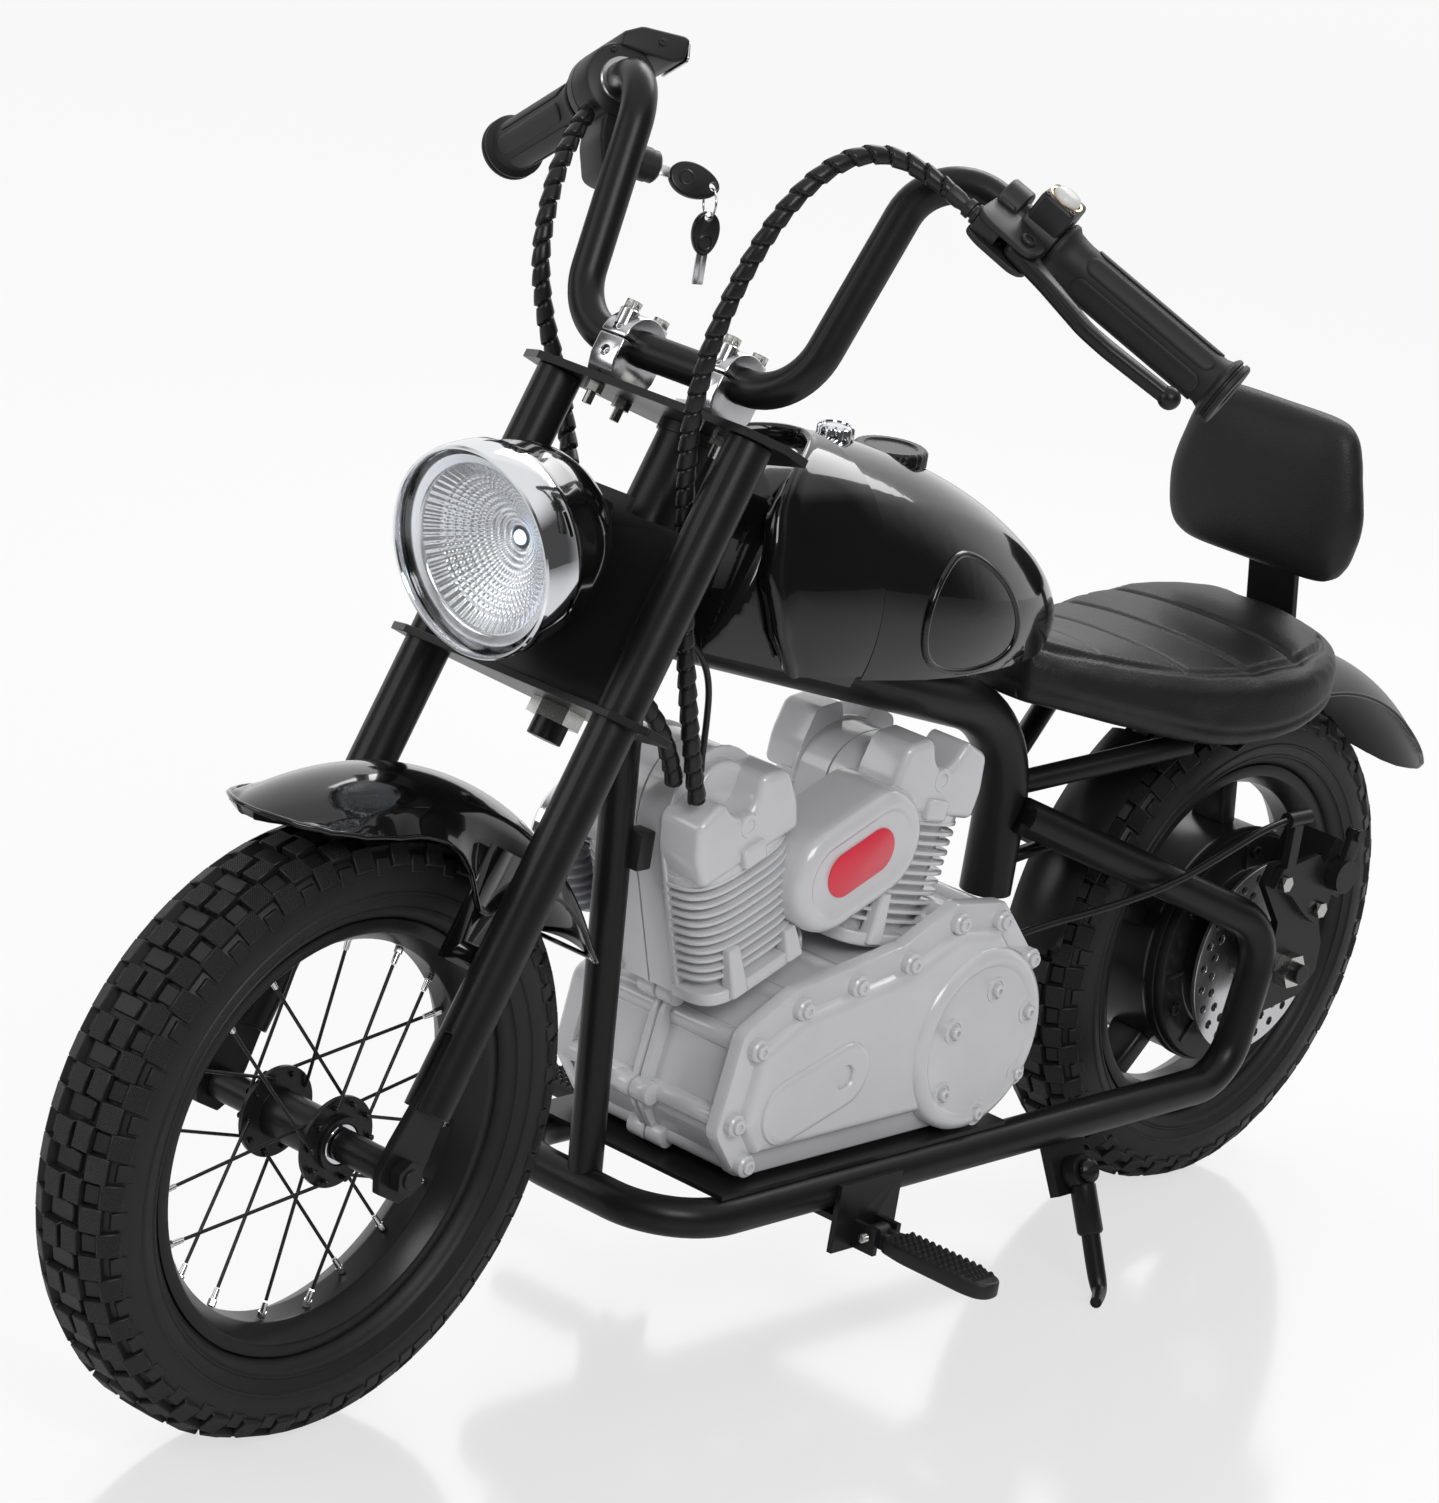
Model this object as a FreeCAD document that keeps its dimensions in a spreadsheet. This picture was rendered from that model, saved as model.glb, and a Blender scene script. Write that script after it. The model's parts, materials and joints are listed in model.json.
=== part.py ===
import FreeCAD, Part
import math
import os
import re
import Sketcher
from types import SimpleNamespace
from FreeCAD import Placement, Rotation, Vector

doc = FreeCAD.newDocument("electric_motorbike")
sheet = doc.addObject("Spreadsheet::Sheet", "sizes")

# Sizes in millimetres and degrees
size_table = {
    # Stance and clearances
    "front_axle_x": 442.5,
    "rear_axle_x": -422.5,
    "weld_gap": 0.2,
    "run_gap": 0.3,
    "bore_gap": 0.15,
    # Front wheel
    "front_tyre_section": 54.0,
    "front_tyre_width": 68.0,
    "front_rim_radius": 136.0,
    "rim_width": 46.0,
    "rim_lip": 4.0,
    "rim_well": 9.0,
    "rim_depth": 17.0,
    "bead_drop": 6.0,
    "tread_flat": 28.0,
    "tyre_wall": 6.0,
    "hub_flange_radius": 28.5,
    "hub_flange_face": 27.0,
    "hub_flange_thick": 3.0,
    "hub_barrel_radius": 15.0,
    "hub_boss_face": 31.0,
    "hub_boss_radius": 17.0,
    "hub_bearing_radius": 13.0,
    "bearing_width": 8.0,
    "spoke_circle": 24.0,
    "spoke_radius": 1.0,
    "spoke_pairs": 10,
    "spoke_lean": 45.0,
    "nipple_radius": 2.2,
    "nipple_length": 12.0,
    "front_axle_radius": 6.0,
    "front_axle_half": 89.5,
    "axle_spacer_radius": 10.0,
    # Fork and steering
    "rake": 26.3,
    "fork_offset": 42.0,
    "leg_half_spacing": 77.0,
    "leg_radius": 14.3,
    "leg_bottom": 38.0,
    "dropout_thick": 6.0,
    "dropout_top": 85.0,
    "low_plate_at": 288.0,
    "top_plate_at": 470.0,
    "plate_thick": 5.0,
    "plate_front": 60.0,
    "plate_rear": 28.0,
    "plate_half_width": 106.0,
    "stem_radius": 11.0,
    "stem_tail": 22.0,
    "stem_top": 14.0,
    "head_radius": 19.0,
    "head_bore": 14.0,
    "head_bearing_height": 6.5,
    # Handlebar and its grips
    "bar_radius": 11.1,
    "bar_stand": 25.0,
    "bar_forward": 37.0,
    "bar_low_half": 90.0,
    "bar_top_half": 114.0,
    "bar_sweep": 167.0,
    "bar_top_forward": 47.0,
    "bar_end_half": 288.0,
    "bar_droop": 57.0,
    "bar_end_forward": -66.0,
    "bar_low_bend": 42.0,
    "bar_top_bend": 36.0,
    "bend_run": 43.1,
    "clamp_half_spacing": 40.0,
    "clamp_width": 20.0,
    "clamp_radius": 18.0,
    "grip_start": 88.0,
    "grip_end": 219.0,
    "grip_radius": 16.5,
    "grip_flange_radius": 20.5,
    "lever_drop": 28.0,
    "lever_reach": 46.0,
    "lever_ball_at": 197.0,
    "lever_ball_radius": 7.0,
    "lever_thick": 10.0,
    "pivot_at": 76.0,
    "pivot_reach": 30.0,
    "pivot_radius": 3.0,
    "perch_start": 44.0,
    "switch_start": 63.0,
    "switch_width": 24.0,
    "button_radius": 9.0,
    "button_height": 8.0,
    "button_travel": 2.5,
    "housing_start": 46.0,
    "housing_width": 38.0,
    "housing_radius": 24.0,
    "lock_radius": 11.0,
    "lock_plug_radius": 7.0,
    "lock_length": 16.0,
    "key_thick": 5.0,
    "key_length": 36.0,
    "key_width": 22.0,
    "ring_radius": 9.0,
    "ring_wire": 0.7,
    # Headlight
    "lamp_ahead": 129.864,
    "lamp_rise": 341.410,
    "lamp_pitch": 8.0,
    "lamp_radius": 60.0,
    "lamp_depth": 85.0,
    "lamp_rim_radius": 64.0,
    "lens_radius": 55.5,
    "stay_height": 112.0,
    "stay_half_width": 60.0,
    "stay_thick": 4.0,
    # Main frame
    "backbone_radius": 17.5,
    "backbone_rear_x": -175.0,
    "backbone_front_z": 485.0,
    "backbone_rear_z": 368.0,
    "backbone_bend": 85.0,
    "seat_tube_end_z": 246.0,
    "down_tube_radius": 11.1,
    "down_tube_foot_x": 185.0,
    "rail_radius": 12.7,
    "rail_half_spacing": 79.0,
    "rail_z": 104.0,
    "rail_front_x": 188.0,
    "hoop_top_x": -398.0,
    "hoop_top_z": 212.0,
    "hoop_low_x": -376.0,
    "rail_bend": 38.0,
    "rail_front_bend": 52.0,
    "rear_plate_thick": 6.0,
    "tray_thick": 3.0,
    "tray_rear_x": -130.0,
    "tray_front_x": 150.0,
    "tray_half_width": 83.0,
    "strut_radius": 8.0,
    # Engine block
    "case_half_width": 62.0,
    "case_wall": 5.0,
    "case_front_x": 143.0,
    "case_rear_x": -132.0,
    "case_top_z": 252.0,
    "fin_radius": 48.0,
    "barrel_radius": 42.0,
    "fin_count": 8,
    "fin_pitch": 10.0,
    "fin_thick": 4.5,
    "front_barrel_x": 109.0,
    "rear_barrel_x": -10.0,
    "barrel_base_z": 240.0,
    "front_lean": 20.0,
    "rear_lean": -11.0,
    "head_start": 98.0,
    "head_half_width": 53.5,
    "band_half_length": 44.0,
    "band_half_width": 26.0,
    "front_band_top": 163.0,
    "rear_band_top": 138.0,
    "primary_thick": 16.0,
    "clutch_x": -86.0,
    "clutch_z": 184.0,
    "clutch_radius": 60.0,
    "clutch_thick": 6.0,
    "pushrod_x": 48.0,
    "pushrod_z": 320.0,
    "pushrod_length": 120.0,
    "pushrod_height": 74.0,
    "pushrod_tilt": 21.0,
    "pushrod_face": 70.0,
    "cleaner_x": 150.0,
    "cleaner_z": 305.0,
    "cleaner_radius": 44.0,
    "battery_length": 150.0,
    "battery_width": 92.0,
    "battery_height": 96.0,
    "battery_shift": 10.0,
    "controller_length": 44.0,
    # Tank
    "tank_half_width": 86.0,
    "tank_top_z": 586.0,
    "tank_bottom_z": 430.0,
    "tank_seam_x": 88.0,
    "tank_tail_x": -146.0,
    "tank_wall": 3.0,
    "panel_recess": 7.0,
    "panel_gap": 50.0,
    "small_cap_x": 62.0,
    "small_cap_radius": 12.0,
    "big_cap_x": 5.0,
    "big_cap_radius": 24.0,
    # Seat and backrest
    "seat_nose_x": -146.0,
    "seat_tail_x": -438.0,
    "seat_half_width": 97.0,
    "seat_crown": 13.0,
    "seam_depth": 3.0,
    "seam_width": 12.0,
    "pan_thick": 6.0,
    "pan_inset": 9.0,
    "pad_half_width": 80.0,
    "pad_stand": 67.0,
    "pad_height": 114.0,
    "pad_back_x": -429.0,
    "pad_thick": 34.0,
    "post_half_width": 20.0,
    "post_thick": 6.0,
    # Fenders
    "front_fender_gap": 32.0,
    "front_fender_half": 50.0,
    "front_fender_drop": 24.0,
    "front_fender_nose": 68.0,
    "front_fender_tail": 157.0,
    "fender_thick": 2.5,
    "rear_fender_back": 32.5,
    "rear_fender_up": 5.0,
    "rear_fender_gap": 20.0,
    "rear_fender_half": 52.0,
    "rear_fender_drop": 20.0,
    "rear_fender_front": 58.0,
    "rear_fender_tip": 152.56,
    "guard_gap": 11.0,
    "guard_half": 24.0,
    # Rear wheel
    "rear_tyre_section": 52.0,
    "rear_tyre_width": 66.0,
    "rear_rim_radius": 128.0,
    "drum_radius": 85.0,
    "drum_half": 34.0,
    "drum_wall": 7.0,
    "cover_thick": 6.0,
    "rear_spoke_count": 5,
    "rear_spoke_width": 16.0,
    "rear_axle_radius": 7.0,
    "rear_axle_half": 98.0,
    "rear_bearing_radius": 16.0,
    "disc_radius": 69.5,
    "disc_thick": 3.0,
    "disc_face": 55.5,
    "stator_radius": 66.0,
    "stator_half": 18.0,
    # Stand, pegs and brake
    "stand_x": -203.0,
    "stand_pivot_y": 92.0,
    "stand_pivot_z": 72.0,
    "stand_lean": 28.0,
    "stand_radius": 7.0,
    "peg_x": 18.0,
    "peg_z": 78.0,
    "peg_pivot_out": 107.0,
    "peg_length": 98.0,
    "peg_width": 26.0,
    "peg_height": 14.0,
    "cable_radius": 2.6,
    "wrap_radius": 6.0,
}

for row, (name, value) in enumerate(size_table.items(), start=1):
    sheet.set("A%d" % row, name)
    sheet.set("B%d" % row, repr(value))
    sheet.setAlias("B%d" % row, name)
doc.recompute()
dim = SimpleNamespace(**{name: float(sheet.get(name)) for name in size_table})

x_axis = Vector(1, 0, 0)
y_axis = Vector(0, 1, 0)
z_axis = Vector(0, 0, 1)
nodes = {}


def at(x, y, z, axis=z_axis, angle=0.0):
    return Placement(Vector(x, y, z), Rotation(axis, angle))


def from_sheet(text):
    return re.sub(r"[a-z][a-z_]+", lambda found: "sizes." + found.group(), text)


def node(label, shape, placement=None):
    feature = doc.addObject("Part::Feature", label)
    feature.Label = label
    feature.Shape = shape
    if placement is not None:
        feature.Placement = placement
    nodes[label] = feature
    return feature


def new_body(label, placement):
    body = doc.addObject("PartDesign::Body", label)
    body.Label = label
    body.Placement = placement
    nodes[label] = body
    return body


def origin_part(body, role):
    return [part for part in body.Origin.OriginFeatures if part.Role == role][0]


def sketch_on(body, plane):
    sketch = body.newObject("Sketcher::SketchObject", body.Name + "_outline")
    sketch.AttachmentSupport = [(origin_part(body, plane), "")]
    sketch.MapMode = "FlatFace"
    return sketch


def pin_point(sketch, geometry, point, along, across):
    for kind, text, axis in (("DistanceX", along, -2), ("DistanceY", across, -1)):
        if text == "0":
            sketch.addConstraint(Sketcher.Constraint("PointOnObject", geometry, point, axis))
            continue
        index = sketch.addConstraint(Sketcher.Constraint(kind, -1, 1, geometry, point, 1.0))
        sketch.setExpression("Constraints[%d]" % index, from_sheet(text))


def draw_loop(sketch, corners):
    count = len(corners)
    first = sketch.GeometryCount
    turns = [2 * math.pi * step / count for step in range(count)]
    spots = [Vector(9 * math.cos(turn), 9 * math.sin(turn), 0) for turn in turns]
    for step in range(count):
        sketch.addGeometry(Part.LineSegment(spots[step], spots[(step + 1) % count]), False)
    for step in range(count):
        after = first + (step + 1) % count
        sketch.addConstraint(Sketcher.Constraint("Coincident", first + step, 2, after, 1))
    for step, (along, across) in enumerate(corners):
        pin_point(sketch, first + step, 1, along, across)


def draw_circle(sketch, along, across, radius):
    index = sketch.addGeometry(Part.Circle(Vector(5, 5, 0), z_axis, 1), False)
    pin_point(sketch, index, 3, along, across)
    limit = sketch.addConstraint(Sketcher.Constraint("Radius", index, 1.0))
    sketch.setExpression("Constraints[%d]" % limit, from_sheet(radius))


# Turned sub-parts: each corner is a distance along the axis and a radius
def turned(label, axis, corners, placement):
    plane = {"X": "XY_Plane", "Y": "YZ_Plane", "Z": "XZ_Plane"}[axis]
    body = new_body(label, placement)
    sketch = sketch_on(body, plane)
    if axis == "Z":
        corners = [(radius, along) for along, radius in corners]
    draw_loop(sketch, corners)
    turn = body.newObject("PartDesign::Revolution", label + "_turn")
    turn.Profile = sketch
    turn.ReferenceAxis = (sketch, ["V_Axis" if axis == "Z" else "H_Axis"])
    turn.Angle = 360
    body.Tip = turn
    return body


# Flat sub-parts: an outline with round holes, padded about its plane or up from it
def plate(label, plane, corners, holes, thickness, placement, centred=False):
    body = new_body(label, placement)
    sketch = sketch_on(body, plane)
    draw_loop(sketch, corners)
    for along, across, radius in holes:
        draw_circle(sketch, along, across, radius)
    pad = body.newObject("PartDesign::Pad", label + "_pad")
    pad.Profile = sketch
    pad.setExpression("Length", from_sheet(thickness))
    if centred:
        pad.SideType = "Symmetric"
    body.Tip = pad
    return body


def ring_of_holes(body, plane, axis, along, across, radius, count):
    sketch = sketch_on(body, plane)
    draw_circle(sketch, along, across, radius)
    pocket = body.newObject("PartDesign::Pocket", body.Name + "_holes")
    pocket.Profile = sketch
    pocket.Type = "ThroughAll"
    pocket.SideType = "Symmetric"
    pattern = body.newObject("PartDesign::PolarPattern", body.Name + "_ring")
    pattern.Originals = [pocket]
    pattern.Axis = (origin_part(body, axis), [""])
    pattern.Angle = 360
    pattern.setExpression("Occurrences", from_sheet(count))
    body.Tip = pattern


def primitive(kind, name, placement, **sizes):
    solid = doc.addObject("Part::" + kind, name)
    solid.Label = name
    for size, text in sizes.items():
        solid.setExpression(size, from_sheet(text))
    solid.Placement = placement
    return solid


# Straight runs joined by tangent arcs, one radius for each inner corner
def bent_wire(points, bends):
    edges = []
    start = points[0]
    for corner, ahead, bend in zip(points[1:-1], points[2:], bends):
        arriving = (corner - start).normalize()
        leaving = (ahead - corner).normalize()
        half_turn = arriving.getAngle(leaving) / 2
        reach = bend * math.tan(half_turn)
        inward = (leaving - arriving).normalize()
        middle = corner + inward * (bend / math.cos(half_turn) - bend)
        first = corner - arriving * reach
        last = corner + leaving * reach
        edges.append(Part.LineSegment(start, first).toShape())
        edges.append(Part.Arc(first, middle, last).toShape())
        start = last
    edges.append(Part.LineSegment(start, points[-1]).toShape())
    return Part.Wire(edges)


def bar_along(wire, radius, start, toward):
    section = Part.Wire(Part.makeCircle(radius, start, toward - start))
    return wire.makePipeShell([section], True, False)


def bent_bar(points, bends, radius):
    return bar_along(bent_wire(points, bends), radius, points[0], points[1])


def rod(start, end, radius):
    return Part.makeCylinder(radius, (end - start).Length, start, end - start)


def tube(start, end, radius, bore):
    reach = (end - start).normalize() * 1.0
    return rod(start, end, radius).cut(rod(start - reach, end + reach, bore))


def block(x_from, x_to, y_from, y_to, z_from, z_to):
    return Part.makeBox(x_to - x_from, y_to - y_from, z_to - z_from, Vector(x_from, y_from, z_from))


def slab(outline, y_from, y_to, fillet=0.0):
    corners = [Vector(x, y_from, z) for x, z in outline]
    solid = Part.Face(Part.makePolygon(corners + corners[:1])).extrude(Vector(0, y_to - y_from, 0))
    if fillet:
        upright = [edge for edge in solid.Edges if abs(edge.tangentAt(edge.FirstParameter).y) > 0.99]
        solid = solid.makeFillet(fillet, upright)
    return solid


def joined(shapes):
    return shapes[0].multiFuse(shapes[1:]).removeSplitter()


def hexagon(centre, axis, across_flats, height):
    turns = [math.radians(60 * step) for step in range(6)]
    reach = across_flats / math.sqrt(3)
    corners = [Vector(reach * math.cos(turn), reach * math.sin(turn), 0) for turn in turns]
    solid = Part.Face(Part.makePolygon(corners + corners[:1])).extrude(Vector(0, 0, height))
    solid.Placement = Placement(centre, Rotation(z_axis, axis))
    return solid


def moved(shape, placement):
    copy = shape.copy()
    copy.Placement = placement.multiply(copy.Placement)
    return copy


def mirrored(shape):
    return shape.mirror(Vector(0, 0, 0), y_axis)


# Frames shared by the sub-parts
front_tyre_radius = dim.front_rim_radius + dim.front_tyre_section
rear_tyre_radius = dim.rear_rim_radius + dim.rear_tyre_section
rake_turn = Rotation(y_axis, -dim.rake)
fork_foot = Vector(dim.front_axle_x, 0, front_tyre_radius) - rake_turn.multVec(x_axis) * dim.fork_offset
fork = Placement(fork_foot, rake_turn)
front_wheel = at(dim.front_axle_x, 0, front_tyre_radius)
rear_wheel = at(dim.rear_axle_x, 0, rear_tyre_radius)
lamp_turn = Rotation(y_axis, dim.lamp_pitch + dim.rake)
lamp = fork.multiply(Placement(Vector(dim.lamp_ahead, 0, dim.lamp_rise), lamp_turn))
rear_fender_x = dim.rear_axle_x - dim.rear_fender_back
rear_fender_z = rear_tyre_radius + dim.rear_fender_up
rear_fender_radius = rear_tyre_radius + dim.rear_fender_gap
fender_crown = rear_fender_z + rear_fender_radius
front_fender_radius = front_tyre_radius + dim.front_fender_gap
guard_radius = rear_tyre_radius + dim.guard_gap


bar_rise = dim.top_plate_at + dim.plate_thick + dim.bar_stand
bar_top_rise = bar_rise + dim.bar_sweep
bar_end_rise = bar_top_rise - dim.bar_droop


# Each side of the bar: its corners, and a frame along the grip that keeps a set run to the upper bend
def bar_corners(side):
    low = Vector(dim.bar_forward, side * dim.bar_low_half, bar_rise)
    corner = Vector(dim.bar_top_forward, side * dim.bar_top_half, bar_top_rise)
    aim = Vector(dim.bar_end_forward, side * dim.bar_end_half, bar_end_rise)
    outward = (aim - corner).normalize()
    reach = dim.bar_top_bend * math.tan((corner - low).getAngle(outward) / 2)
    start = corner + outward * (reach - dim.bend_run)
    end = start + outward * (dim.grip_end - 3.8)
    return low, corner, start, end, outward


def bar_side(side):
    low, corner, start, end, outward = bar_corners(side)
    ahead = (x_axis - outward * outward.x).normalize()
    return fork.multiply(Placement(start, Rotation(ahead, outward.cross(ahead), outward, "ZXY")))


left_bar = bar_side(1)
right_bar = bar_side(-1)
lever_frame = left_bar.multiply(Placement(Vector(0, 0, 0), Rotation(z_axis, dim.lever_drop)))


# Wheels
def rim_corners(lip):
    half = "rim_width / 2"
    right = [
        (half, lip),
        (half + " - rim_lip", lip),
        (half + " - rim_lip", lip + " - bead_drop"),
        ("rim_well", lip + " - bead_drop - 4"),
    ]
    inner = [("rim_well", lip + " - rim_depth"), (half, lip + " - 8")]
    return (
        right
        + [("-(" + along + ")", radius) for along, radius in reversed(right)]
        + [("-(" + along + ")", radius) for along, radius in reversed(inner)]
        + inner
    )


def tyre_solid(rim, section, width):
    radius = rim + section
    half = width / 2
    flat = dim.tread_flat / 2
    seat = dim.rim_width / 2 - dim.rim_lip - dim.weld_gap
    bead = rim - dim.bead_drop + dim.weld_gap
    wide = rim + 0.4 * section
    low_mid = rim + 0.13 * section
    high_mid = radius - 0.19 * section
    inside = seat - dim.tyre_wall
    bead_top = rim + 0.075 * section

    def spot(along, out):
        return Vector(0, along, out)

    def arc(first, middle, last):
        return Part.Arc(spot(*first), spot(*middle), spot(*last)).toShape()

    def line(first, last):
        return Part.LineSegment(spot(*first), spot(*last)).toShape()

    inner_top = radius - dim.tyre_wall - 3
    inner_wide = half - dim.tyre_wall
    edges = [
        line((-flat, radius), (flat, radius)),
        arc((flat, radius), (half - 5, high_mid), (half, wide)),
        arc((half, wide), (half - 4, low_mid), (seat, rim + 0.6)),
        line((seat, rim + 0.6), (seat, bead)),
        line((seat, bead), (inside, bead)),
        line((inside, bead), (inside, bead_top)),
        arc((inside, bead_top), (inner_wide, wide + 2), (0, inner_top)),
        arc((0, inner_top), (-inner_wide, wide + 2), (-inside, bead_top)),
        line((-inside, bead_top), (-inside, bead)),
        line((-inside, bead), (-seat, bead)),
        line((-seat, bead), (-seat, rim + 0.6)),
        arc((-seat, rim + 0.6), (4 - half, low_mid), (-half, wide)),
        arc((-half, wide), (5 - half, high_mid), (-flat, radius)),
    ]
    return Part.Face(Part.Wire(edges)).revolve(Vector(0, 0, 0), y_axis, 360)


def inner_tube(rim, section, width):
    thick = min(width / 2 - dim.tyre_wall - 8, section / 2 - 8)
    middle = rim + section - dim.tyre_wall - 3 - thick - 0.6
    return Part.makeTorus(middle, thick, Vector(0, 0, 0), y_axis)


front_sizes = (dim.front_rim_radius, dim.front_tyre_section, dim.front_tyre_width)
node("front_tyre", tyre_solid(*front_sizes), front_wheel)
node("front_inner_tube", inner_tube(*front_sizes), front_wheel)
turned("front_rim", "Y", rim_corners("front_rim_radius"), front_wheel)

flange_in = "hub_flange_face - hub_flange_thick"
bearing_in = "hub_boss_face - bearing_width - 1"
half_hub = [
    ("hub_boss_face", "hub_bearing_radius + weld_gap"),
    ("hub_boss_face", "hub_boss_radius"),
    ("hub_flange_face", "hub_boss_radius"),
    ("hub_flange_face", "hub_flange_radius"),
    (flange_in, "hub_flange_radius"),
    (flange_in, "hub_barrel_radius"),
]
bore_half = [
    (bearing_in, "front_axle_radius + 2"),
    (bearing_in, "hub_bearing_radius + weld_gap"),
]
hub_outer = half_hub + [("-(" + along + ")", radius) for along, radius in reversed(half_hub)]
hub_inner = [("-(" + along + ")", radius) for along, radius in reversed(bore_half)] + bore_half
front_hub = turned("front_hub", "Y", hub_outer + hub_inner, front_wheel)
ring_of_holes(front_hub, "XZ_Plane", "Y_Axis", "spoke_circle", "0", "spoke_radius + 0.8", "spoke_pairs")


def wheel_spot(radius, angle, along):
    turn = math.radians(angle)
    return Vector(radius * math.cos(turn), along, radius * math.sin(turn))


spokes = []
nipples = []
rim_inside = dim.front_rim_radius - dim.rim_depth
for side in (1, -1):
    for step in range(int(dim.spoke_pairs)):
        angle = step * 360 / dim.spoke_pairs
        outer = (step % 2 == 0) == (side > 0)
        leads = step % 2 == 0
        along = dim.hub_flange_face + 3.0 if outer else dim.hub_flange_face - dim.hub_flange_thick - 1.4
        start = wheel_spot(dim.spoke_circle, angle, side * along)
        rim_angle = angle + (dim.spoke_lean if leads == (side > 0) else -dim.spoke_lean)
        end = wheel_spot(rim_inside - 0.9, rim_angle, side * 4)
        inward = (start - end).normalize()
        nipple_foot = end + inward * dim.nipple_length
        nipples.append(rod(nipple_foot, end, dim.nipple_radius))
        flange_back = dim.hub_flange_face - dim.hub_flange_thick
        elbow_in = wheel_spot(dim.spoke_circle, angle, side * (flange_back - 2))
        elbow_out = wheel_spot(dim.spoke_circle, angle, side * (dim.hub_flange_face + 3.8))
        straight = rod(start, nipple_foot + inward * 0.1, dim.spoke_radius)
        spokes.append(joined([straight, rod(elbow_in, elbow_out, dim.spoke_radius)]))
node("front_spokes", Part.makeCompound(spokes), front_wheel)
node("front_nipples", Part.makeCompound(nipples), front_wheel)

bearing_rings = []
for side in (1, -1):
    inner_face = side * (dim.hub_boss_face - dim.bearing_width - 0.8)
    outer_face = side * (dim.hub_boss_face - 0.8)
    bearing_rings.append(
        tube(
            Vector(0, inner_face, 0),
            Vector(0, outer_face, 0),
            dim.hub_bearing_radius,
            dim.front_axle_radius + dim.bore_gap,
        )
    )
node("front_bearings", Part.makeCompound(bearing_rings), front_wheel)

# Front axle, dropouts and fork legs
primitive(
    "Cylinder",
    "front_axle",
    front_wheel.multiply(at(0, -dim.front_axle_half, 0, x_axis, -90)),
    Radius="front_axle_radius",
    Height="2 * front_axle_half",
)
nodes["front_axle"] = doc.getObject("front_axle")
spacer_rings = []
for side in (1, -1):
    inner_face = side * (dim.hub_boss_face + dim.run_gap)
    outer_face = side * (dim.leg_half_spacing - dim.dropout_thick / 2 - dim.weld_gap)
    spacer_rings.append(
        tube(
            Vector(0, inner_face, 0),
            Vector(0, outer_face, 0),
            dim.axle_spacer_radius,
            dim.front_axle_radius + dim.bore_gap,
        )
    )
node("axle_spacers", Part.makeCompound(spacer_rings), front_wheel)

dropout_outline = [
    ("fork_offset - 17", "-6"),
    ("fork_offset - 10", "-16"),
    ("fork_offset + 10", "-16"),
    ("fork_offset + 17", "-6"),
    ("fork_offset + 17", "14"),
    ("fork_offset + 12", "leg_bottom + 20"),
    ("fork_offset + 12", "dropout_top"),
    ("fork_offset - 12", "dropout_top"),
    ("fork_offset - 12", "leg_bottom + 20"),
    ("fork_offset - 17", "14"),
]
for side, name in ((1, "left"), (-1, "right")):
    reach = side * dim.leg_half_spacing
    plate(
        "fork_dropout_" + name,
        "XZ_Plane",
        dropout_outline,
        [("fork_offset", "0", "front_axle_radius + bore_gap")],
        "dropout_thick",
        fork.multiply(at(0, reach, 0)),
        centred=True,
    )
    leg_place = fork.multiply(at(dim.fork_offset, reach, dim.leg_bottom))
    leg = primitive(
        "Cylinder",
        "leg_bar_" + name,
        leg_place,
        Radius="leg_radius",
        Height="top_plate_at - leg_bottom - weld_gap",
    )
    slot_place = fork.multiply(
        at(dim.fork_offset - 20, reach - dim.dropout_thick / 2 - dim.weld_gap, dim.leg_bottom - 5)
    )
    slot = primitive(
        "Box",
        "leg_slot_" + name,
        slot_place,
        Length="40",
        Width="dropout_thick + 2 * weld_gap",
        Height="dropout_top - leg_bottom + 5 + weld_gap",
    )
    slotted = doc.addObject("Part::Cut", "fork_leg_" + name)
    slotted.Base = leg
    slotted.Tool = slot
    nodes["fork_leg_" + name] = slotted

# Clamp plates, steering stem and head
top_outline = [
    ("plate_front", "-(plate_half_width - 22)"),
    ("plate_front", "plate_half_width - 22"),
    ("plate_front - 14", "plate_half_width"),
    ("plate_front - 38", "plate_half_width"),
    ("-plate_rear", "36"),
    ("-plate_rear", "-36"),
    ("plate_front - 38", "-plate_half_width"),
    ("plate_front - 14", "-plate_half_width"),
]
stem_hole = ("0", "0", "stem_radius + bore_gap")
clamp_holes = [
    ("bar_forward - clamp_radius + 3", "clamp_half_spacing", "3.2"),
    ("bar_forward - clamp_radius + 3", "-clamp_half_spacing", "3.2"),
    ("bar_forward + clamp_radius - 3", "clamp_half_spacing", "3.2"),
    ("bar_forward + clamp_radius - 3", "-clamp_half_spacing", "3.2"),
]
plate(
    "upper_clamp_plate",
    "XY_Plane",
    top_outline,
    [stem_hole] + clamp_holes,
    "plate_thick",
    fork.multiply(at(0, 0, dim.top_plate_at)),
)
leg_holes = [
    ("fork_offset", "leg_half_spacing", "leg_radius + weld_gap"),
    ("fork_offset", "-leg_half_spacing", "leg_radius + weld_gap"),
]
plate(
    "lower_clamp_plate",
    "XY_Plane",
    top_outline,
    [stem_hole] + leg_holes,
    "plate_thick",
    fork.multiply(at(0, 0, dim.low_plate_at)),
)
primitive(
    "Cylinder",
    "steering_stem",
    fork.multiply(at(0, 0, dim.low_plate_at - dim.stem_tail)),
    Radius="stem_radius",
    Height="top_plate_at - low_plate_at + plate_thick + stem_tail + stem_top",
)
nodes["steering_stem"] = doc.getObject("steering_stem")
head_low = "low_plate_at + plate_thick + run_gap + head_bearing_height + weld_gap"
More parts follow.
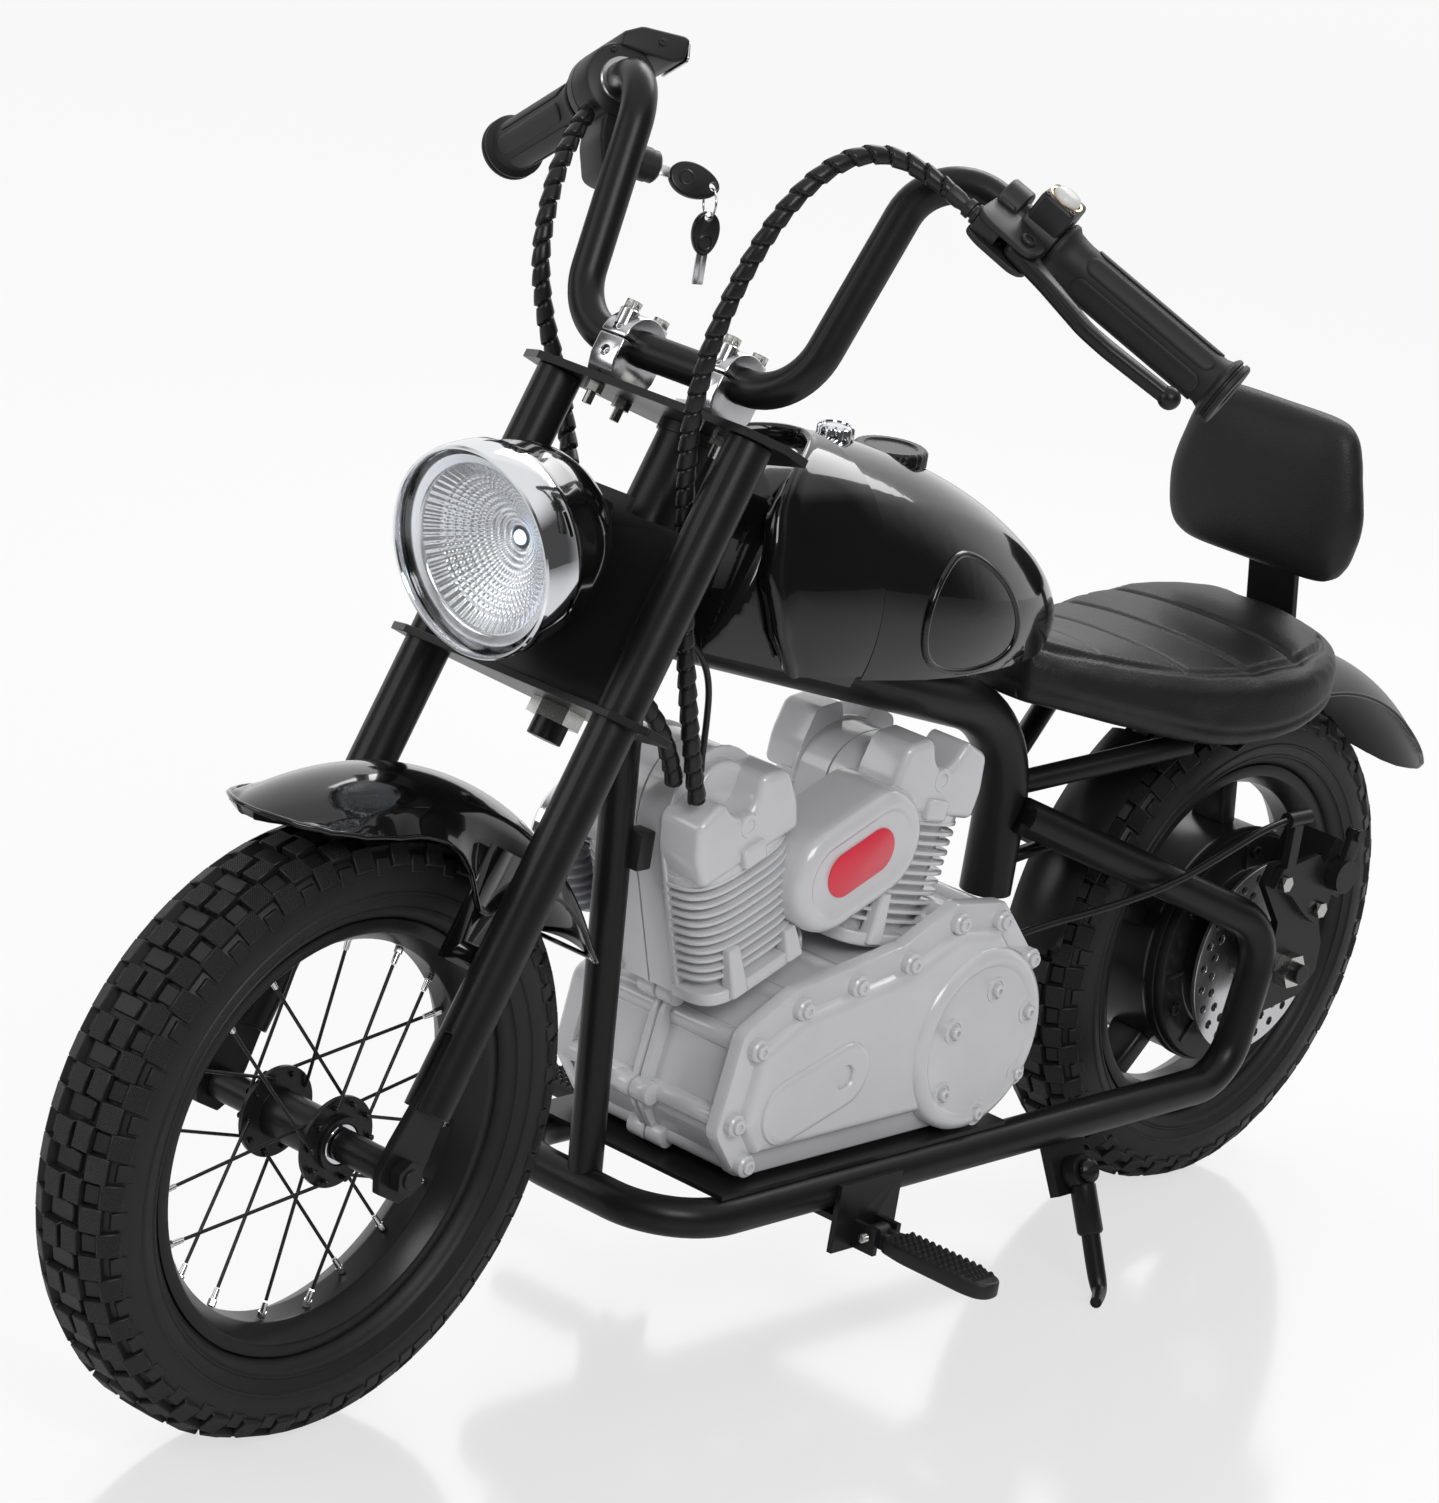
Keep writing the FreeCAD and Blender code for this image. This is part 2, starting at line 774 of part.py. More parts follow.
head_high = "top_plate_at - run_gap - head_bearing_height - weld_gap"
turned(
    "head_tube",
    "Z",
    [
        (head_low, "head_bore"),
        (head_low, "head_radius"),
        (head_high, "head_radius"),
        (head_high, "head_bore"),
    ],
    fork,
)
bearing_low = dim.low_plate_at + dim.plate_thick + dim.run_gap
bearing_high = dim.top_plate_at - dim.run_gap
head_rings = [
    tube(
        Vector(0, 0, start),
        Vector(0, 0, start + dim.head_bearing_height),
        dim.head_radius + 1.5,
        dim.stem_radius + dim.run_gap,
    )
    for start in (bearing_low, bearing_high - dim.head_bearing_height)
]
node("head_bearings", Part.makeCompound(head_rings), fork)

# Handlebar and its clamps
bar_points = []
for side in (-1, 1):
    low, corner, start, end, outward = bar_corners(side)
    bar_points += [end, corner, low] if side < 0 else [low, corner, end]
bar_bends = [dim.bar_top_bend, dim.bar_low_bend, dim.bar_low_bend, dim.bar_top_bend]
node("handlebar", bent_bar(bar_points, bar_bends, dim.bar_radius), fork)

clamp_floor = dim.top_plate_at + dim.plate_thick + dim.weld_gap
clamp_halves = []
fork_bolts = []
for side in (1, -1):
    near = side * dim.clamp_half_spacing - dim.clamp_width / 2
    far = near + dim.clamp_width
    front = dim.bar_forward + dim.clamp_radius
    back = dim.bar_forward - dim.clamp_radius
    hole = rod(
        Vector(dim.bar_forward, near - 1, bar_rise),
        Vector(dim.bar_forward, far + 1, bar_rise),
        dim.bar_radius + dim.bore_gap,
    )
    bolt_holes = []
    for reach in (back + 3, front - 3):
        spot = Vector(reach, side * dim.clamp_half_spacing, 0)
        bolt_holes.append(rod(spot + z_axis * dim.leg_bottom, spot + z_axis * (bar_rise + 200), 3.2))
        foot = spot + z_axis * (dim.top_plate_at - 14)
        crown = spot + z_axis * (bar_rise + dim.clamp_radius + dim.weld_gap)
        shank = rod(foot, crown + z_axis * 0.1, 3.0)
        cap = rod(crown, crown + z_axis * 5, 5.0)
        fork_bolts.append(joined([shank, cap]))
        nut = hexagon(spot + z_axis * (dim.top_plate_at - 6 - dim.weld_gap), z_axis, 10, 6)
        fork_bolts.append(nut.cut(rod(foot, crown, 3.05)))
    lower = block(back - 3, front + 3, near, far, clamp_floor, bar_rise - 1)
    upper = block(back - 3, front + 3, near, far, bar_rise + 1, bar_rise + dim.clamp_radius)
    for half in (lower, upper):
        clamp_halves.append(half.cut(hole).cut(bolt_holes[0]).cut(bolt_holes[1]))
node("bar_clamps", Part.makeCompound(clamp_halves), fork)

# Fasteners of the fork: stem nuts, axle nuts and the clamp bolts
stem_nut = hexagon(Vector(0, 0, dim.low_plate_at - 10 - dim.weld_gap), z_axis, 30, 10)
top_nut = hexagon(Vector(0, 0, dim.top_plate_at + dim.plate_thick + dim.weld_gap), z_axis, 30, 9)
stem_rod = rod(Vector(0, 0, 0), Vector(0, 0, 700), dim.stem_radius + 0.05)
fork_bolts += [stem_nut.cut(stem_rod), top_nut.cut(stem_rod)]
axle_spot = Vector(dim.fork_offset, 0, 0)
axle_face = dim.leg_half_spacing + dim.dropout_thick / 2 + dim.weld_gap
axle_rod = rod(axle_spot - y_axis * 120, axle_spot + y_axis * 120, dim.front_axle_radius + 0.05)
for side in (1, -1):
    nut = hexagon(axle_spot + y_axis * side * axle_face, y_axis * side, 19, 8)
    fork_bolts.append(nut.cut(axle_rod))
node("fork_fasteners", Part.makeCompound(fork_bolts), fork)

# Grips and bar controls
grip_profile = [
    ("grip_start", "bar_radius + bore_gap"),
    ("grip_start", "grip_radius + 3"),
    ("grip_start + 4", "grip_radius + 3"),
    ("grip_start + 4", "grip_radius"),
    ("grip_end - 9", "grip_radius"),
    ("grip_end - 9", "grip_flange_radius"),
    ("grip_end", "grip_flange_radius"),
    ("grip_end", "0"),
    ("grip_end - 3", "0"),
    ("grip_end - 3", "bar_radius + bore_gap"),
]
turned("left_grip", "Z", grip_profile, left_bar)
turned("throttle_grip", "Z", grip_profile, right_bar)

bar_hole = rod(Vector(0, 0, -5), Vector(0, 0, 230), dim.bar_radius + dim.bore_gap)
pivot = Vector(dim.pivot_reach, 0, dim.pivot_at)
half_lever = dim.lever_thick / 2
lug_in = half_lever + dim.run_gap
lug_out = lug_in + 4
perch_ring = rod(Vector(0, 0, dim.perch_start), Vector(0, 0, dim.perch_start + 15), dim.bar_radius + 6)
perch_body = block(8, 38, -lug_out, lug_out, dim.perch_start, dim.perch_start + 18)
lugs = []
for side in (1, -1):
    low, high = sorted((side * lug_in, side * lug_out))
    lugs.append(block(21, 39, low, high, dim.perch_start + 17, dim.pivot_at + 9))
adjuster = rod(Vector(28, 0, dim.perch_start - 22), Vector(28, 0, dim.perch_start + 1), 5.0)
lever_pin = rod(pivot - y_axis * (lug_out + 1.5), pivot + y_axis * (lug_out + 1.5), dim.pivot_radius)
perch = joined([perch_ring, perch_body, adjuster] + lugs + [lever_pin]).cut(bar_hole)
node("lever_perch", perch, lever_frame)

ball = Vector(dim.lever_reach, 0, dim.lever_ball_at)
blade = slab(
    [
        (pivot.x - 7, pivot.z - 9),
        (pivot.x + 7, pivot.z - 9),
        (pivot.x + 13, pivot.z + 22),
        (dim.lever_reach + 10, pivot.z + 60),
        (dim.lever_reach + 5, dim.lever_ball_at),
        (dim.lever_reach - 5, dim.lever_ball_at),
        (dim.lever_reach - 1, pivot.z + 60),
        (pivot.x + 1, pivot.z + 24),
        (pivot.x - 7, pivot.z + 8),
    ],
    -half_lever,
    half_lever,
    2.0,
)
lever_eye = rod(pivot - y_axis * 20, pivot + y_axis * 20, dim.pivot_radius + dim.bore_gap)
lever = joined([blade, Part.makeSphere(dim.lever_ball_radius, ball)]).cut(lever_eye)
node("brake_lever", lever, lever_frame)

# Switch pod on the left, with a push button facing up and forward
button_way = Vector(0.35, -0.94, 0).normalize()
button_turn = Rotation(z_axis.cross(button_way), z_axis, button_way, "ZYX")
button_frame = left_bar.multiply(
    Placement(Vector(0, 0, dim.switch_start + dim.switch_width / 2), button_turn)
)
pod_top = dim.bar_radius + 17
pod_ring = rod(
    Vector(0, 0, dim.switch_start),
    Vector(0, 0, dim.switch_start + dim.switch_width),
    dim.bar_radius + 6,
)
pod_box = moved(
    block(-14, 14, -dim.switch_width / 2, dim.switch_width / 2, 0, pod_top),
    Placement(Vector(0, 0, dim.switch_start + dim.switch_width / 2), button_turn),
)
button_well = moved(
    rod(
        Vector(0, 0, pod_top - dim.button_height + dim.button_travel - 1),
        Vector(0, 0, pod_top + 5),
        dim.button_radius + dim.run_gap,
    ),
    Placement(Vector(0, 0, dim.switch_start + dim.switch_width / 2), button_turn),
)
pod = joined([pod_ring, pod_box]).cut(bar_hole).cut(button_well)
node("switch_pod", pod, left_bar)
button_foot = pod_top - dim.button_height + 2 * dim.button_travel
primitive(
    "Cylinder",
    "horn_button",
    button_frame.multiply(at(0, 0, button_foot)),
    Radius="button_radius",
    Height="button_height",
)
nodes["horn_button"] = doc.getObject("horn_button")

# Throttle housing, display and key switch on the right
housing_end = dim.housing_start + dim.housing_width
housing_ring = rod(Vector(0, 0, dim.housing_start), Vector(0, 0, housing_end), dim.housing_radius)
housing_box = block(-24, 3, -60, -14, dim.housing_start + 2, housing_end - 2)
lock_spot = Vector(-24, -40, dim.housing_start + dim.housing_width / 2)
housing = joined([housing_ring, housing_box]).cut(bar_hole)
node("throttle_housing", housing, right_bar)
display_low = dim.housing_radius + dim.weld_gap
display = block(-38, 6, display_low, display_low + 15, dim.housing_start - 2, housing_end + 1)
display_foot = block(-12, 6, dim.housing_radius - 6, display_low + 1, dim.housing_start + 8, housing_end - 8)
ring_room = rod(
    Vector(0, 0, dim.housing_start - 5),
    Vector(0, 0, housing_end + 5),
    dim.housing_radius + dim.weld_gap,
)
node("display_unit", joined([display, display_foot]).cut(ring_room), right_bar)
lock_back = lock_spot - x_axis * dim.weld_gap
lock_face = lock_back - x_axis * dim.lock_length
node(
    "ignition_lock",
    tube(lock_back, lock_face, dim.lock_radius, dim.lock_plug_radius + dim.bore_gap),
    right_bar,
)
plug_back = lock_back - x_axis * 1
plug_face = lock_face - x_axis * 1
node("lock_plug", rod(plug_back, plug_face, dim.lock_plug_radius), right_bar)
key_turn = Rotation(y_axis * -1, z_axis, x_axis * -1, "ZXY")
key_frame = right_bar.multiply(Placement(plug_face - x_axis * dim.weld_gap, key_turn))
half_key = dim.key_thick / 2
key_neck = block(-3.5, 3.5, -1, 1, 0, 9)
key_head = Part.makeCylinder(dim.key_width / 2, dim.key_thick, Vector(0, half_key, 19), Vector(0, -1, 0))
key_tail = Part.makeCylinder(8, dim.key_thick, Vector(0, half_key, dim.key_length), Vector(0, -1, 0))
key_middle = block(-9, 9, -half_key, half_key, 19, dim.key_length)
ring_hole = rod(Vector(0, -9, dim.key_length + 2), Vector(0, 9, dim.key_length + 2), 4.0)
key = joined([key_neck, key_head, key_middle, key_tail]).cut(ring_hole)
node("ignition_key", key, key_frame)

# Split ring and spare key hanging from the key's hole
hole_centre = key_frame.multVec(Vector(0, 0, dim.key_length + 2))
hole_way = key_frame.Rotation.multVec(y_axis)
hole_way = Vector(hole_way.x, hole_way.y, 0).normalize()
ring_centre = hole_centre - z_axis * (dim.ring_radius + 0.6)
spare_frame = Placement(ring_centre, Rotation(hole_way, z_axis.cross(hole_way), z_axis, "ZXY"))
key_ring = Part.makeTorus(dim.ring_radius, dim.ring_wire, Vector(0, 0, 0), y_axis)
node("key_ring", key_ring, spare_frame)
spare_top = -dim.ring_radius * 2 + 1.8
spare_hole = rod(Vector(-9, 0, spare_top + 8.2), Vector(9, 0, spare_top + 8.2), 2.6)
spare_head = Part.makeCylinder(10, 3, Vector(-1.5, 0, spare_top + 2), x_axis)
spare_blade = block(-1, 1, -4, 4, spare_top - 36, spare_top)
node("spare_key", joined([spare_head, spare_blade]).cut(spare_hole), spare_frame)

# Headlight
turned(
    "headlight_bucket",
    "X",
    [
        ("-8", "lamp_radius - 2.5"),
        ("-8", "lamp_radius"),
        ("-lamp_depth * 0.45", "lamp_radius - 4"),
        ("-lamp_depth * 0.72", "lamp_radius * 0.7"),
        ("-lamp_depth * 0.92", "lamp_radius * 0.4"),
        ("-lamp_depth", "lamp_radius * 0.14"),
        ("-lamp_depth", "0"),
        ("-lamp_depth + 3", "0"),
        ("-lamp_depth * 0.9 + 1", "lamp_radius * 0.4 - 3"),
        ("-lamp_depth * 0.7 + 1", "lamp_radius * 0.7 - 3"),
        ("-lamp_depth * 0.44", "lamp_radius - 7"),
    ],
    lamp,
)
turned(
    "headlight_rim",
    "X",
    [
        ("-10", "lamp_radius + weld_gap"),
        ("-10", "lamp_radius + 2"),
        ("-2", "lamp_rim_radius"),
        ("4", "lamp_rim_radius"),
        ("7", "lamp_rim_radius - 3"),
        ("7", "lens_radius - 1"),
        ("4", "lens_radius - 1"),
        ("4", "lamp_radius - 3"),
        ("-7", "lamp_radius - 3"),
        ("-7", "lamp_radius + weld_gap"),
    ],
    lamp,
)
turned(
    "headlight_lens",
    "X",
    [
        ("0", "0"),
        ("0", "lens_radius"),
        ("4 - weld_gap", "lens_radius"),
        ("4 - weld_gap", "lens_radius - 2.5"),
        ("6", "lens_radius / 2"),
        ("7", "0"),
    ],
    lamp,
)
turned(
    "headlight_reflector",
    "X",
    [
        ("-weld_gap", "lens_radius"),
        ("-3.5", "lens_radius"),
        ("-38", "12"),
        ("-38", "0"),
        ("-36", "0"),
        ("-36", "10"),
        ("-3", "lens_radius - 3"),
        ("-weld_gap", "lens_radius - 2"),
    ],
    lamp,
)
stay_floor = dim.low_plate_at + dim.plate_thick + dim.weld_gap
stay_plate = block(
    dim.fork_offset - 2,
    dim.fork_offset - 2 + dim.stay_thick,
    -dim.stay_half_width,
    dim.stay_half_width,
    stay_floor,
    stay_floor + dim.stay_height,
)
lamp_in_fork = fork.inverse().multiply(lamp)
stud_start = lamp_in_fork.multVec(Vector(-dim.lamp_depth - dim.weld_gap, 0, 0))
stud_way = lamp_in_fork.Rotation.multVec(Vector(-1, 0, 0))
stud_end = stud_start + stud_way * ((stud_start.x - dim.fork_offset) / -stud_way.x)
stay_arm = block(
    dim.fork_offset - 2,
    dim.fork_offset - 2 + dim.stay_thick,
    -16,
    16,
    stay_floor + dim.stay_height - 4,
    stud_end.z + 14,
)
node("headlight_stay", joined([stay_plate, stay_arm, rod(stud_start, stud_end, 8)]), fork)


# Fenders: an arched section swept about an axle
def arched_section(radius, half, drop, thick):
    sweep = (half * half + drop * drop) / (2 * drop)
    centre = radius - sweep
    inner = sweep - thick
    edge = math.asin(half / sweep)

    def spot(reach, turn):
        return Vector(0, reach * math.sin(turn), centre + reach * math.cos(turn))

    outside = Part.Arc(spot(sweep, -edge), spot(sweep, 0), spot(sweep, edge)).toShape()
    inside = Part.Arc(spot(inner, edge), spot(inner, 0), spot(inner, -edge)).toShape()
    right = Part.LineSegment(spot(sweep, edge), spot(inner, edge)).toShape()
    left = Part.LineSegment(spot(inner, -edge), spot(sweep, -edge)).toShape()
    return Part.Face(Part.Wire([outside, right, inside, left]))


# Angles are counted from straight ahead, upward
def arched_shell(radius, half, drop, thick, first, last):
    section = arched_section(radius, half, drop, thick)
    section.rotate(Vector(0, 0, 0), y_axis, 90 - first)
    return section.revolve(Vector(0, 0, 0), y_axis, first - last)


front_arch = arched_shell(
    front_fender_radius,
    dim.front_fender_half,
    dim.front_fender_drop,
    dim.fender_thick,
    dim.front_fender_nose,
    dim.front_fender_tail,
)


# The arch's end narrows to a rounded tip, drawn from above
def pointed_end(tip, half, way):
    reach = [(1.0, 0.16), (-7.0, 0.52), (-21.0, 0.76), (-43.0, 0.94), (-68.0, 1.04), (-500.0, 1.04)]
    near = [Vector(tip + way * back, half * share, -300) for back, share in reach]
    far = [Vector(spot.x, -spot.y, spot.z) for spot in reversed(near)]
    return Part.Face(Part.makePolygon(near + far + near[:1])).extrude(Vector(0, 0, 700))


nose_tip = front_fender_radius * math.cos(math.radians(dim.front_fender_nose))
front_arch = front_arch.common(pointed_end(nose_tip, dim.front_fender_half, 1))
node("front_fender", front_arch, front_wheel)
stay_angle = 116.4
arch_sweep = (dim.front_fender_half ** 2 + dim.front_fender_drop ** 2) / (2 * dim.front_fender_drop)
tab_out = dim.front_fender_half - 1
tab_in = tab_out - 3
arch_inner = arch_sweep - dim.fender_thick
tab_top = front_fender_radius - arch_sweep + math.sqrt(arch_inner ** 2 - tab_out ** 2) - 0.3
bolt_radius = 132.0
fender_stays = []
for side in (1, -1):
    low, high = sorted((side * tab_in, side * tab_out))
    tab = block(-16, 16, low, high, bolt_radius - 9, tab_top)
    boss_end = side * (dim.leg_half_spacing - dim.leg_radius * 0.86)
    boss = rod(Vector(0, side * tab_in, bolt_radius), Vector(0, boss_end, bolt_radius), 6)
    fender_stays.append(moved(joined([tab, boss]), at(0, 0, 0, y_axis, 90 - stay_angle)))
leg_room = []
for side in (1, -1):
    axis_low = front_wheel.inverse().multVec(
        fork.multVec(Vector(dim.fork_offset, side * dim.leg_half_spacing, 0))
    )
    axis_high = front_wheel.inverse().multVec(
        fork.multVec(Vector(dim.fork_offset, side * dim.leg_half_spacing, 400))
    )
    leg_room.append(rod(axis_low, axis_high, dim.leg_radius + dim.weld_gap))
fender_stays = [piece.cut(room) for piece, room in zip(fender_stays, leg_room)]
node("front_fender_stays", Part.makeCompound(fender_stays), front_wheel)

rear_fender_place = at(rear_fender_x, 0, rear_fender_z)
rear_arch = arched_shell(
    rear_fender_radius,
    dim.rear_fender_half,
    dim.rear_fender_drop,
    dim.fender_thick,
    dim.rear_fender_front,
    dim.rear_fender_tip,
)
tail_tip = rear_fender_radius * math.cos(math.radians(dim.rear_fender_tip))
rear_arch = rear_arch.common(pointed_end(tail_tip, dim.rear_fender_half, -1))
node("rear_fender", rear_arch, rear_fender_place)

# Main frame
backbone_slope = (dim.backbone_front_z - dim.backbone_rear_z) / (250 - dim.backbone_rear_x)
head_axis_x = fork_foot.x - (dim.backbone_front_z - fork_foot.z) * math.tan(math.radians(dim.rake))
backbone_points = [
    Vector(head_axis_x, 0, dim.backbone_front_z),
    Vector(dim.backbone_rear_x, 0, dim.backbone_rear_z),
    Vector(dim.backbone_rear_x, 0, dim.seat_tube_end_z),
]
head_room = rod(
    fork.multVec(Vector(0, 0, 250)),
    fork.multVec(Vector(0, 0, 520)),
    dim.head_radius + dim.weld_gap,
)
backbone = bent_bar(backbone_points, [dim.backbone_bend], dim.backbone_radius).cut(head_room)
node("backbone_tube", backbone)
backbone_room = bent_bar(
    [backbone_points[0], backbone_points[1], backbone_points[2] - z_axis * 5],
    [dim.backbone_bend],
    dim.backbone_radius + dim.weld_gap,
)
guard = arched_shell(guard_radius, dim.guard_half, 5.0, dim.fender_thick, 6, 56)
guard_spot = wheel_spot(guard_radius - dim.fender_thick / 2, 29, 0)
seat_tube_spot = rear_wheel.inverse().multVec(Vector(dim.backbone_rear_x, 0, 264))
guard_arm = moved(rod(guard_spot, seat_tube_spot, 5), rear_wheel).cut(backbone_room)
guard_arm = max(guard_arm.Solids, key=lambda solid: solid.Volume)
node("rear_splash_guard", joined([moved(guard, rear_wheel), guard_arm]))


def rail_points(side):
    y = side * dim.rail_half_spacing
    return [
        Vector(dim.backbone_rear_x + 3, side * 22, 306),
        Vector(dim.hoop_top_x, y, dim.hoop_top_z),
        Vector(dim.hoop_low_x, y, dim.rail_z),
        Vector(dim.rail_front_x, y, dim.rail_z),
        Vector(dim.rail_front_x, 0, dim.rail_z),
    ]


rail_bends = [dim.rail_bend, dim.rail_bend, dim.rail_front_bend]
rail_rooms = {}
for side, name in ((1, "left"), (-1, "right")):
    rail = bent_bar(rail_points(side), rail_bends, dim.rail_radius).cut(backbone_room)
    node("side_rail_" + name, rail)
    rail_rooms[side] = bent_bar(rail_points(side), rail_bends, dim.rail_radius + dim.weld_gap)

down_top_z = dim.backbone_front_z - 28 * backbone_slope
down_points = [
    Vector(head_axis_x - 28, 0, down_top_z),
    Vector(dim.down_tube_foot_x, 0, dim.rail_z),
]
down_tube = rod(down_points[0], down_points[1], dim.down_tube_radius)
down_tube = down_tube.cut(backbone_room).cut(head_room).cut(rail_rooms[1]).cut(rail_rooms[-1])
down_tube = max(down_tube.Solids, key=lambda solid: solid.Volume)
node("down_tube", down_tube)

tray_z = dim.rail_z + dim.rail_radius + dim.weld_gap
plate(
    "engine_tray",
    "XY_Plane",
    [
        ("tray_front_x", "-tray_half_width"),
        ("tray_front_x", "tray_half_width"),
        ("tray_rear_x", "tray_half_width"),
        ("tray_rear_x", "-tray_half_width"),
    ],
    [("0", "0", "14"), ("70", "0", "14"), ("-70", "0", "14")],
    "tray_thick",
    at(0, 0, tray_z),
)

strut_bars = []
for side in (1, -1):
    strut = rod(
        Vector(dim.backbone_rear_x, side * 6, 322),
        Vector(-292, side * 58, fender_crown - 32),
        dim.strut_radius,
    )
    other_low, other_high = sorted((0, side * -90))
    strut = strut.cut(backbone_room).cut(block(-400, 100, other_low, other_high, 200, 400))
    strut_bars.append(max(strut.Solids, key=lambda solid: solid.Volume))
node("seat_struts", Part.makeCompound(strut_bars))

plate_in = dim.rail_half_spacing - dim.rear_plate_thick / 2
plate_out = plate_in + dim.rear_plate_thick


# Plate corners are measured from the rear axle
def about_axle(offsets):
    return [(dim.rear_axle_x + x, rear_tyre_radius + z) for x, z in offsets]


plain_outline = about_axle(
    [(18.5, -30), (-23.5, -24), (-39.5, -8), (-39.5, 12), (-25.5, 32), (-3.5, 42), (18.5, 36)]
)
ear_outline = about_axle(
    [
        (18.5, -30),
        (-23.5, -24),
        (-39.5, -8),
        (-39.5, 12),
        (-29.5, 34),
        (-27.5, 50),
        (-13.5, 55),
        (6.5, 60),
        (18.5, 80),
        (36.5, 80),
        (42.5, 66),
        (18.5, 36),
    ]
)
axle_room = rod(
    Vector(dim.rear_axle_x, -120, rear_tyre_radius),
    Vector(dim.rear_axle_x, 120, rear_tyre_radius),
    dim.rear_axle_radius + dim.bore_gap,
)
caliper_bolts = about_axle([(30.5, 69), (-17.5, 43)])


def bolt_rooms(radius):
    return [rod(Vector(x, 60, z), Vector(x, 110, z), radius) for x, z in caliper_bolts]


left_plate = slab(ear_outline, plate_in, plate_out).cut(rail_rooms[1]).cut(axle_room)
for room in bolt_rooms(3.2):
    left_plate = left_plate.cut(room)
node("rear_dropout_left", max(left_plate.Solids, key=lambda solid: solid.Volume))
right_plate = slab(plain_outline, -plate_out, -plate_in).cut(rail_rooms[-1]).cut(axle_room)
node("rear_dropout_right", max(right_plate.Solids, key=lambda solid: solid.Volume))

# Engine block split at the centre plane, hollow for the battery and its controller
case_floor = tray_z + dim.tray_thick + dim.weld_gap
case_outline = [
    (dim.case_front_x - 21, case_floor),
    (dim.case_front_x, 158),
    (dim.case_front_x - 11, 214),
    (dim.case_front_x - 52, dim.case_top_z - 16),
    (-4, dim.case_top_z - 2),
    (-52, dim.case_top_z + 17),
    (dim.case_rear_x + 34, dim.case_top_z + 12),
    (dim.case_rear_x, dim.case_top_z - 23),
    (dim.case_rear_x, 152),
    (dim.case_rear_x + 18, case_floor),
]
crankcase = slab(case_outline, -dim.case_half_width, dim.case_half_width, 8.0)
front_barrel = at(dim.front_barrel_x, 0, dim.barrel_base_z, y_axis, dim.front_lean)
rear_barrel = at(dim.rear_barrel_x, 0, dim.barrel_base_z, y_axis, dim.rear_lean)


# A cylinder: finned barrel, arched band along the middle and a two-humped head on each side
def finned_barrel(place, band_top):
    corners = [(0.0, 20.0), (dim.barrel_radius, 20.0)]
    height = 20.0
    for step in range(int(dim.fin_count)):
        low = height + step * dim.fin_pitch
        corners += [
            (dim.barrel_radius, low),
            (dim.fin_radius, low),
            (dim.fin_radius, low + dim.fin_thick),
            (dim.barrel_radius, low + dim.fin_thick),
        ]
    corners += [(dim.barrel_radius, dim.head_start + 4), (0.0, dim.head_start + 4)]
    spots = []
    for reach, rise in corners:
        spot = Vector(reach, 0, rise)
        if not spots or (spots[-1] - spot).Length > 0.01:
            spots.append(spot)
    turned_barrel = Part.Face(Part.makePolygon(spots + spots[:1])).revolve(Vector(0, 0, 0), z_axis, 360)
    neck = Part.makeCylinder(dim.barrel_radius, 45, Vector(0, 0, -20))
    arch_foot = dim.head_start + 8
    arch = [(dim.band_half_length, 10)]
    for step in range(13):
        turn = math.pi * step / 12
        rise = arch_foot + (band_top - arch_foot) * math.sin(turn)
        arch.append((dim.band_half_length * math.cos(turn), rise))
    arch.append((-dim.band_half_length, 10))
    band = slab(arch, -dim.band_half_width, dim.band_half_width)
    hump = [(44, 0), (46, 20), (41, 44), (18, 51), (10, 36), (0, 30)]
    left_hump = [(-x, z) for x, z in reversed(hump[:-1])]
    head_outline = [(x, dim.head_start + z) for x, z in hump + left_hump]
    heads = []
    for side in (1, -1):
        low, high = sorted((side * (dim.band_half_width - 2), side * dim.head_half_width))
        heads.append(slab(head_outline, low, high, 3.0))
    return moved(joined([turned_barrel, neck, band] + heads), place)


pushrod = slab(
    [
        (-dim.pushrod_length / 2, -dim.pushrod_height / 2),
        (dim.pushrod_length / 2, -dim.pushrod_height / 2),
        (dim.pushrod_length / 2, dim.pushrod_height / 2),
        (-dim.pushrod_length / 2, dim.pushrod_height / 2),
    ],
    20,
    dim.pushrod_face,
    dim.pushrod_height / 2 - 0.5,
)
pushrod = moved(pushrod, at(dim.pushrod_x, 0, dim.pushrod_z, y_axis, dim.pushrod_tilt))
engine = joined(
    [
        crankcase,
        finned_barrel(front_barrel, dim.front_band_top),
        finned_barrel(rear_barrel, dim.rear_band_top),
        pushrod,
    ]
)
hold_rear = dim.case_rear_x + 22
hold_front = dim.case_front_x - 43
hold_floor = case_floor + dim.case_wall
hold_half = dim.case_half_width - dim.case_wall
hold_top = hold_floor + dim.battery_height + 5
hold = block(hold_rear, hold_front, -hold_half, hold_half, hold_floor, hold_top)
spine_room = bent_bar(backbone_points, [dim.backbone_bend], dim.backbone_radius + 2)
engine = engine.cut(hold).cut(spine_room)
seam = dim.bore_gap / 2
for side, name in ((1, "left"), (-1, "right")):
    low, high = sorted((side * seam, side * 200))
    half_case = engine.common(block(-400, 400, low, high, 0, 700))
    node("engine_case_" + name, half_case)

battery_floor = hold_floor + dim.weld_gap
battery_x = hold_rear + 2
node(
    "battery_pack",
    block(
        battery_x,
        battery_x + dim.battery_length,
        dim.battery_shift - dim.battery_width / 2,
        dim.battery_shift + dim.battery_width / 2,
        battery_floor,
        battery_floor + dim.battery_height,
    ),
)
controller_x = battery_x + dim.battery_length + 6
node(
    "motor_controller",
    block(controller_x, controller_x + dim.controller_length, -38, 38, battery_floor, battery_floor + 62),
)

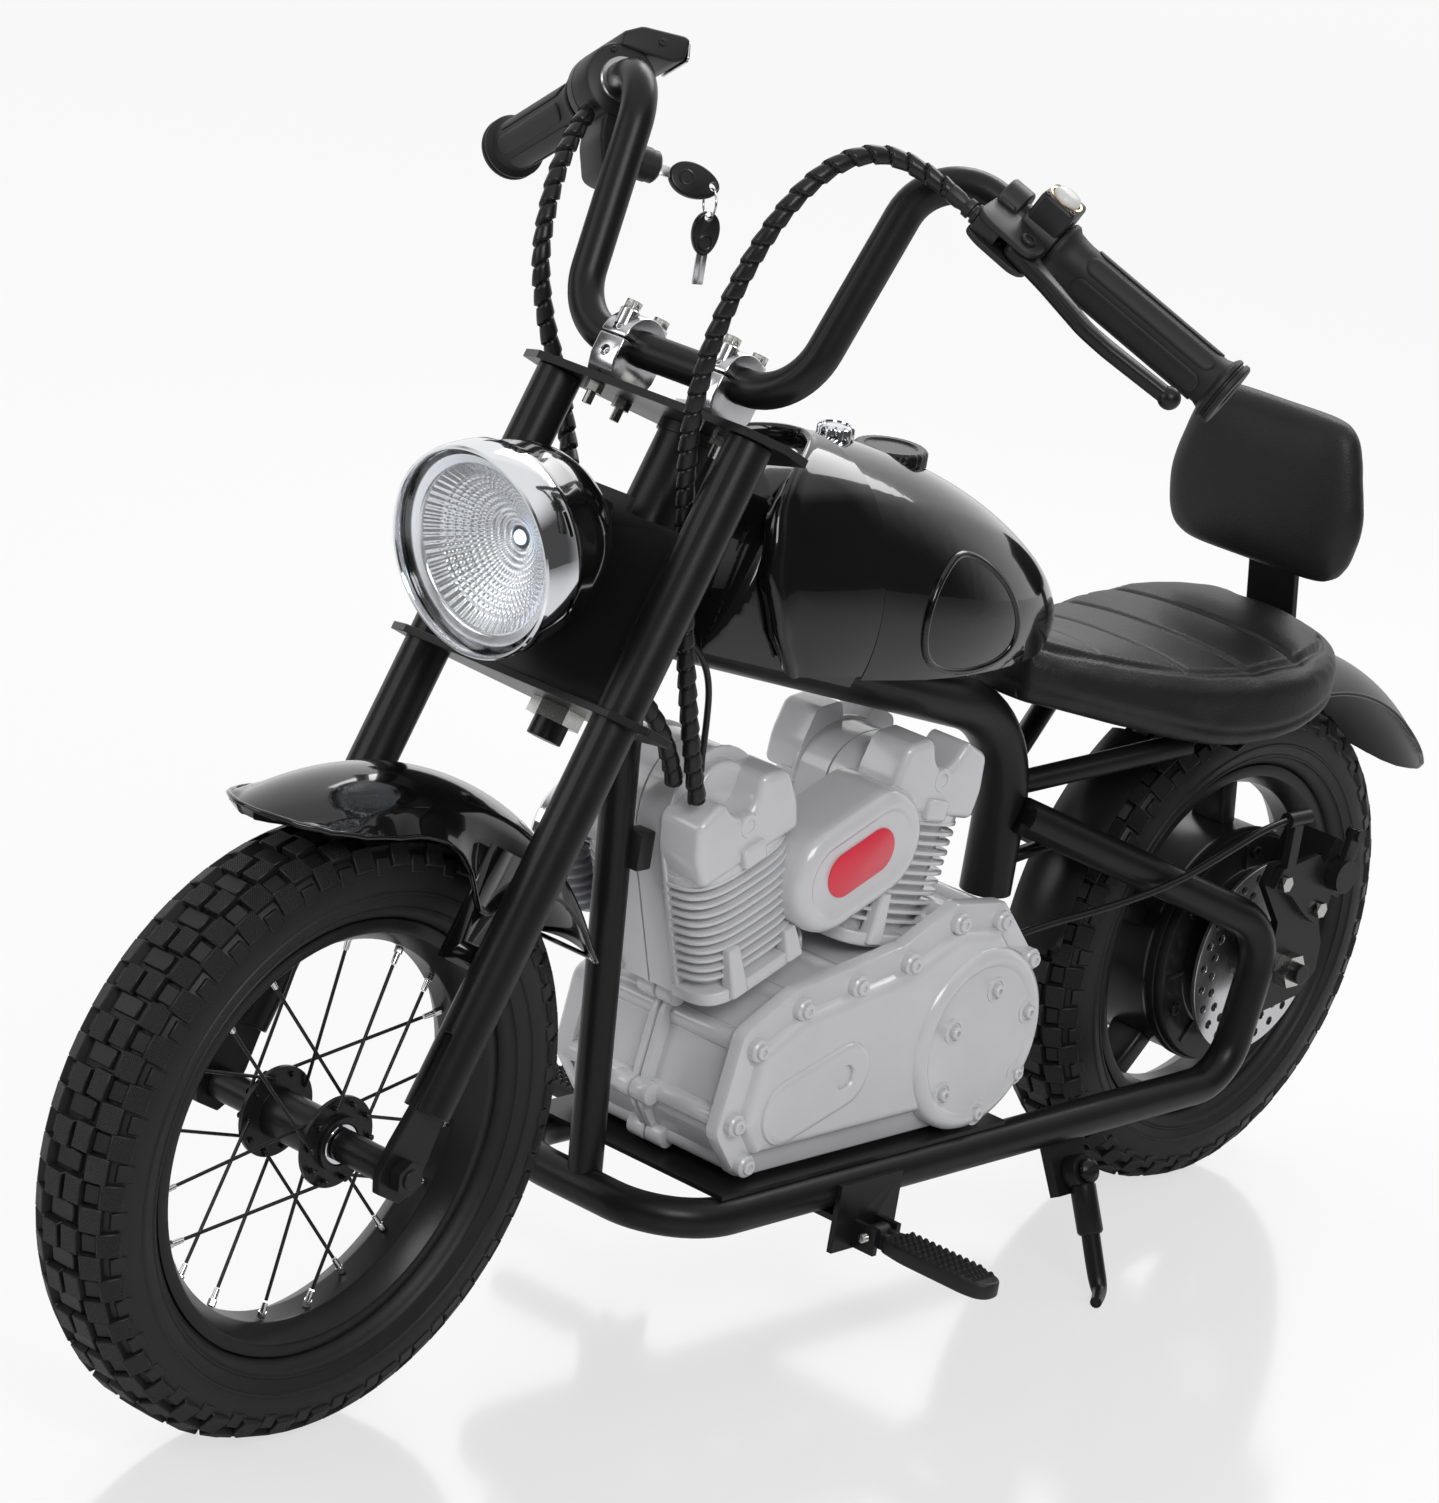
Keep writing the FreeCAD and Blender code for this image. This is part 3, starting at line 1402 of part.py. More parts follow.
# Engine covers
primary_in = dim.case_half_width + dim.weld_gap
primary_out = primary_in + dim.primary_thick
primary_outline = [
    (126, case_floor + 3),
    (152, case_floor + 36),
    (140, 222),
    (96, 244),
    (-4, 258),
    (-54, 279),
    (-104, 273),
    (-142, 232),
    (-142, 150),
    (-118, case_floor + 3),
]
clutch = Part.makeCylinder(
    dim.clutch_radius,
    dim.clutch_thick + 2,
    Vector(dim.clutch_x, primary_out - 2, dim.clutch_z),
    y_axis,
)
oblong = slab([(-50, -22), (50, -22), (50, 22), (-50, 22)], primary_out - 2, primary_out + 4, 20.0)
oblong = moved(oblong, at(72, 0, 174, y_axis, 16))
primary = slab(primary_outline, primary_in, primary_out, 9.0)
node("primary_cover", joined([primary, clutch, oblong]))
boss_spots = [
    (91, 232),
    (40, 239),
    (-10, 246),
    (-54, 267),
    (-98, 262),
    (-135, 230),
    (129, 211),
    (140, 163),
    (124, 133),
]
clutch_spots = [(-95, 217), (-133, 196), (-58, 194), (-57, 151), (-96, 131), (-132, 153)]
primary_face = primary_out + dim.weld_gap
clutch_face = primary_out + dim.clutch_thick + dim.weld_gap
cover_screws = []
for x, z in boss_spots:
    cover_screws.append(rod(Vector(x, primary_face, z), Vector(x, primary_face + 2.5, z), 4.5))
cover_screws += [rod(Vector(x, clutch_face, z), Vector(x, clutch_face + 2, z), 4) for x, z in clutch_spots]
node("engine_screws", Part.makeCompound(cover_screws))

right_outline = [
    (118, case_floor + 4),
    (146, 160),
    (138, 214),
    (90, 240),
    (-100, 246),
    (-128, 226),
    (-128, 140),
    (-110, case_floor + 4),
]
right_plate_cover = slab(right_outline, -primary_out, -primary_in, 9.0)
cam_boss = Part.makeCylinder(46, 6, Vector(70, -primary_out + 2, 178), Vector(0, -1, 0))
node("timing_cover", joined([right_plate_cover, cam_boss]))

cleaner_axis = at(dim.cleaner_x, 0, dim.cleaner_z)
turned(
    "air_cleaner",
    "Y",
    [
        ("-(fin_radius + 6)", "0"),
        ("-(fin_radius + 6)", "cleaner_radius"),
        ("-(fin_radius + 32)", "cleaner_radius"),
        ("-(fin_radius + 39)", "cleaner_radius - 7"),
        ("-(fin_radius + 42)", "0"),
    ],
    cleaner_axis,
)
neck = rod(
    Vector(dim.cleaner_x, -30, dim.cleaner_z),
    Vector(dim.cleaner_x, -(dim.fin_radius + 6) + dim.weld_gap, dim.cleaner_z),
    14,
)
barrel_room = moved(
    rod(Vector(0, 0, 0), Vector(0, 0, 200), dim.fin_radius + dim.weld_gap),
    front_barrel,
)
head_room_block = moved(block(-60, 60, -60, 60, dim.head_start - 1, 200), front_barrel)
neck = neck.cut(barrel_room).cut(head_room_block)
node("cleaner_neck", max(neck.Solids, key=lambda solid: solid.Volume))


# Tank: side walls, crown and tail as a loft of arched sections, open underneath
def arched_wire(x, floor, crown, half, foot):
    shoulder = floor + (crown - floor) * 0.62
    left_foot = Vector(x, -foot, floor)
    right_foot = Vector(x, foot, floor)
    right_top = Vector(x, half * 0.72, shoulder + (crown - shoulder) * 0.55)
    left_top = Vector(x, -half * 0.72, right_top.z)
    right_side = Vector(x, half, floor + (crown - floor) * 0.38)
    left_side = Vector(x, -half, right_side.z)
    return Part.Wire(
        [
            Part.LineSegment(left_foot, right_foot).toShape(),
            Part.Arc(right_foot, right_side, right_top).toShape(),
            Part.Arc(right_top, Vector(x, 0, crown), left_top).toShape(),
            Part.Arc(left_top, left_side, left_foot).toShape(),
        ]
    )


tank_drop = dim.tank_top_z - dim.tank_bottom_z
tank_length = dim.tank_seam_x - dim.tank_tail_x
tank_rows = [
    (0.0, 6.0, 0.99, 0.94),
    (0.29, 0.0, 0.885, 1.0),
    (0.59, -2.0, 0.715, 0.94),
    (0.82, -2.0, 0.515, 0.74),
    (1.0, 4.0, 0.285, 0.42),
]


def tank_loft(inset, ahead, below):
    wires = []
    for part_way, lift, height, width in tank_rows:
        x = dim.tank_seam_x - tank_length * part_way
        if part_way == 0.0:
            x += ahead
        if part_way == 1.0:
            x += inset
        floor = dim.tank_bottom_z + lift
        half = dim.tank_half_width * width - inset
        wires.append(
            arched_wire(x, floor - below, dim.tank_bottom_z + tank_drop * height - inset, half, half * 0.84)
        )
    return Part.makeLoft(wires, True, False)


tank_shell = tank_loft(0.0, 0.0, 0.0).cut(tank_loft(dim.tank_wall, 1.0, 8.0))

panel_rows = [(84.0, 8.0, 0.955, 0.94), (140.0, 18.0, 0.93, 0.80), (215.0, 40.0, 0.84, 0.56)]


def panel_loft(inset, behind, below):
    wires = []
    for x, lift, height, width in panel_rows:
        floor = dim.tank_bottom_z + lift
        half = dim.tank_half_width * width - dim.panel_recess - inset
        wires.append(
            arched_wire(
                x - (behind if x < 100 else 0),
                floor - below,
                dim.tank_bottom_z + tank_drop * height - inset,
                half,
                half * 0.84,
            )
        )
    return Part.makeLoft(wires, True, False)


nose_room = moved(block(-dim.panel_gap, 200, -200, 200, 0, 800), fork)
nose_inner = moved(block(-dim.panel_gap - dim.tank_wall, 200, -200, 200, 0, 800), fork)
panel_hollow = panel_loft(dim.tank_wall, 4.0, 8.0).cut(nose_inner)
tank_panel = panel_loft(0.0, 0.0, 0.0).cut(nose_room).cut(panel_hollow).cut(backbone_room)
node("tank_front_panel", max(tank_panel.Solids, key=lambda solid: solid.Volume))

cap_holes = []
for spot, radius in ((dim.small_cap_x, dim.small_cap_radius), (dim.big_cap_x, dim.big_cap_radius)):
    low = Vector(spot, 0, (dim.tank_bottom_z + dim.tank_top_z) / 2)
    cap_holes.append(rod(low, Vector(spot, 0, dim.tank_top_z + 60), radius + dim.weld_gap))
node("tank_shell", tank_shell.cut(cap_holes[0]).cut(cap_holes[1]))

strap_x = 20.0
strap_z = dim.backbone_front_z - (head_axis_x - strap_x) * backbone_slope + dim.backbone_radius + 2
strap = block(strap_x - 12, strap_x + 12, -90, 90, strap_z, strap_z + 3)
saddle = block(strap_x - 12, strap_x + 12, -12, 12, strap_z - 8, strap_z + 1)
strap_room = tank_loft(dim.tank_wall + dim.weld_gap, 1.0, 8.0)
node("tank_bracket", joined([strap.common(strap_room), saddle]).cut(backbone_room))


def crown_height(x, y):
    ray = Part.makeLine(Vector(x, y, dim.tank_bottom_z - 60), Vector(x, y, dim.tank_top_z + 60))
    met = tank_shell.common(ray)
    return met.BoundBox.ZMax


cap_rise = crown_height(dim.small_cap_x, 0)
turned(
    "breather_cap",
    "Z",
    [
        ("0", "0"),
        ("0", "small_cap_radius"),
        ("7", "small_cap_radius"),
        ("11", "small_cap_radius - 4"),
        ("12", "0"),
    ],
    at(dim.small_cap_x, 0, cap_rise - 4),
)
turned(
    "filler_cap",
    "Z",
    [
        ("0", "0"),
        ("0", "big_cap_radius"),
        ("6", "big_cap_radius"),
        ("9", "big_cap_radius - 3"),
        ("11", "0"),
    ],
    at(dim.big_cap_x, 0, crown_height(dim.big_cap_x, 0) - 6),
)

# Seat pan, cushion and backrest
seat_length = dim.seat_nose_x - dim.seat_tail_x
# Share of the length, floor and rim over the rear fender's crown, share of the width
seat_rows = [
    (0.0, 5.0, 39.0, 0.27),
    (0.08, 1.0, 32.0, 0.45),
    (0.27, -12.0, 21.0, 0.68),
    (0.48, -24.0, 14.0, 0.92),
    (0.68, -22.0, 17.0, 1.0),
    (0.86, -11.0, 20.0, 0.92),
    (1.0, 3.0, 21.0, 0.58),
]
seam_places = [0.36, 0.54, 0.73]


def seat_at(part_way):
    for before, after in zip(seat_rows, seat_rows[1:]):
        if before[0] <= part_way <= after[0]:
            mix = (part_way - before[0]) / (after[0] - before[0])
            floor, rim, width = [a + (b - a) * mix for a, b in zip(before[1:], after[1:])]
            return fender_crown + floor, fender_crown + rim, width


def seat_wire(part_way, low_lift, crown):
    floor, rim, width = seat_at(part_way)
    x = dim.seat_nose_x - seat_length * part_way
    half = dim.seat_half_width * width
    foot = half - 4
    low = floor + low_lift
    right_foot = Vector(x, foot, low)
    left_foot = Vector(x, -foot, low)
    right_rim = Vector(x, half - 5, rim)
    left_rim = Vector(x, 5 - half, rim)
    middle = (low + rim) / 2
    return Part.Wire(
        [
            Part.LineSegment(left_foot, right_foot).toShape(),
            Part.Arc(right_foot, Vector(x, half, middle), right_rim).toShape(),
            Part.Arc(right_rim, Vector(x, 0, rim + crown), left_rim).toShape(),
            Part.Arc(left_rim, Vector(x, -half, middle), left_foot).toShape(),
        ]
    )


seam_step = dim.seam_width / 2 / seat_length
stations = {row[0]: dim.seat_crown for row in seat_rows}
stations[0.0] = dim.seat_crown * 0.5
stations[1.0] = dim.seat_crown * 0.6
for seam_place in seam_places:
    stations[seam_place - seam_step] = dim.seat_crown
    stations[seam_place] = dim.seat_crown - dim.seam_depth
    stations[seam_place + seam_step] = dim.seat_crown
cushion_wires = [
    seat_wire(place, dim.pan_thick + dim.weld_gap, stations[place]) for place in sorted(stations)
]
fender_room = rod(
    Vector(rear_fender_x, -56, rear_fender_z),
    Vector(rear_fender_x, 56, rear_fender_z),
    rear_fender_radius + dim.weld_gap,
)
seat_cushion = Part.makeLoft(cushion_wires, True, True).cut(fender_room)
node("seat_cushion", seat_cushion)


def pan_wire(part_way):
    floor, rim, width = seat_at(part_way)
    x = dim.seat_nose_x - seat_length * part_way
    half = dim.seat_half_width * width - dim.pan_inset
    corners = [
        Vector(x, -half, floor),
        Vector(x, half, floor),
        Vector(x, half, floor + dim.pan_thick),
        Vector(x, -half, floor + dim.pan_thick),
    ]
    return Part.makePolygon(corners + corners[:1])


seat_pan = Part.makeLoft([pan_wire(row[0]) for row in seat_rows], True, True).cut(fender_room)
strut_rooms = [
    rod(
        Vector(dim.backbone_rear_x, side * 6, 322),
        Vector(-292, side * 58, fender_crown - 32),
        dim.strut_radius + dim.weld_gap,
    )
    for side in (1, -1)
]
for room in strut_rooms:
    seat_pan = seat_pan.cut(room)
node("seat_pan", seat_pan)


# Rounded four-sided outline across the bike, wider at the bottom or the top
def pad_wire(x, bottom_half, middle_half, top_half, low, high, corner):
    waist = low + (high - low) * 0.42
    points = [
        Vector(x, -bottom_half, low),
        Vector(x, bottom_half, low),
        Vector(x, middle_half, waist),
        Vector(x, top_half, high),
        Vector(x, -top_half, high),
        Vector(x, -middle_half, waist),
    ]
    bends = [corner, corner, 60, corner, corner, 60]
    edges = []
    tangents = []
    for index, point in enumerate(points):
        before = points[index - 1]
        after = points[(index + 1) % 6]
        arriving = (point - before).normalize()
        leaving = (after - point).normalize()
        half_turn = arriving.getAngle(leaving) / 2
        reach = bends[index] * math.tan(half_turn)
        inward = (leaving - arriving).normalize()
        middle = point + inward * (bends[index] / math.cos(half_turn) - bends[index])
        tangents.append((point - arriving * reach, middle, point + leaving * reach))
    for index, (first, middle, last) in enumerate(tangents):
        edges.append(Part.Arc(first, middle, last).toShape())
        edges.append(Part.LineSegment(last, tangents[(index + 1) % 6][0]).toShape())
    return Part.Wire(edges)


pad_bottom_z = fender_crown + dim.pad_stand
pad_top_z = pad_bottom_z + dim.pad_height
pad_rows = [(0.0, 9.0, 14.0), (0.28, 0.0, 22.0), (0.62, 0.0, 22.0), (0.86, 6.0, 18.0), (1.0, 17.0, 12.0)]
pad_wires = []
for part_way, inset, corner in pad_rows:
    pad_wires.append(
        pad_wire(
            dim.pad_back_x + dim.pad_thick * part_way,
            dim.pad_half_width - 8 - inset,
            dim.pad_half_width - inset,
            dim.pad_half_width - 18 - inset,
            pad_bottom_z + inset,
            pad_top_z - inset,
            corner,
        )
    )
node("backrest_pad", Part.makeLoft(pad_wires, True, True))
post_front = dim.pad_back_x - dim.weld_gap
fender_top = fender_crown + dim.weld_gap
post_outline = [
    (post_front - 50, fender_top),
    (post_front - 16, fender_top),
    (post_front - 16, fender_top + 8),
    (post_front, pad_bottom_z + 24),
    (post_front, pad_top_z - 34),
    (post_front - dim.post_thick, pad_top_z - 34),
    (post_front - dim.post_thick, pad_bottom_z + 25),
    (post_front - 16 - dim.post_thick, fender_top + 9),
    (post_front - 16 - dim.post_thick, fender_top + 5),
    (post_front - 50, fender_top + 5),
]
node("backrest_post", slab(post_outline, -dim.post_half_width, dim.post_half_width))

# Rear wheel with the motor in its hub
rear_sizes = (dim.rear_rim_radius, dim.rear_tyre_section, dim.rear_tyre_width)
node("rear_tyre", tyre_solid(*rear_sizes), rear_wheel)
node("rear_inner_tube", inner_tube(*rear_sizes), rear_wheel)
half_rim = dim.rim_width / 2
lip = dim.rear_rim_radius
rim_profile = [
    (half_rim, lip),
    (half_rim - dim.rim_lip, lip),
    (half_rim - dim.rim_lip, lip - dim.bead_drop),
    (dim.rim_well, lip - dim.bead_drop - 4),
    (-dim.rim_well, lip - dim.bead_drop - 4),
    (dim.rim_lip - half_rim, lip - dim.bead_drop),
    (dim.rim_lip - half_rim, lip),
    (-half_rim, lip),
    (-half_rim, lip - 8),
    (-dim.rim_well, lip - dim.rim_depth),
    (dim.rim_well, lip - dim.rim_depth),
    (half_rim, lip - 8),
]
rim_spots = [Vector(0, along, radius) for along, radius in rim_profile]
casting = [Part.Face(Part.makePolygon(rim_spots + rim_spots[:1])).revolve(Vector(0, 0, 0), y_axis, 360)]
drum_bore = dim.drum_radius - dim.drum_wall
casting.append(tube(Vector(0, -dim.drum_half, 0), Vector(0, dim.drum_half, 0), dim.drum_radius, drum_bore))
for step in range(int(dim.rear_spoke_count)):
    arm = block(
        dim.drum_radius - 3,
        lip - dim.rim_depth + 4,
        -13,
        13,
        -dim.rear_spoke_width / 2,
        dim.rear_spoke_width / 2,
    )
    casting.append(moved(arm, at(0, 0, 0, y_axis, 18 + step * 360 / dim.rear_spoke_count)))
node("rear_wheel_casting", joined(casting), rear_wheel)

cover_in = "drum_half + weld_gap"
cover_out = "drum_half + weld_gap + cover_thick"
boss_out = "disc_face - weld_gap"
bearing_bore = "rear_bearing_radius + weld_gap"
left_cover = turned(
    "motor_cover_left",
    "Y",
    [
        (cover_in, "rear_axle_radius + 3"),
        (cover_in, "drum_radius - 1"),
        (cover_out, "drum_radius - 3"),
        (cover_out, "32"),
        (boss_out, "29"),
        (boss_out, bearing_bore),
        (cover_out + " + 4", bearing_bore),
        (cover_out + " + 4", "rear_axle_radius + 3"),
    ],
    rear_wheel,
)
right_cover = turned(
    "motor_cover_right",
    "Y",
    [
        ("-(" + cover_in + ")", "rear_axle_radius + 3"),
        ("-(" + cover_in + ")", "drum_radius - 1"),
        ("-(" + cover_out + ")", "drum_radius - 3"),
        ("-(" + cover_out + ")", "34"),
        ("-(" + boss_out + ")", "26"),
        ("-(" + boss_out + ")", bearing_bore),
        ("-(" + cover_out + " + 4)", bearing_bore),
        ("-(" + cover_out + " + 4)", "rear_axle_radius + 3"),
    ],
    rear_wheel,
)
disc = turned(
    "brake_disc",
    "Y",
    [
        ("disc_face", "rear_bearing_radius + 2"),
        ("disc_face", "disc_radius"),
        ("disc_face + disc_thick", "disc_radius"),
        ("disc_face + disc_thick", "rear_bearing_radius + 2"),
    ],
    rear_wheel,
)
ring_of_holes(disc, "XZ_Plane", "Y_Axis", "disc_radius - 8", "0", "3.2", "24")
ring_of_holes(disc, "XZ_Plane", "Y_Axis", "disc_radius - 19", "6.6", "3.2", "24")
rear_rings = []
bearing_start = dim.drum_half + dim.weld_gap + dim.cover_thick + 4.5
for side in (1, -1):
    rear_rings.append(
        tube(
            Vector(0, side * bearing_start, 0),
            Vector(0, side * (bearing_start + 10), 0),
            dim.rear_bearing_radius,
            dim.rear_axle_radius + dim.bore_gap,
        )
    )
node("rear_bearings", Part.makeCompound(rear_rings), rear_wheel)
screw_face = dim.drum_half + dim.weld_gap + dim.cover_thick + dim.weld_gap
wheel_screws = []
for step in range(6):
    for side in (1, -1):
        foot = wheel_spot(dim.drum_radius - 14, 30 + step * 60, side * screw_face)
        wheel_screws.append(rod(foot, foot + y_axis * side * 2.5, 4.5))
for step in range(5):
    foot = wheel_spot(23.5, 18 + step * 72, dim.disc_face + dim.disc_thick + dim.weld_gap)
    wheel_screws.append(rod(foot, foot + y_axis * 3, 3.5))
node("wheel_screws", Part.makeCompound(wheel_screws), rear_wheel)

primitive(
    "Cylinder",
    "rear_axle",
    rear_wheel.multiply(at(0, -dim.rear_axle_half, 0, x_axis, -90)),
    Radius="rear_axle_radius",
    Height="2 * rear_axle_half",
)
nodes["rear_axle"] = doc.getObject("rear_axle")
stator = tube(
    Vector(0, -dim.stator_half, 0),
    Vector(0, dim.stator_half, 0),
    dim.stator_radius,
    dim.rear_axle_radius + dim.weld_gap,
)
for step in range(12):
    slot = block(dim.stator_radius - 22, dim.stator_radius + 5, -40, 40, -4, 4)
    stator = stator.cut(moved(slot, at(0, 0, 0, y_axis, step * 30)))
node("motor_stator", stator, rear_wheel)
spacer_start = dim.disc_face + dim.disc_thick + 3.5 + dim.run_gap
rear_spacers = [
    tube(
        Vector(0, spacer_start, 0),
        Vector(0, plate_in - dim.weld_gap, 0),
        12,
        dim.rear_axle_radius + dim.bore_gap,
    ),
    tube(
        Vector(0, -(dim.disc_face + dim.run_gap), 0),
        Vector(0, -(plate_in - dim.weld_gap), 0),
        12,
        dim.rear_axle_radius + dim.bore_gap,
    ),
]
node("rear_spacers", Part.makeCompound(rear_spacers), rear_wheel)

# Rear brake: caliper astride the disc, its arm and the cable
caliper_turn = 24.0
caliper_place = rear_wheel.multiply(at(0, 0, 0, y_axis, -caliper_turn))
flange_in_y = plate_out + dim.weld_gap
flange_out_y = flange_in_y + 6
slot_low = dim.disc_face - 0.8
slot_high = dim.disc_face + dim.disc_thick + 0.8
caliper_block = block(-17, 17, dim.disc_face - 9, flange_out_y, 60, 96)
caliper_block = caliper_block.cut(block(-30, 30, slot_low, slot_high, 40, dim.disc_radius + 3))
flange_outline = about_axle(
    [(40.5, 66), (32.5, 79), (-7.5, 84), (-31.5, 60), (-29.5, 40), (-17.5, 32), (-3.5, 40), (18.5, 58)]
)
flange = slab(flange_outline, flange_in_y, flange_out_y)
cable_stop = Vector(dim.rear_axle_x + 24.5, flange_out_y - 3, rear_tyre_radius + 114)
stop_post = block(
    cable_stop.x - 5,
    cable_stop.x + 5,
    flange_out_y - 6,
    flange_out_y,
    cable_stop.z - 44,
    cable_stop.z + 2,
)
stop_barrel = rod(cable_stop + x_axis * 12, cable_stop - x_axis * 12, 5.5)
caliper = joined([moved(caliper_block, caliper_place), flange, stop_post, stop_barrel])
caliper = caliper.cut(rod(cable_stop - x_axis * 40, cable_stop + x_axis * 40, 1.2))
for room in bolt_rooms(3.2):
    caliper = caliper.cut(room)
node("brake_caliper", caliper)

arm_centre = caliper_place.multVec(Vector(0, 0, 74))
arm_in = flange_out_y + dim.run_gap
arm_root = Vector(arm_centre.x, arm_in, arm_centre.z)
arm_boss = rod(arm_root, arm_root + y_axis * 10, 12)
arm_bar = block(-6, 6, arm_in + 3, arm_in + 8, 0, 34)
arm_bar = moved(arm_bar, at(arm_centre.x, 0, arm_centre.z, y_axis, -12))
arm_tip = at(arm_centre.x, 0, arm_centre.z, y_axis, -12).multVec(Vector(0, arm_in + 5.5, 30))
arm_clamp = rod(arm_tip - y_axis * 5, arm_tip + y_axis * 6, 4.5)
node("caliper_arm", joined([arm_boss, arm_bar, arm_clamp]))

frame_bolts = []
for x, z in caliper_bolts:
    shank = rod(Vector(x, plate_in - 1, z), Vector(x, flange_out_y + 0.4, z), 3.0)
    crown = hexagon(Vector(x, flange_out_y + dim.weld_gap, z), y_axis, 10, 4)
    frame_bolts.append(joined([shank, crown]))
for side in (1, -1):
    face = Vector(dim.rear_axle_x, side * (plate_out + dim.weld_gap), rear_tyre_radius)
    nut = hexagon(face, y_axis * side, 22, 9)
    frame_bolts.append(nut.cut(rod(face - y_axis * 40, face + y_axis * 40, dim.rear_axle_radius + 0.05)))


# Cord routes: each corner rounded as far as its shorter neighbour allows
def cord_bends(points):
    bends = []
    for before, corner, after in zip(points, points[1:], points[2:]):
        arriving = corner - before
        leaving = after - corner
        half_turn = arriving.getAngle(leaving) / 2
        bends.append(0.45 * min(arriving.Length, leaving.Length) / math.tan(half_turn))
    return bends


def cord(label, points, radius):
    bends = cord_bends(points)
    wire = bent_wire(points, bends)
    solid = bar_along(wire, radius, points[0], points[1])
    ideal = math.pi * radius ** 2 * wire.Length
    print(label, "length", round(wire.Length, 1), "volume ratio", round(solid.Volume / ideal, 4))
    print(label, "bend radii", [round(bend) for bend in bends])
    return node(label, solid)


cord(
    "brake_cable",
    [
        Vector(dim.case_rear_x - 1, 36, 222),
        Vector(-180, 40, 232),
        Vector(-236, 52, 240),
        Vector(-290, 70, 257),
        Vector(-338, 82, 282),
        cable_stop + Vector(36, -1, -3),
        cable_stop + Vector(12.6, 0, 0),
    ],
    dim.cable_radius,
)

left_route = [
    lever_frame.multVec(Vector(28, 0, dim.perch_start - 22 - dim.weld_gap)),
    lever_frame.multVec(Vector(28, 0, dim.perch_start - 54)),
    Vector(213, 98, 788),
    Vector(242, 86, 762),
    Vector(260, 74, 718),
    Vector(268, 63, 668),
    Vector(266, 56, 618),
    Vector(255, 52, 572),
    Vector(244, 51, 530),
    Vector(234, 50, 490),
    Vector(222, 50, 447),
    Vector(206, 49, 402),
    Vector(193, 47, 374),
]
cord("left_cable_wrap", left_route, dim.wrap_radius)
right_route = [
    right_bar.multVec(Vector(14.1, -22.6, dim.housing_start + 10)),
    Vector(178, -150, 731),
    Vector(200, -138, 703),
    Vector(210, -130, 666),
    Vector(203, -124, 628),
    Vector(192, -114, 592),
    Vector(196, -96, 558),
    Vector(216, -70, 534),
    fork.multVec(Vector(30, -34, 352)),
    fork.multVec(Vector(30, 6, 330)),
    fork.multVec(Vector(4, 40, 318)),
    Vector(224, 42, 418),
    Vector(204, 36, 384),
]
cord("right_cable_wrap", right_route, dim.wrap_radius)

# Stand and footpegs
stand = at(dim.stand_x, dim.stand_pivot_y, dim.stand_pivot_z, x_axis, dim.stand_lean)
stand_bore = rod(Vector(0, -20, 0), Vector(0, 30, 0), 5 + dim.bore_gap)
stand_plate = moved(block(-18, 18, -8, 0, -13, 30).cut(stand_bore), stand).cut(rail_rooms[1])
node("kickstand_bracket", max(stand_plate.Solids, key=lambda solid: solid.Volume))
stand_reach = (dim.stand_pivot_z + 6 * math.sin(math.radians(dim.stand_lean))) / math.cos(
    math.radians(dim.stand_lean)
)
stand_boss = rod(Vector(0, dim.run_gap, 0), Vector(0, 12, 0), 12).cut(stand_bore)
stand_bar = rod(Vector(1, 7.5, -10), Vector(6, 7.5, 4 - stand_reach), dim.stand_radius)
stand_foot = stand.multVec(Vector(6, 6, -stand_reach))
foot_pad = block(stand_foot.x - 17, stand_foot.x + 17, stand_foot.y - 11, stand_foot.y + 11, 0, 8)
stand_leg = joined([moved(joined([stand_boss, stand_bar]), stand), foot_pad])
node("kickstand_leg", stand_leg.common(block(-400, 0, 0, 300, 0, 300)))
stand_shank = rod(Vector(0, -7, 0), Vector(0, 12.5, 0), 4.9)
stand_bolt = joined([stand_shank, rod(Vector(0, 12.3, 0), Vector(0, 17, 0), 8)])
frame_bolts.append(moved(stand_bolt, stand))
print("stand foot", stand_foot, "stand pivot", stand.Base)

bracket_face = dim.rail_half_spacing + dim.rail_radius + dim.weld_gap
flange_face = bracket_face + 4
lug_gap = dim.peg_width / 2 - 5


def peg_bracket_solid():
    flange_plate = block(dim.peg_x - 30, dim.peg_x + 30, bracket_face, flange_face, 66, dim.rail_z + 8)
    under = block(
        dim.peg_x - 30,
        dim.peg_x + 30,
        dim.rail_half_spacing - 8,
        flange_face,
        dim.rail_z - dim.rail_radius - dim.weld_gap - 4,
        dim.rail_z - dim.rail_radius - dim.weld_gap,
    )
    ears = []
    for ear_side in (1, -1):
        near = dim.peg_x + ear_side * (lug_gap + dim.run_gap)
        far = near + ear_side * 4
        ears.append(
            block(
                min(near, far),
                max(near, far),
                flange_face - 1,
                dim.peg_pivot_out + 8,
                dim.peg_z - 10,
                dim.peg_z + 8,
            )
        )
    return joined([flange_plate, under] + ears)


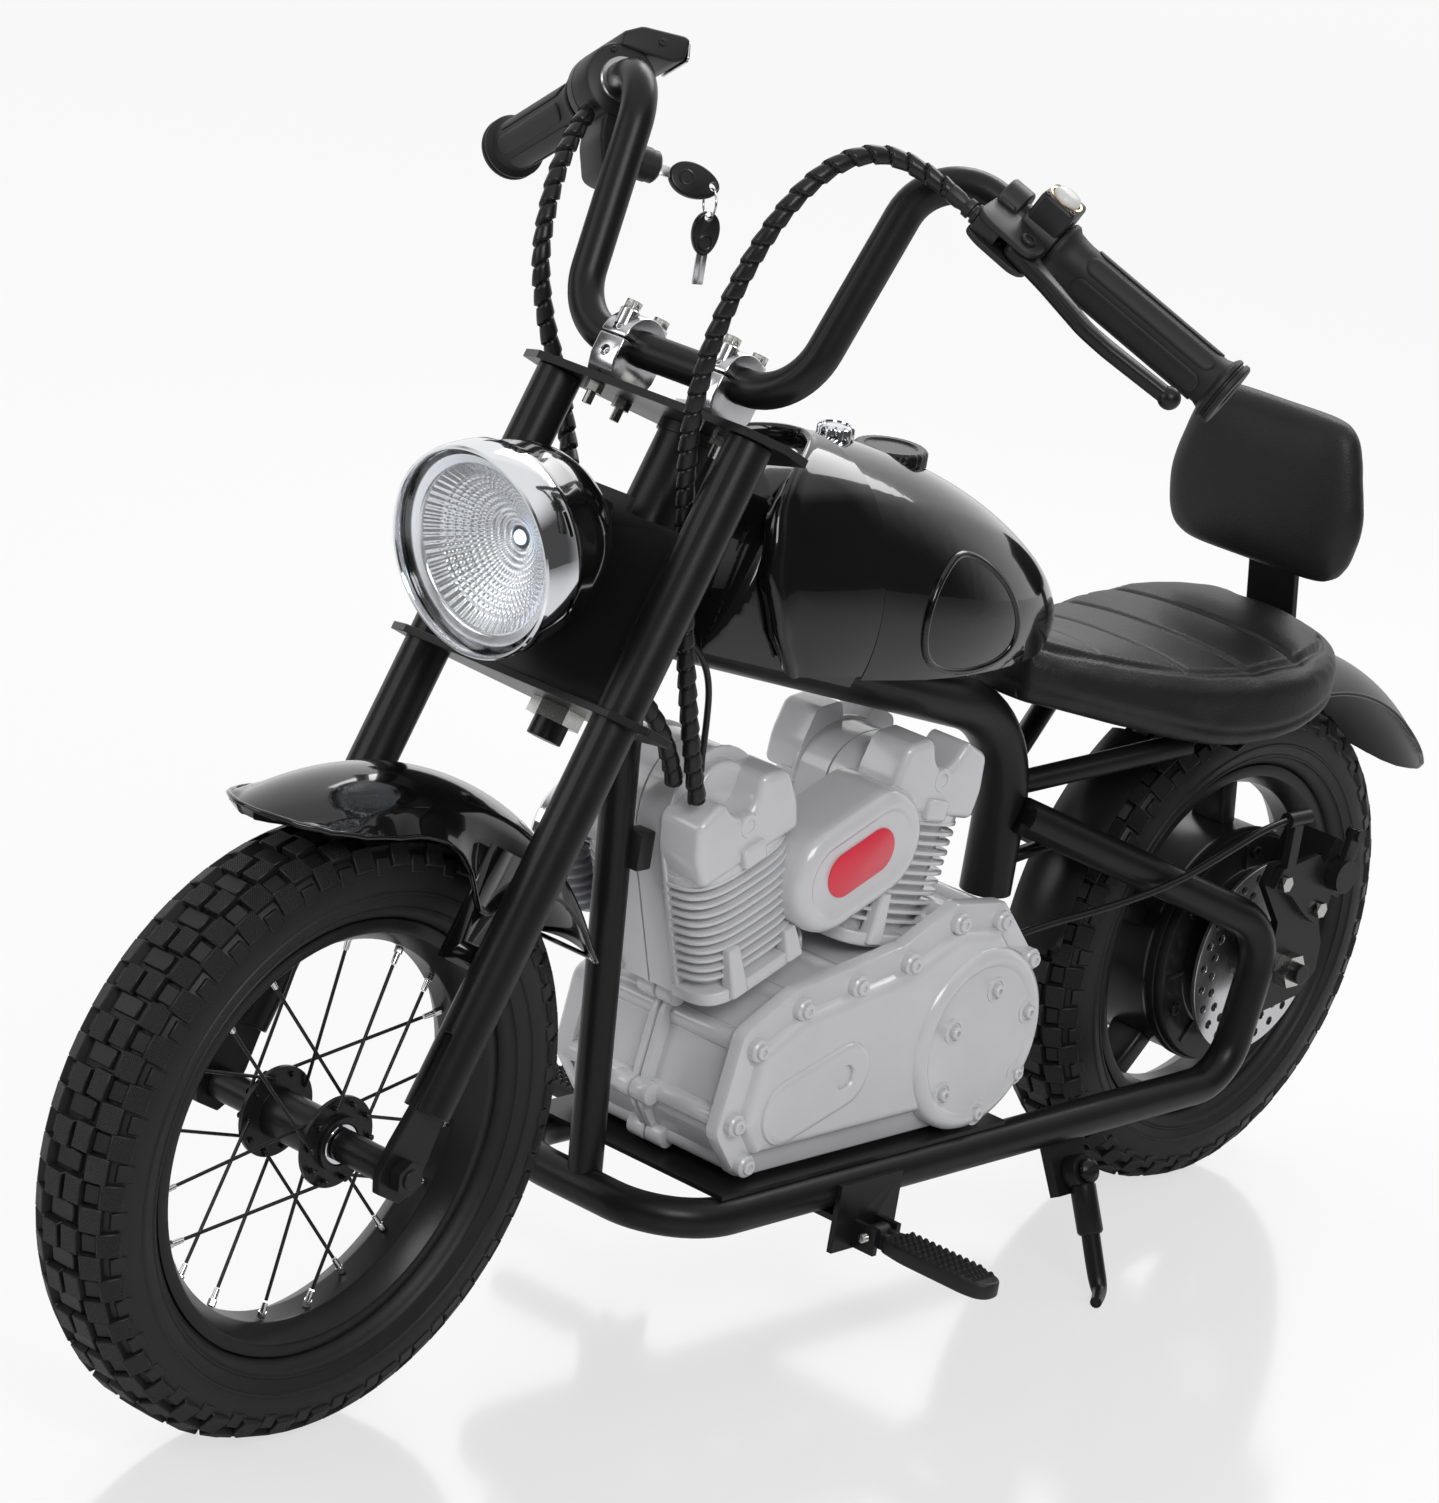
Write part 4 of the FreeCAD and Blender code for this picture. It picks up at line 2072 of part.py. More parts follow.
peg_axis_from = Vector(dim.peg_x - lug_gap - 8, dim.peg_pivot_out, dim.peg_z)
peg_axis_to = Vector(dim.peg_x + lug_gap + 8, dim.peg_pivot_out, dim.peg_z)
bracket_left = peg_bracket_solid().cut(rod(peg_axis_from, peg_axis_to, 3.1))
node("peg_bracket_left", bracket_left)
node("peg_bracket_right", mirrored(bracket_left))
peg_eye = block(
    dim.peg_x - lug_gap,
    dim.peg_x + lug_gap,
    dim.peg_pivot_out - 7,
    dim.peg_pivot_out + 14,
    dim.peg_z - 7,
    dim.peg_z + 7,
)
peg_pad = block(
    dim.peg_x - dim.peg_width / 2,
    dim.peg_x + dim.peg_width / 2,
    dim.peg_pivot_out + 12,
    dim.peg_pivot_out + dim.peg_length,
    dim.peg_z - dim.peg_height / 2,
    dim.peg_z + dim.peg_height / 2,
)
peg_pad = peg_pad.makeFillet(3.0, peg_pad.Edges)
peg = joined([peg_eye, peg_pad]).cut(rod(peg_axis_from, peg_axis_to, 3 + dim.bore_gap))
node("footpeg_left", peg)
node("footpeg_right", mirrored(peg))
peg_bolt = rod(peg_axis_from, peg_axis_to, 3.0)
frame_bolts += [peg_bolt, mirrored(peg_bolt)]
node("frame_fasteners", Part.makeCompound(frame_bolts))


# Sub-parts made of several pieces that stay together
def gather(label, names):
    group = doc.addObject("Part::Compound", label)
    group.Label = label
    group.Links = [nodes.pop(name) for name in names]
    nodes[label] = group


gather("fork_legs", ["fork_leg_left", "fork_leg_right", "fork_dropout_left", "fork_dropout_right"])
gather("steering_clamp", ["lower_clamp_plate", "steering_stem"])
gather("front_axle_set", ["front_axle", "axle_spacers"])
gather("front_mudguard", ["front_fender", "front_fender_stays"])
gather("throttle_unit", ["throttle_housing", "ignition_lock"])
gather("key_and_plug", ["ignition_key", "lock_plug"])
gather("key_bunch", ["key_ring", "spare_key"])
gather("front_tyre_set", ["front_tyre", "front_inner_tube"])
gather("front_spoke_set", ["front_spokes", "front_nipples"])
gather("front_hub_set", ["front_hub", "front_bearings"])
gather("rear_tyre_set", ["rear_tyre", "rear_inner_tube"])
gather("motor_covers", ["motor_cover_left", "motor_cover_right", "rear_bearings", "wheel_screws"])
gather("rear_axle_set", ["rear_axle", "rear_spacers"])
gather("rear_mudguard", ["rear_fender", "rear_splash_guard"])
gather("side_rails", ["side_rail_left", "side_rail_right"])
gather("right_engine_side", ["engine_case_right", "timing_cover"])
gather("air_filter", ["air_cleaner", "cleaner_neck"])
gather("fastener_set", ["frame_fasteners", "engine_screws"])
gather(
    "main_frame",
    [
        "head_tube",
        "head_bearings",
        "backbone_tube",
        "down_tube",
        "seat_struts",
        "tank_bracket",
        "engine_tray",
        "rear_dropout_left",
        "rear_dropout_right",
        "peg_bracket_left",
        "peg_bracket_right",
        "kickstand_bracket",
    ],
)

# Checks and export
doc.recompute()
for item in doc.Objects:
    if any(word in item.State for word in ("Invalid", "Error")):
        raise RuntimeError("object not up to date: " + item.Name + " " + str(item.State))
os.makedirs("parts", exist_ok=True)
for label, item in nodes.items():
    shape = item.Shape
    if shape.isNull() or not shape.isValid() or not shape.Solids:
        raise RuntimeError("bad shape: " + label)
    shape.exportStep("parts/" + label + ".step")
print("sub-parts", len(nodes))
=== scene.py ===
import bisect
import json
import math

import bmesh
import bpy
from mathutils import Matrix, Vector
from mathutils.bvhtree import BVHTree

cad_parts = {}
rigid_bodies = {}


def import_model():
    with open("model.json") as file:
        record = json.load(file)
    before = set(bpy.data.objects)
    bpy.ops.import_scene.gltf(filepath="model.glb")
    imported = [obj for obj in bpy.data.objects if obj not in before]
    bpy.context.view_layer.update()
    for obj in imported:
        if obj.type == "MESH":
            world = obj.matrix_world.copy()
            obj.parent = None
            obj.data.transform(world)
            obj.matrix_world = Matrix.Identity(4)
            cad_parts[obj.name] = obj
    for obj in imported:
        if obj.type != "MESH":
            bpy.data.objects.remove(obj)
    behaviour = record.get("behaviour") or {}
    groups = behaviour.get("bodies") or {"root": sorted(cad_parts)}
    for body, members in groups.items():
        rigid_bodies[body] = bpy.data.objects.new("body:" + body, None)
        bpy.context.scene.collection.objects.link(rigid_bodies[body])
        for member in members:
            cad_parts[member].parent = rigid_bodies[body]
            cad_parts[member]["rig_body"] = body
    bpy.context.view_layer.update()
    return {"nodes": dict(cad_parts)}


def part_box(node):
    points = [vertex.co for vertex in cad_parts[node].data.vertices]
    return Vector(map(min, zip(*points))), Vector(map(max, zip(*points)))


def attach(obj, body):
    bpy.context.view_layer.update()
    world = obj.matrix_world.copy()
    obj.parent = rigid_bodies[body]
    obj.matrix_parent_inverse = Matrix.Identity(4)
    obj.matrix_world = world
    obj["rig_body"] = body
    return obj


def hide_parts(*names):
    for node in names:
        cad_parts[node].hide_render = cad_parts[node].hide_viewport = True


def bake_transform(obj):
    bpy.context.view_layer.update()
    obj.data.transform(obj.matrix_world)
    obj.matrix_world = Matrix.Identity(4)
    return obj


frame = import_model()
print("frame loaded:", len(frame["nodes"]), "nodes")

# places shared by many pieces, in metres
frontAxle = Vector((0.4425, 0, 0.190))
rearAxle = Vector((-0.4225, 0, 0.180))
rake = math.radians(26.3)
forkTurn = Matrix.Rotation(-rake, 4, "Y")
forkFrame = Matrix.Translation(frontAxle - forkTurn @ Vector((0.042, 0, 0))) @ forkTurn
frontWheel = Matrix.Translation(frontAxle)
rearWheel = Matrix.Translation(rearAxle)
lampFrame = Matrix.Translation((0.370, 0, 0.535)) @ Matrix.Rotation(math.radians(8), 4, "Y")
zToY = Matrix.Rotation(math.radians(-90), 4, "X")  # turns a piece made along Z to lie along +Y
zToX = Matrix.Rotation(math.radians(90), 4, "Y")


# frame along one side of the handlebar: Z runs out along the grip, X ahead of it
def barFrame(side):
    corner = Vector((0.047, side * 0.114, 0.667))
    end = Vector((-0.066, side * 0.288, 0.610))
    outward = (end - corner).normalized()
    ahead = Vector((1, 0, 0))
    ahead = (ahead - outward * ahead.dot(outward)).normalized()
    across = outward.cross(ahead)
    turn = Matrix((ahead, across, outward)).transposed().to_4x4()
    return forkFrame @ Matrix.Translation(corner) @ turn


leftBar = barFrame(1)
rightBar = barFrame(-1)
leverFrame = leftBar @ Matrix.Rotation(math.radians(28), 4, "Z")


# frame at a point whose Z looks along a direction
def facing(point, way, near=(0, 0, 1)):
    out = Vector(way).normalized()
    side = Vector(near).cross(out)
    if side.length < 1e-4:
        side = Vector((1, 0, 0)).cross(out)
    side.normalize()
    turn = Matrix((side, out.cross(side), out)).transposed().to_4x4()
    return Matrix.Translation(point) @ turn


def soften(bm, width, segments=2, minAngle=30, edges=None):
    limit = math.radians(minAngle)
    pool = bm.edges if edges is None else edges
    sharp = [e for e in pool if len(e.link_faces) == 2 and e.calc_face_angle(0) > limit]
    bmesh.ops.bevel(
        bm, geom=sharp, offset=width, offset_type="OFFSET", segments=segments,
        profile=0.5, affect="EDGES", clamp_overlap=True, material=-1,
    )
    return bm


def clean(bm, reach=1e-6):
    bmesh.ops.remove_doubles(bm, verts=bm.verts, dist=reach)
    bmesh.ops.recalc_face_normals(bm, faces=bm.faces)
    return bm


# profile points are (radius, height); the shape is turned about Z
def lathe(profile, steps=64, closed=False, soft=0.0, softSegments=2):
    bm = bmesh.new()
    ring = [bm.verts.new((radius, 0, height)) for radius, height in profile]
    edges = [bm.edges.new(pair) for pair in zip(ring, ring[1:])]
    if closed:
        edges.append(bm.edges.new((ring[-1], ring[0])))
    bmesh.ops.spin(
        bm, geom=ring + edges, cent=(0, 0, 0), axis=(0, 0, 1), angle=2 * math.pi,
        steps=steps, use_merge=True, use_duplicate=False,
    )
    clean(bm, 2e-6)
    if soft:
        soften(bm, soft, softSegments, 28)
    return bm


# flat outline with rounded corners, raised along Z, its rims rounded over
def slab(corners, depth, round=0.0, soft=0.0, softSegments=3, roundSegments=6, topOnly=False):
    bm = bmesh.new()
    verts = [bm.verts.new((x, y, 0)) for x, y in corners]
    bm.faces.new(verts)
    if round:
        bmesh.ops.bevel(
            bm, geom=verts, offset=round, offset_type="OFFSET", segments=roundSegments,
            profile=0.5, affect="VERTICES", clamp_overlap=True, material=-1,
        )
    raised = bmesh.ops.extrude_face_region(bm, geom=bm.faces[:])
    top = [item for item in raised["geom"] if isinstance(item, bmesh.types.BMVert)]
    bmesh.ops.translate(bm, verts=top, vec=(0, 0, depth))
    clean(bm)
    if soft:
        rims = None
        if topOnly:
            rims = [e for e in bm.edges if all(v.co.z > depth * 0.5 for v in e.verts)]
        soften(bm, soft, softSegments, 50, rims)
    return bm


def box(low, high, soft=0.0, segments=2):
    bm = bmesh.new()
    bmesh.ops.create_cube(bm, size=1)
    low, high = Vector(low), Vector(high)
    size = high - low
    bmesh.ops.scale(bm, vec=size, verts=bm.verts)
    bmesh.ops.translate(bm, vec=(low + high) / 2, verts=bm.verts)
    if soft:
        soften(bm, soft, segments)
    return bm


def rod(start, end, radius, steps=16, tip=None, soft=0.0):
    bm = bmesh.new()
    start, end = Vector(start), Vector(end)
    bmesh.ops.create_cone(
        bm, cap_ends=True, segments=steps, radius1=radius, radius2=radius if tip is None else tip,
        depth=(end - start).length,
    )
    bmesh.ops.transform(bm, matrix=facing((start + end) / 2, end - start), verts=bm.verts)
    if soft:
        soften(bm, soft, 2, 50)
    return bm


# adds a copy of one shape to another at a place
def add(bm, part, place=None, free=True):
    mesh = bpy.data.meshes.new("part")
    part.to_mesh(mesh)
    if place is not None:
        mesh.transform(place)
        if place.determinant() < 0:
            mesh.flip_normals()
    bm.from_mesh(mesh)
    bpy.data.meshes.remove(mesh)
    if free:
        part.free()
    return bm


def moved(part, place):
    bmesh.ops.transform(part, matrix=place, verts=part.verts)
    return part


def smoothMesh(mesh, angle):
    mesh.shade_smooth()
    mesh.set_sharp_from_angle(angle=math.radians(angle))


# makes the finished object, lets it ride and hides the solids it stands for
def piece(bm, name, body, finish, nodes=(), place=None, angle=38):
    mesh = bpy.data.meshes.new(name)
    bm.to_mesh(mesh)
    bm.free()
    if place is not None:
        mesh.transform(place)
    smoothMesh(mesh, angle)
    mesh.materials.append(finish)
    obj = bpy.data.objects.new(name, mesh)
    bpy.context.scene.collection.objects.link(obj)
    if body:
        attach(obj, body)
    if nodes:
        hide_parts(*nodes)
    return obj


def merged(node):
    bm = bmesh.new()
    bm.from_mesh(frame["nodes"][node].data)
    bmesh.ops.remove_doubles(bm, verts=bm.verts, dist=5e-6)
    return bm


# a smooth copy of a solid whose shape is already right
def dressed(node, finish, soft=0.0, angle=38):
    body = frame["nodes"][node]["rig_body"]
    bm = merged(node)
    if soft:
        bmesh.ops.dissolve_limit(
            bm, angle_limit=math.radians(0.4), verts=bm.verts, edges=bm.edges, delimit=set(),
        )
    obj = piece(bm, node + "_dressed", body, finish, [node], angle=angle)
    if soft:
        rim = obj.modifiers.new("rim", "BEVEL")
        rim.width = soft
        rim.segments = 2
        rim.limit_method = "ANGLE"
        rim.angle_limit = math.radians(40)
        rim.harden_normals = False
    return obj


# round screw head with a socket in its top, standing on Z = 0
def capScrew(radius, height, socket=0.5, steps=24):
    deep = height * 0.55
    inner = radius * socket
    profile = [
        (0, height - deep), (inner, height - deep), (inner, height), (radius * 0.82, height),
        (radius, height * 0.72), (radius, 0), (0, 0),
    ]
    return lathe(profile, steps, soft=radius * 0.05)


# convex outline moved inward, each corner rounded with the same number of points
def rounded(corners, radius, inset=0.0, segments=6):
    count = len(corners)
    points = [Vector(corner) for corner in corners]
    area = sum(a.x * b.y - b.x * a.y for a, b in zip(points, points[1:] + points[:1]))
    if area < 0:
        points.reverse()
    lines = []
    for a, b in zip(points, points[1:] + points[:1]):
        way = (b - a).normalized()
        inward = Vector((-way.y, way.x))
        lines.append((a + inward * inset, way))
    corner = []
    for index in range(count):
        (p, u), (q, v) = lines[index - 1], lines[index]
        cross = u.x * v.y - u.y * v.x
        along = ((q.x - p.x) * v.y - (q.y - p.y) * v.x) / cross
        corner.append((p + u * along, u, v))
    ring = []
    bend = max(radius - inset, radius * 0.12)
    for spot, u, v in corner:
        turn = u.angle(v)
        reach = bend * math.tan(turn / 2)
        start = spot - u * reach
        centre = start + Vector((-u.y, u.x)) * bend
        first = math.atan2(start.y - centre.y, start.x - centre.x)
        for step in range(segments + 1):
            angle = first + turn * step / segments
            ring.append((centre.x + bend * math.cos(angle), centre.y + bend * math.sin(angle)))
    return ring


def circle(radius, steps, centre=(0, 0), first=0.0):
    turns = [first + 2 * math.pi * step / steps for step in range(steps)]
    return [(centre[0] + radius * math.cos(turn), centre[1] + radius * math.sin(turn)) for turn in turns]


def stadium(length, height, inset=0.0, steps=48):
    bend = height / 2 - inset
    reach = (length - height) / 2
    ring = []
    for step in range(steps):
        turn = -math.pi / 2 + 2 * math.pi * (step + 0.5) / steps
        shift = reach if step < steps // 2 else -reach
        ring.append((shift + bend * math.cos(turn), bend * math.sin(turn)))
    return ring


# rings of equally many points, each extruded from the one before it, with filled ends
def stack(levels, caps=(True, True)):
    bm = bmesh.new()
    ring, height = levels[0]
    verts = [bm.verts.new((x, y, height)) for x, y in ring]
    foot = [bm.edges.new(pair) for pair in zip(verts[1:] + verts[:1], verts)]
    edges = foot
    for ring, height in levels[1:]:
        grown = bmesh.ops.extrude_edge_only(bm, edges=edges)["geom"]
        fresh = {part for part in grown if isinstance(part, bmesh.types.BMVert)}
        lines = [part for part in grown if isinstance(part, bmesh.types.BMEdge)]
        edges = [line for line in lines if fresh.issuperset(line.verts)]
        above = {edge.other_vert(far): far for far in fresh for edge in far.link_edges}
        verts = [above[vert] for vert in verts]
        for vert, (x, y) in zip(verts, ring):
            vert.co = (x, y, height)
    for loop, wanted in zip((foot, edges), caps):
        if wanted:
            bmesh.ops.edgeloop_fill(bm, edges=loop)
    bmesh.ops.recalc_face_normals(bm, faces=bm.faces)
    return bm


def flipY(bm):
    bmesh.ops.scale(bm, vec=(1, -1, 1), verts=bm.verts)
    bmesh.ops.reverse_faces(bm, faces=bm.faces)
    return bm


# mesh of a helper object with its modifiers, as a fresh bmesh; the helpers are removed
def baked(*holders):
    bpy.context.view_layer.update()
    graph = bpy.context.evaluated_depsgraph_get()
    mesh = bpy.data.meshes.new_from_object(holders[0].evaluated_get(graph))
    bm = bmesh.new()
    bm.from_mesh(mesh)
    bpy.data.meshes.remove(mesh)
    for holder in holders:
        bpy.data.objects.remove(holder)
    return bm


def helper(data):
    holder = bpy.data.objects.new("helper", data)
    bpy.context.scene.collection.objects.link(holder)
    return holder


def held(bm):
    mesh = bpy.data.meshes.new("helper")
    bm.to_mesh(mesh)
    bm.free()
    return helper(mesh)


# takes one shape out of another
def carve(bm, cutter):
    body, tool = held(bm), held(cutter)
    cut = body.modifiers.new("cut", "BOOLEAN")
    cut.object = tool
    cut.operation = "DIFFERENCE"
    cut.solver = "EXACT"
    return baked(body, tool)


# a curve through control points, with or without a round section
def curveLine(points, radius=0.0, smooth=True, closed=False, steps=5, radii=None, fine=12):
    line = bpy.data.curves.new("line", "CURVE")
    line.dimensions = "3D"
    line.bevel_depth = radius
    line.bevel_resolution = steps
    line.use_fill_caps = True
    line.resolution_u = fine
    spline = line.splines.new("NURBS" if smooth else "POLY")
    spline.points.add(len(points) - 1)
    for index, (spot, point) in enumerate(zip(spline.points, points)):
        spot.co = (*point, 1)
        if radii:
            spot.radius = radii[index] / radius
    spline.use_cyclic_u = closed
    if smooth:
        spline.order_u = 3
        spline.use_endpoint_u = not closed
    return line


def tube(points, radius, **options):
    return clean(baked(helper(curveLine(points, radius, **options))))


# points along the smooth line of a route
def routeLine(points):
    bm = baked(helper(curveLine(points, fine=24)))
    bm.verts.ensure_lookup_table()
    line = [vert.co.copy() for vert in bm.verts]
    bm.free()
    return line


def lengthOf(line):
    return sum((b - a).length for a, b in zip(line, line[1:]))


# bends a shape made along Z so that its height runs along a line
def bendAlong(bm, line):
    marks = [0.0]
    ways = []
    for a, b in zip(line, line[1:]):
        marks.append(marks[-1] + (b - a).length)
        ways.append((b - a).normalized())
    side = Vector((1, 0.02, 0.01)).cross(ways[0]).normalized()
    frames = []
    for way in ways:
        side = (side - way * side.dot(way)).normalized()
        frames.append((side.copy(), way.cross(side), way))
    for vert in bm.verts:
        height = min(max(vert.co.z, 0.0), marks[-1])
        index = min(bisect.bisect_right(marks, height) - 1, len(ways) - 1)
        share = (height - marks[index]) / (marks[index + 1] - marks[index])
        other = frames[min(index + 1, len(ways) - 1)] if share > 0.5 else frames[max(index - 1, 0)]
        part = abs(share - 0.5)
        across = frames[index][0].lerp(other[0], part)
        up = frames[index][1].lerp(other[1], part)
        middle = line[index].lerp(line[index + 1], share)
        vert.co = middle + across * vert.co.x + up * vert.co.y
    return bm


# value between listed places
def eased(steps, distance):
    for (a, first), (b, second) in zip(steps, steps[1:]):
        if distance <= b:
            return first + (second - first) * (distance - a) / (b - a)
    return steps[-1][1]


# one socket of a node tree, so that shader sums read as plain sums
class Link:
    def __init__(self, tree, socket):
        self.tree = tree
        self.socket = socket

    def maths(self, operation, first, second):
        node = self.tree.nodes.new("ShaderNodeMath")
        node.operation = operation
        for socket, value in zip(node.inputs, (first, second)):
            plug(self.tree, socket, value)
        return Link(self.tree, node.outputs[0])

    def __add__(self, other):
        return self.maths("ADD", self, other)

    def __radd__(self, other):
        return self.maths("ADD", other, self)

    def __sub__(self, other):
        return self.maths("SUBTRACT", self, other)

    def __rsub__(self, other):
        return self.maths("SUBTRACT", other, self)

    def __mul__(self, other):
        return self.maths("MULTIPLY", self, other)

    def __rmul__(self, other):
        return self.maths("MULTIPLY", other, self)


def plug(tree, socket, value):
    if isinstance(value, Link):
        tree.links.new(value.socket, socket)
    else:
        socket.default_value = value


# a material under construction: node() adds any node, look() sets the shader's own sockets
class Finish:
    def __init__(self, name):
        self.material = bpy.data.materials.new(name)
        self.material.use_nodes = True
        self.tree = self.material.node_tree
        self.shader = self.tree.nodes["Principled BSDF"]

    def node(self, kind, settings=None, values=None, out=0):
        made = self.tree.nodes.new("ShaderNode" + kind)
        for name, value in (settings or {}).items():
            setattr(made, name, value)
        for name, value in (values or {}).items():
            plug(self.tree, made.inputs[name], value)
        return Link(self.tree, made.outputs[out])

    def spot(self):
        return self.node("TexCoord", out="Object")

    def noise(self, scale, detail=3.0, rough=0.55, where=None):
        values = {"Vector": where or self.spot(), "Scale": scale, "Detail": detail, "Roughness": rough}
        return self.node("TexNoise", {}, values)

    def mix(self, amount, first, second):
        values = {0: amount, 6: (*first, 1) if isinstance(first, tuple) else first}
        values[7] = (*second, 1) if isinstance(second, tuple) else second
        return self.node("Mix", {"data_type": "RGBA"}, values, out=2)

    def bump(self, height, strength, distance):
        return self.node("Bump", {}, {"Height": height, "Strength": strength, "Distance": distance})

    def look(self, **values):
        for name, value in values.items():
            title = " ".join(word.capitalize() for word in name.split("_"))
            title = {"Ior": "IOR", "Specular": "Specular IOR Level", "Sheen": "Sheen Weight"}.get(
                title, title,
            )
            plug(self.tree, self.shader.inputs[title], value)
        return self.material


# satin powder coat on the welded tubes: faint orange peel, slightly uneven sheen
def powderCoat(name, tone, gloss):
    f = Finish(name)
    peel = f.noise(900, 2)
    cloud = f.noise(22, 3)
    colour = f.mix(
        cloud, tuple(tone * k for k in (0.8, 0.8, 0.84)), tuple(tone * k for k in (1.25, 1.25, 1.28)),
    )
    return f.look(
        base_color=colour, roughness=gloss - 0.06 + cloud * 0.12, normal=f.bump(peel, 0.10, 0.0004),
        specular=0.24,
    )


# deep gloss paint with a clear coat
def glossPaint(name, tone):
    f = Finish(name)
    swirl = f.noise(60, 2)
    dust = f.noise(420, 4, 0.7)
    colour = f.mix(swirl, (tone * 0.85, tone * 0.85, tone * 0.9), (tone * 1.2, tone * 1.2, tone * 1.25))
    return f.look(
        base_color=colour, roughness=0.10 + dust * 0.07, normal=f.bump(swirl, 0.035, 0.0006),
        coat_weight=0.8, coat_roughness=0.03, specular=0.12,
    )


# moulded plastic with a spark-eroded grain
def mouldedPlastic(name, colour, gloss, grain=0.12, scale=1500, coat=0.0):
    f = Finish(name)
    fine = f.noise(scale, 2, 0.6)
    flow = f.noise(16, 3)
    dark = tuple(c * 0.90 for c in colour)
    light = tuple(min(1.0, c * 1.08) for c in colour)
    return f.look(
        base_color=f.mix(flow, dark, light), roughness=gloss - 0.05 + fine * 0.10,
        normal=f.bump(fine, grain, 0.0003), coat_weight=coat, coat_roughness=0.12, specular=0.34,
    )


def plated(name, colour, gloss, tint=(1, 1, 1)):
    f = Finish(name)
    smear = f.noise(140, 4, 0.6)
    other = tuple(c * t for c, t in zip(colour, tint))
    return f.look(
        base_color=f.mix(smear, colour, other), metallic=1.0,
        roughness=gloss * 0.7 + smear * gloss * 0.6,
        normal=f.bump(f.noise(700, 2), 0.04, 0.0003),
    )


# tyre rubber: the knob tops carry fine crossed hatching laid out in their UV map, in millimetres
def tyreRubber(name):
    f = Finish(name)
    place = f.node("UVMap", {"uv_map": "hatch"})
    split = f.node("SeparateXYZ", {}, {"Vector": place})
    across = Link(f.tree, split.socket.node.outputs["Y"])
    first = (split + across).maths("PINGPONG", split + across, 0.85)
    second = (split - across).maths("PINGPONG", split - across, 0.85)
    hatch = first.maths("MAXIMUM", first, second)
    pores = f.noise(1100, 3, 0.6)
    dust = f.noise(35, 4, 0.6)
    colour = f.mix(dust, (0.006, 0.006, 0.0064), (0.013, 0.0127, 0.0124))
    return f.look(
        base_color=colour, roughness=0.40 + dust * 0.20,
        normal=f.bump(hatch * 0.9 + pores * 0.12, 0.85, 0.0009), specular=0.36,
    )


# leatherette: small cells with a soft sheen
def leatherette(name):
    f = Finish(name)
    place = f.spot()
    cell = f.node(
        "TexVoronoi", {"feature": "SMOOTH_F1"}, {"Vector": place, "Scale": 620, "Smoothness": 0.7},
    )
    fold = f.noise(170, 3, 0.6, place)
    worn = f.noise(14, 3, 0.5, place)
    colour = f.mix(worn, (0.0095, 0.0095, 0.0098), (0.017, 0.017, 0.0172))
    return f.look(
        base_color=colour, roughness=0.40 + worn * 0.14 - cell * 0.05,
        normal=f.bump(cell * 0.7 + fold * 0.5, 0.28, 0.0007), specular=0.30,
    )


def softRubber(name, tone, gloss):
    f = Finish(name)
    grain = f.noise(1300, 3, 0.65)
    cloud = f.noise(30, 3)
    colour = f.mix(cloud, (tone * 0.8, tone * 0.8, tone * 0.82), (tone * 1.3, tone * 1.3, tone * 1.3))
    return f.look(
        base_color=colour, roughness=gloss - 0.06 + cloud * 0.12, normal=f.bump(grain, 0.16, 0.0003),
        specular=0.28,
    )


# turned steel: fine rings about the rear axle
def discSteel(name):
    f = Finish(name)
    place = f.node("Mapping", {}, {"Vector": f.spot(), "Location": tuple(-v for v in rearAxle)})
    flat = f.node("VectorMath", {"operation": "MULTIPLY"}, {0: place, 1: (1, 0, 1)})
    reach = f.node("VectorMath", {"operation": "LENGTH"}, {0: flat}, out="Value")
    rings = f.node("TexNoise", {"noise_dimensions": "1D"}, {"W": reach, "Scale": 2600, "Detail": 2})
    colour = f.mix(rings, (0.62, 0.62, 0.63), (0.80, 0.80, 0.81))
    return f.look(
        base_color=colour, metallic=1.0, roughness=0.22 + rings * 0.16,
        normal=f.bump(rings, 0.08, 0.0002),
    )


def clearMoulding(name):
    f = Finish(name)
    haze = f.noise(200, 2)
    f.look(base_color=(0.97, 0.985, 1.0, 1), roughness=0.03 + haze * 0.03, specular=0.5)
    return f.look(transmission_weight=1.0, ior=1.46)


def lampGlow(name):
    f = Finish(name)
    cloud = f.noise(300, 2)
    colour = f.mix(cloud, (0.55, 0.75, 1.0), (0.85, 0.93, 1.0))
    return f.look(base_color=colour, emission_color=colour, emission_strength=1.2, roughness=0.3)


frameBlack = powderCoat("frame_powder_coat", 0.009, 0.33)
metalBlack = powderCoat("black_metal", 0.011, 0.30)
gloss = glossPaint("gloss_black_paint", 0.0045)
plastic = mouldedPlastic("black_moulding", (0.016, 0.016, 0.0165), 0.42, 0.14)
plasticSmooth = mouldedPlastic("black_smooth_moulding", (0.012, 0.012, 0.0125), 0.26, 0.05)
engineGrey = mouldedPlastic("engine_moulding", (0.60, 0.60, 0.615), 0.24, 0.03, 1200, 0.9)
satin = mouldedPlastic("satin_black_paint", (0.0085, 0.0085, 0.009), 0.30, 0.02, 900)
badgeRed = mouldedPlastic("red_badge", (0.72, 0.035, 0.065), 0.30, 0.03, 900, 0.3)
badgeBlack = glossPaint("black_badge", 0.003)
paleButton = mouldedPlastic("pale_button", (0.62, 0.62, 0.60), 0.35, 0.05)
chrome = plated("chrome_plate", (0.83, 0.83, 0.85), 0.06, (0.95, 0.96, 0.98))
brightAlloy = plated("bright_alloy", (0.70, 0.70, 0.71), 0.20, (0.9, 0.9, 0.9))
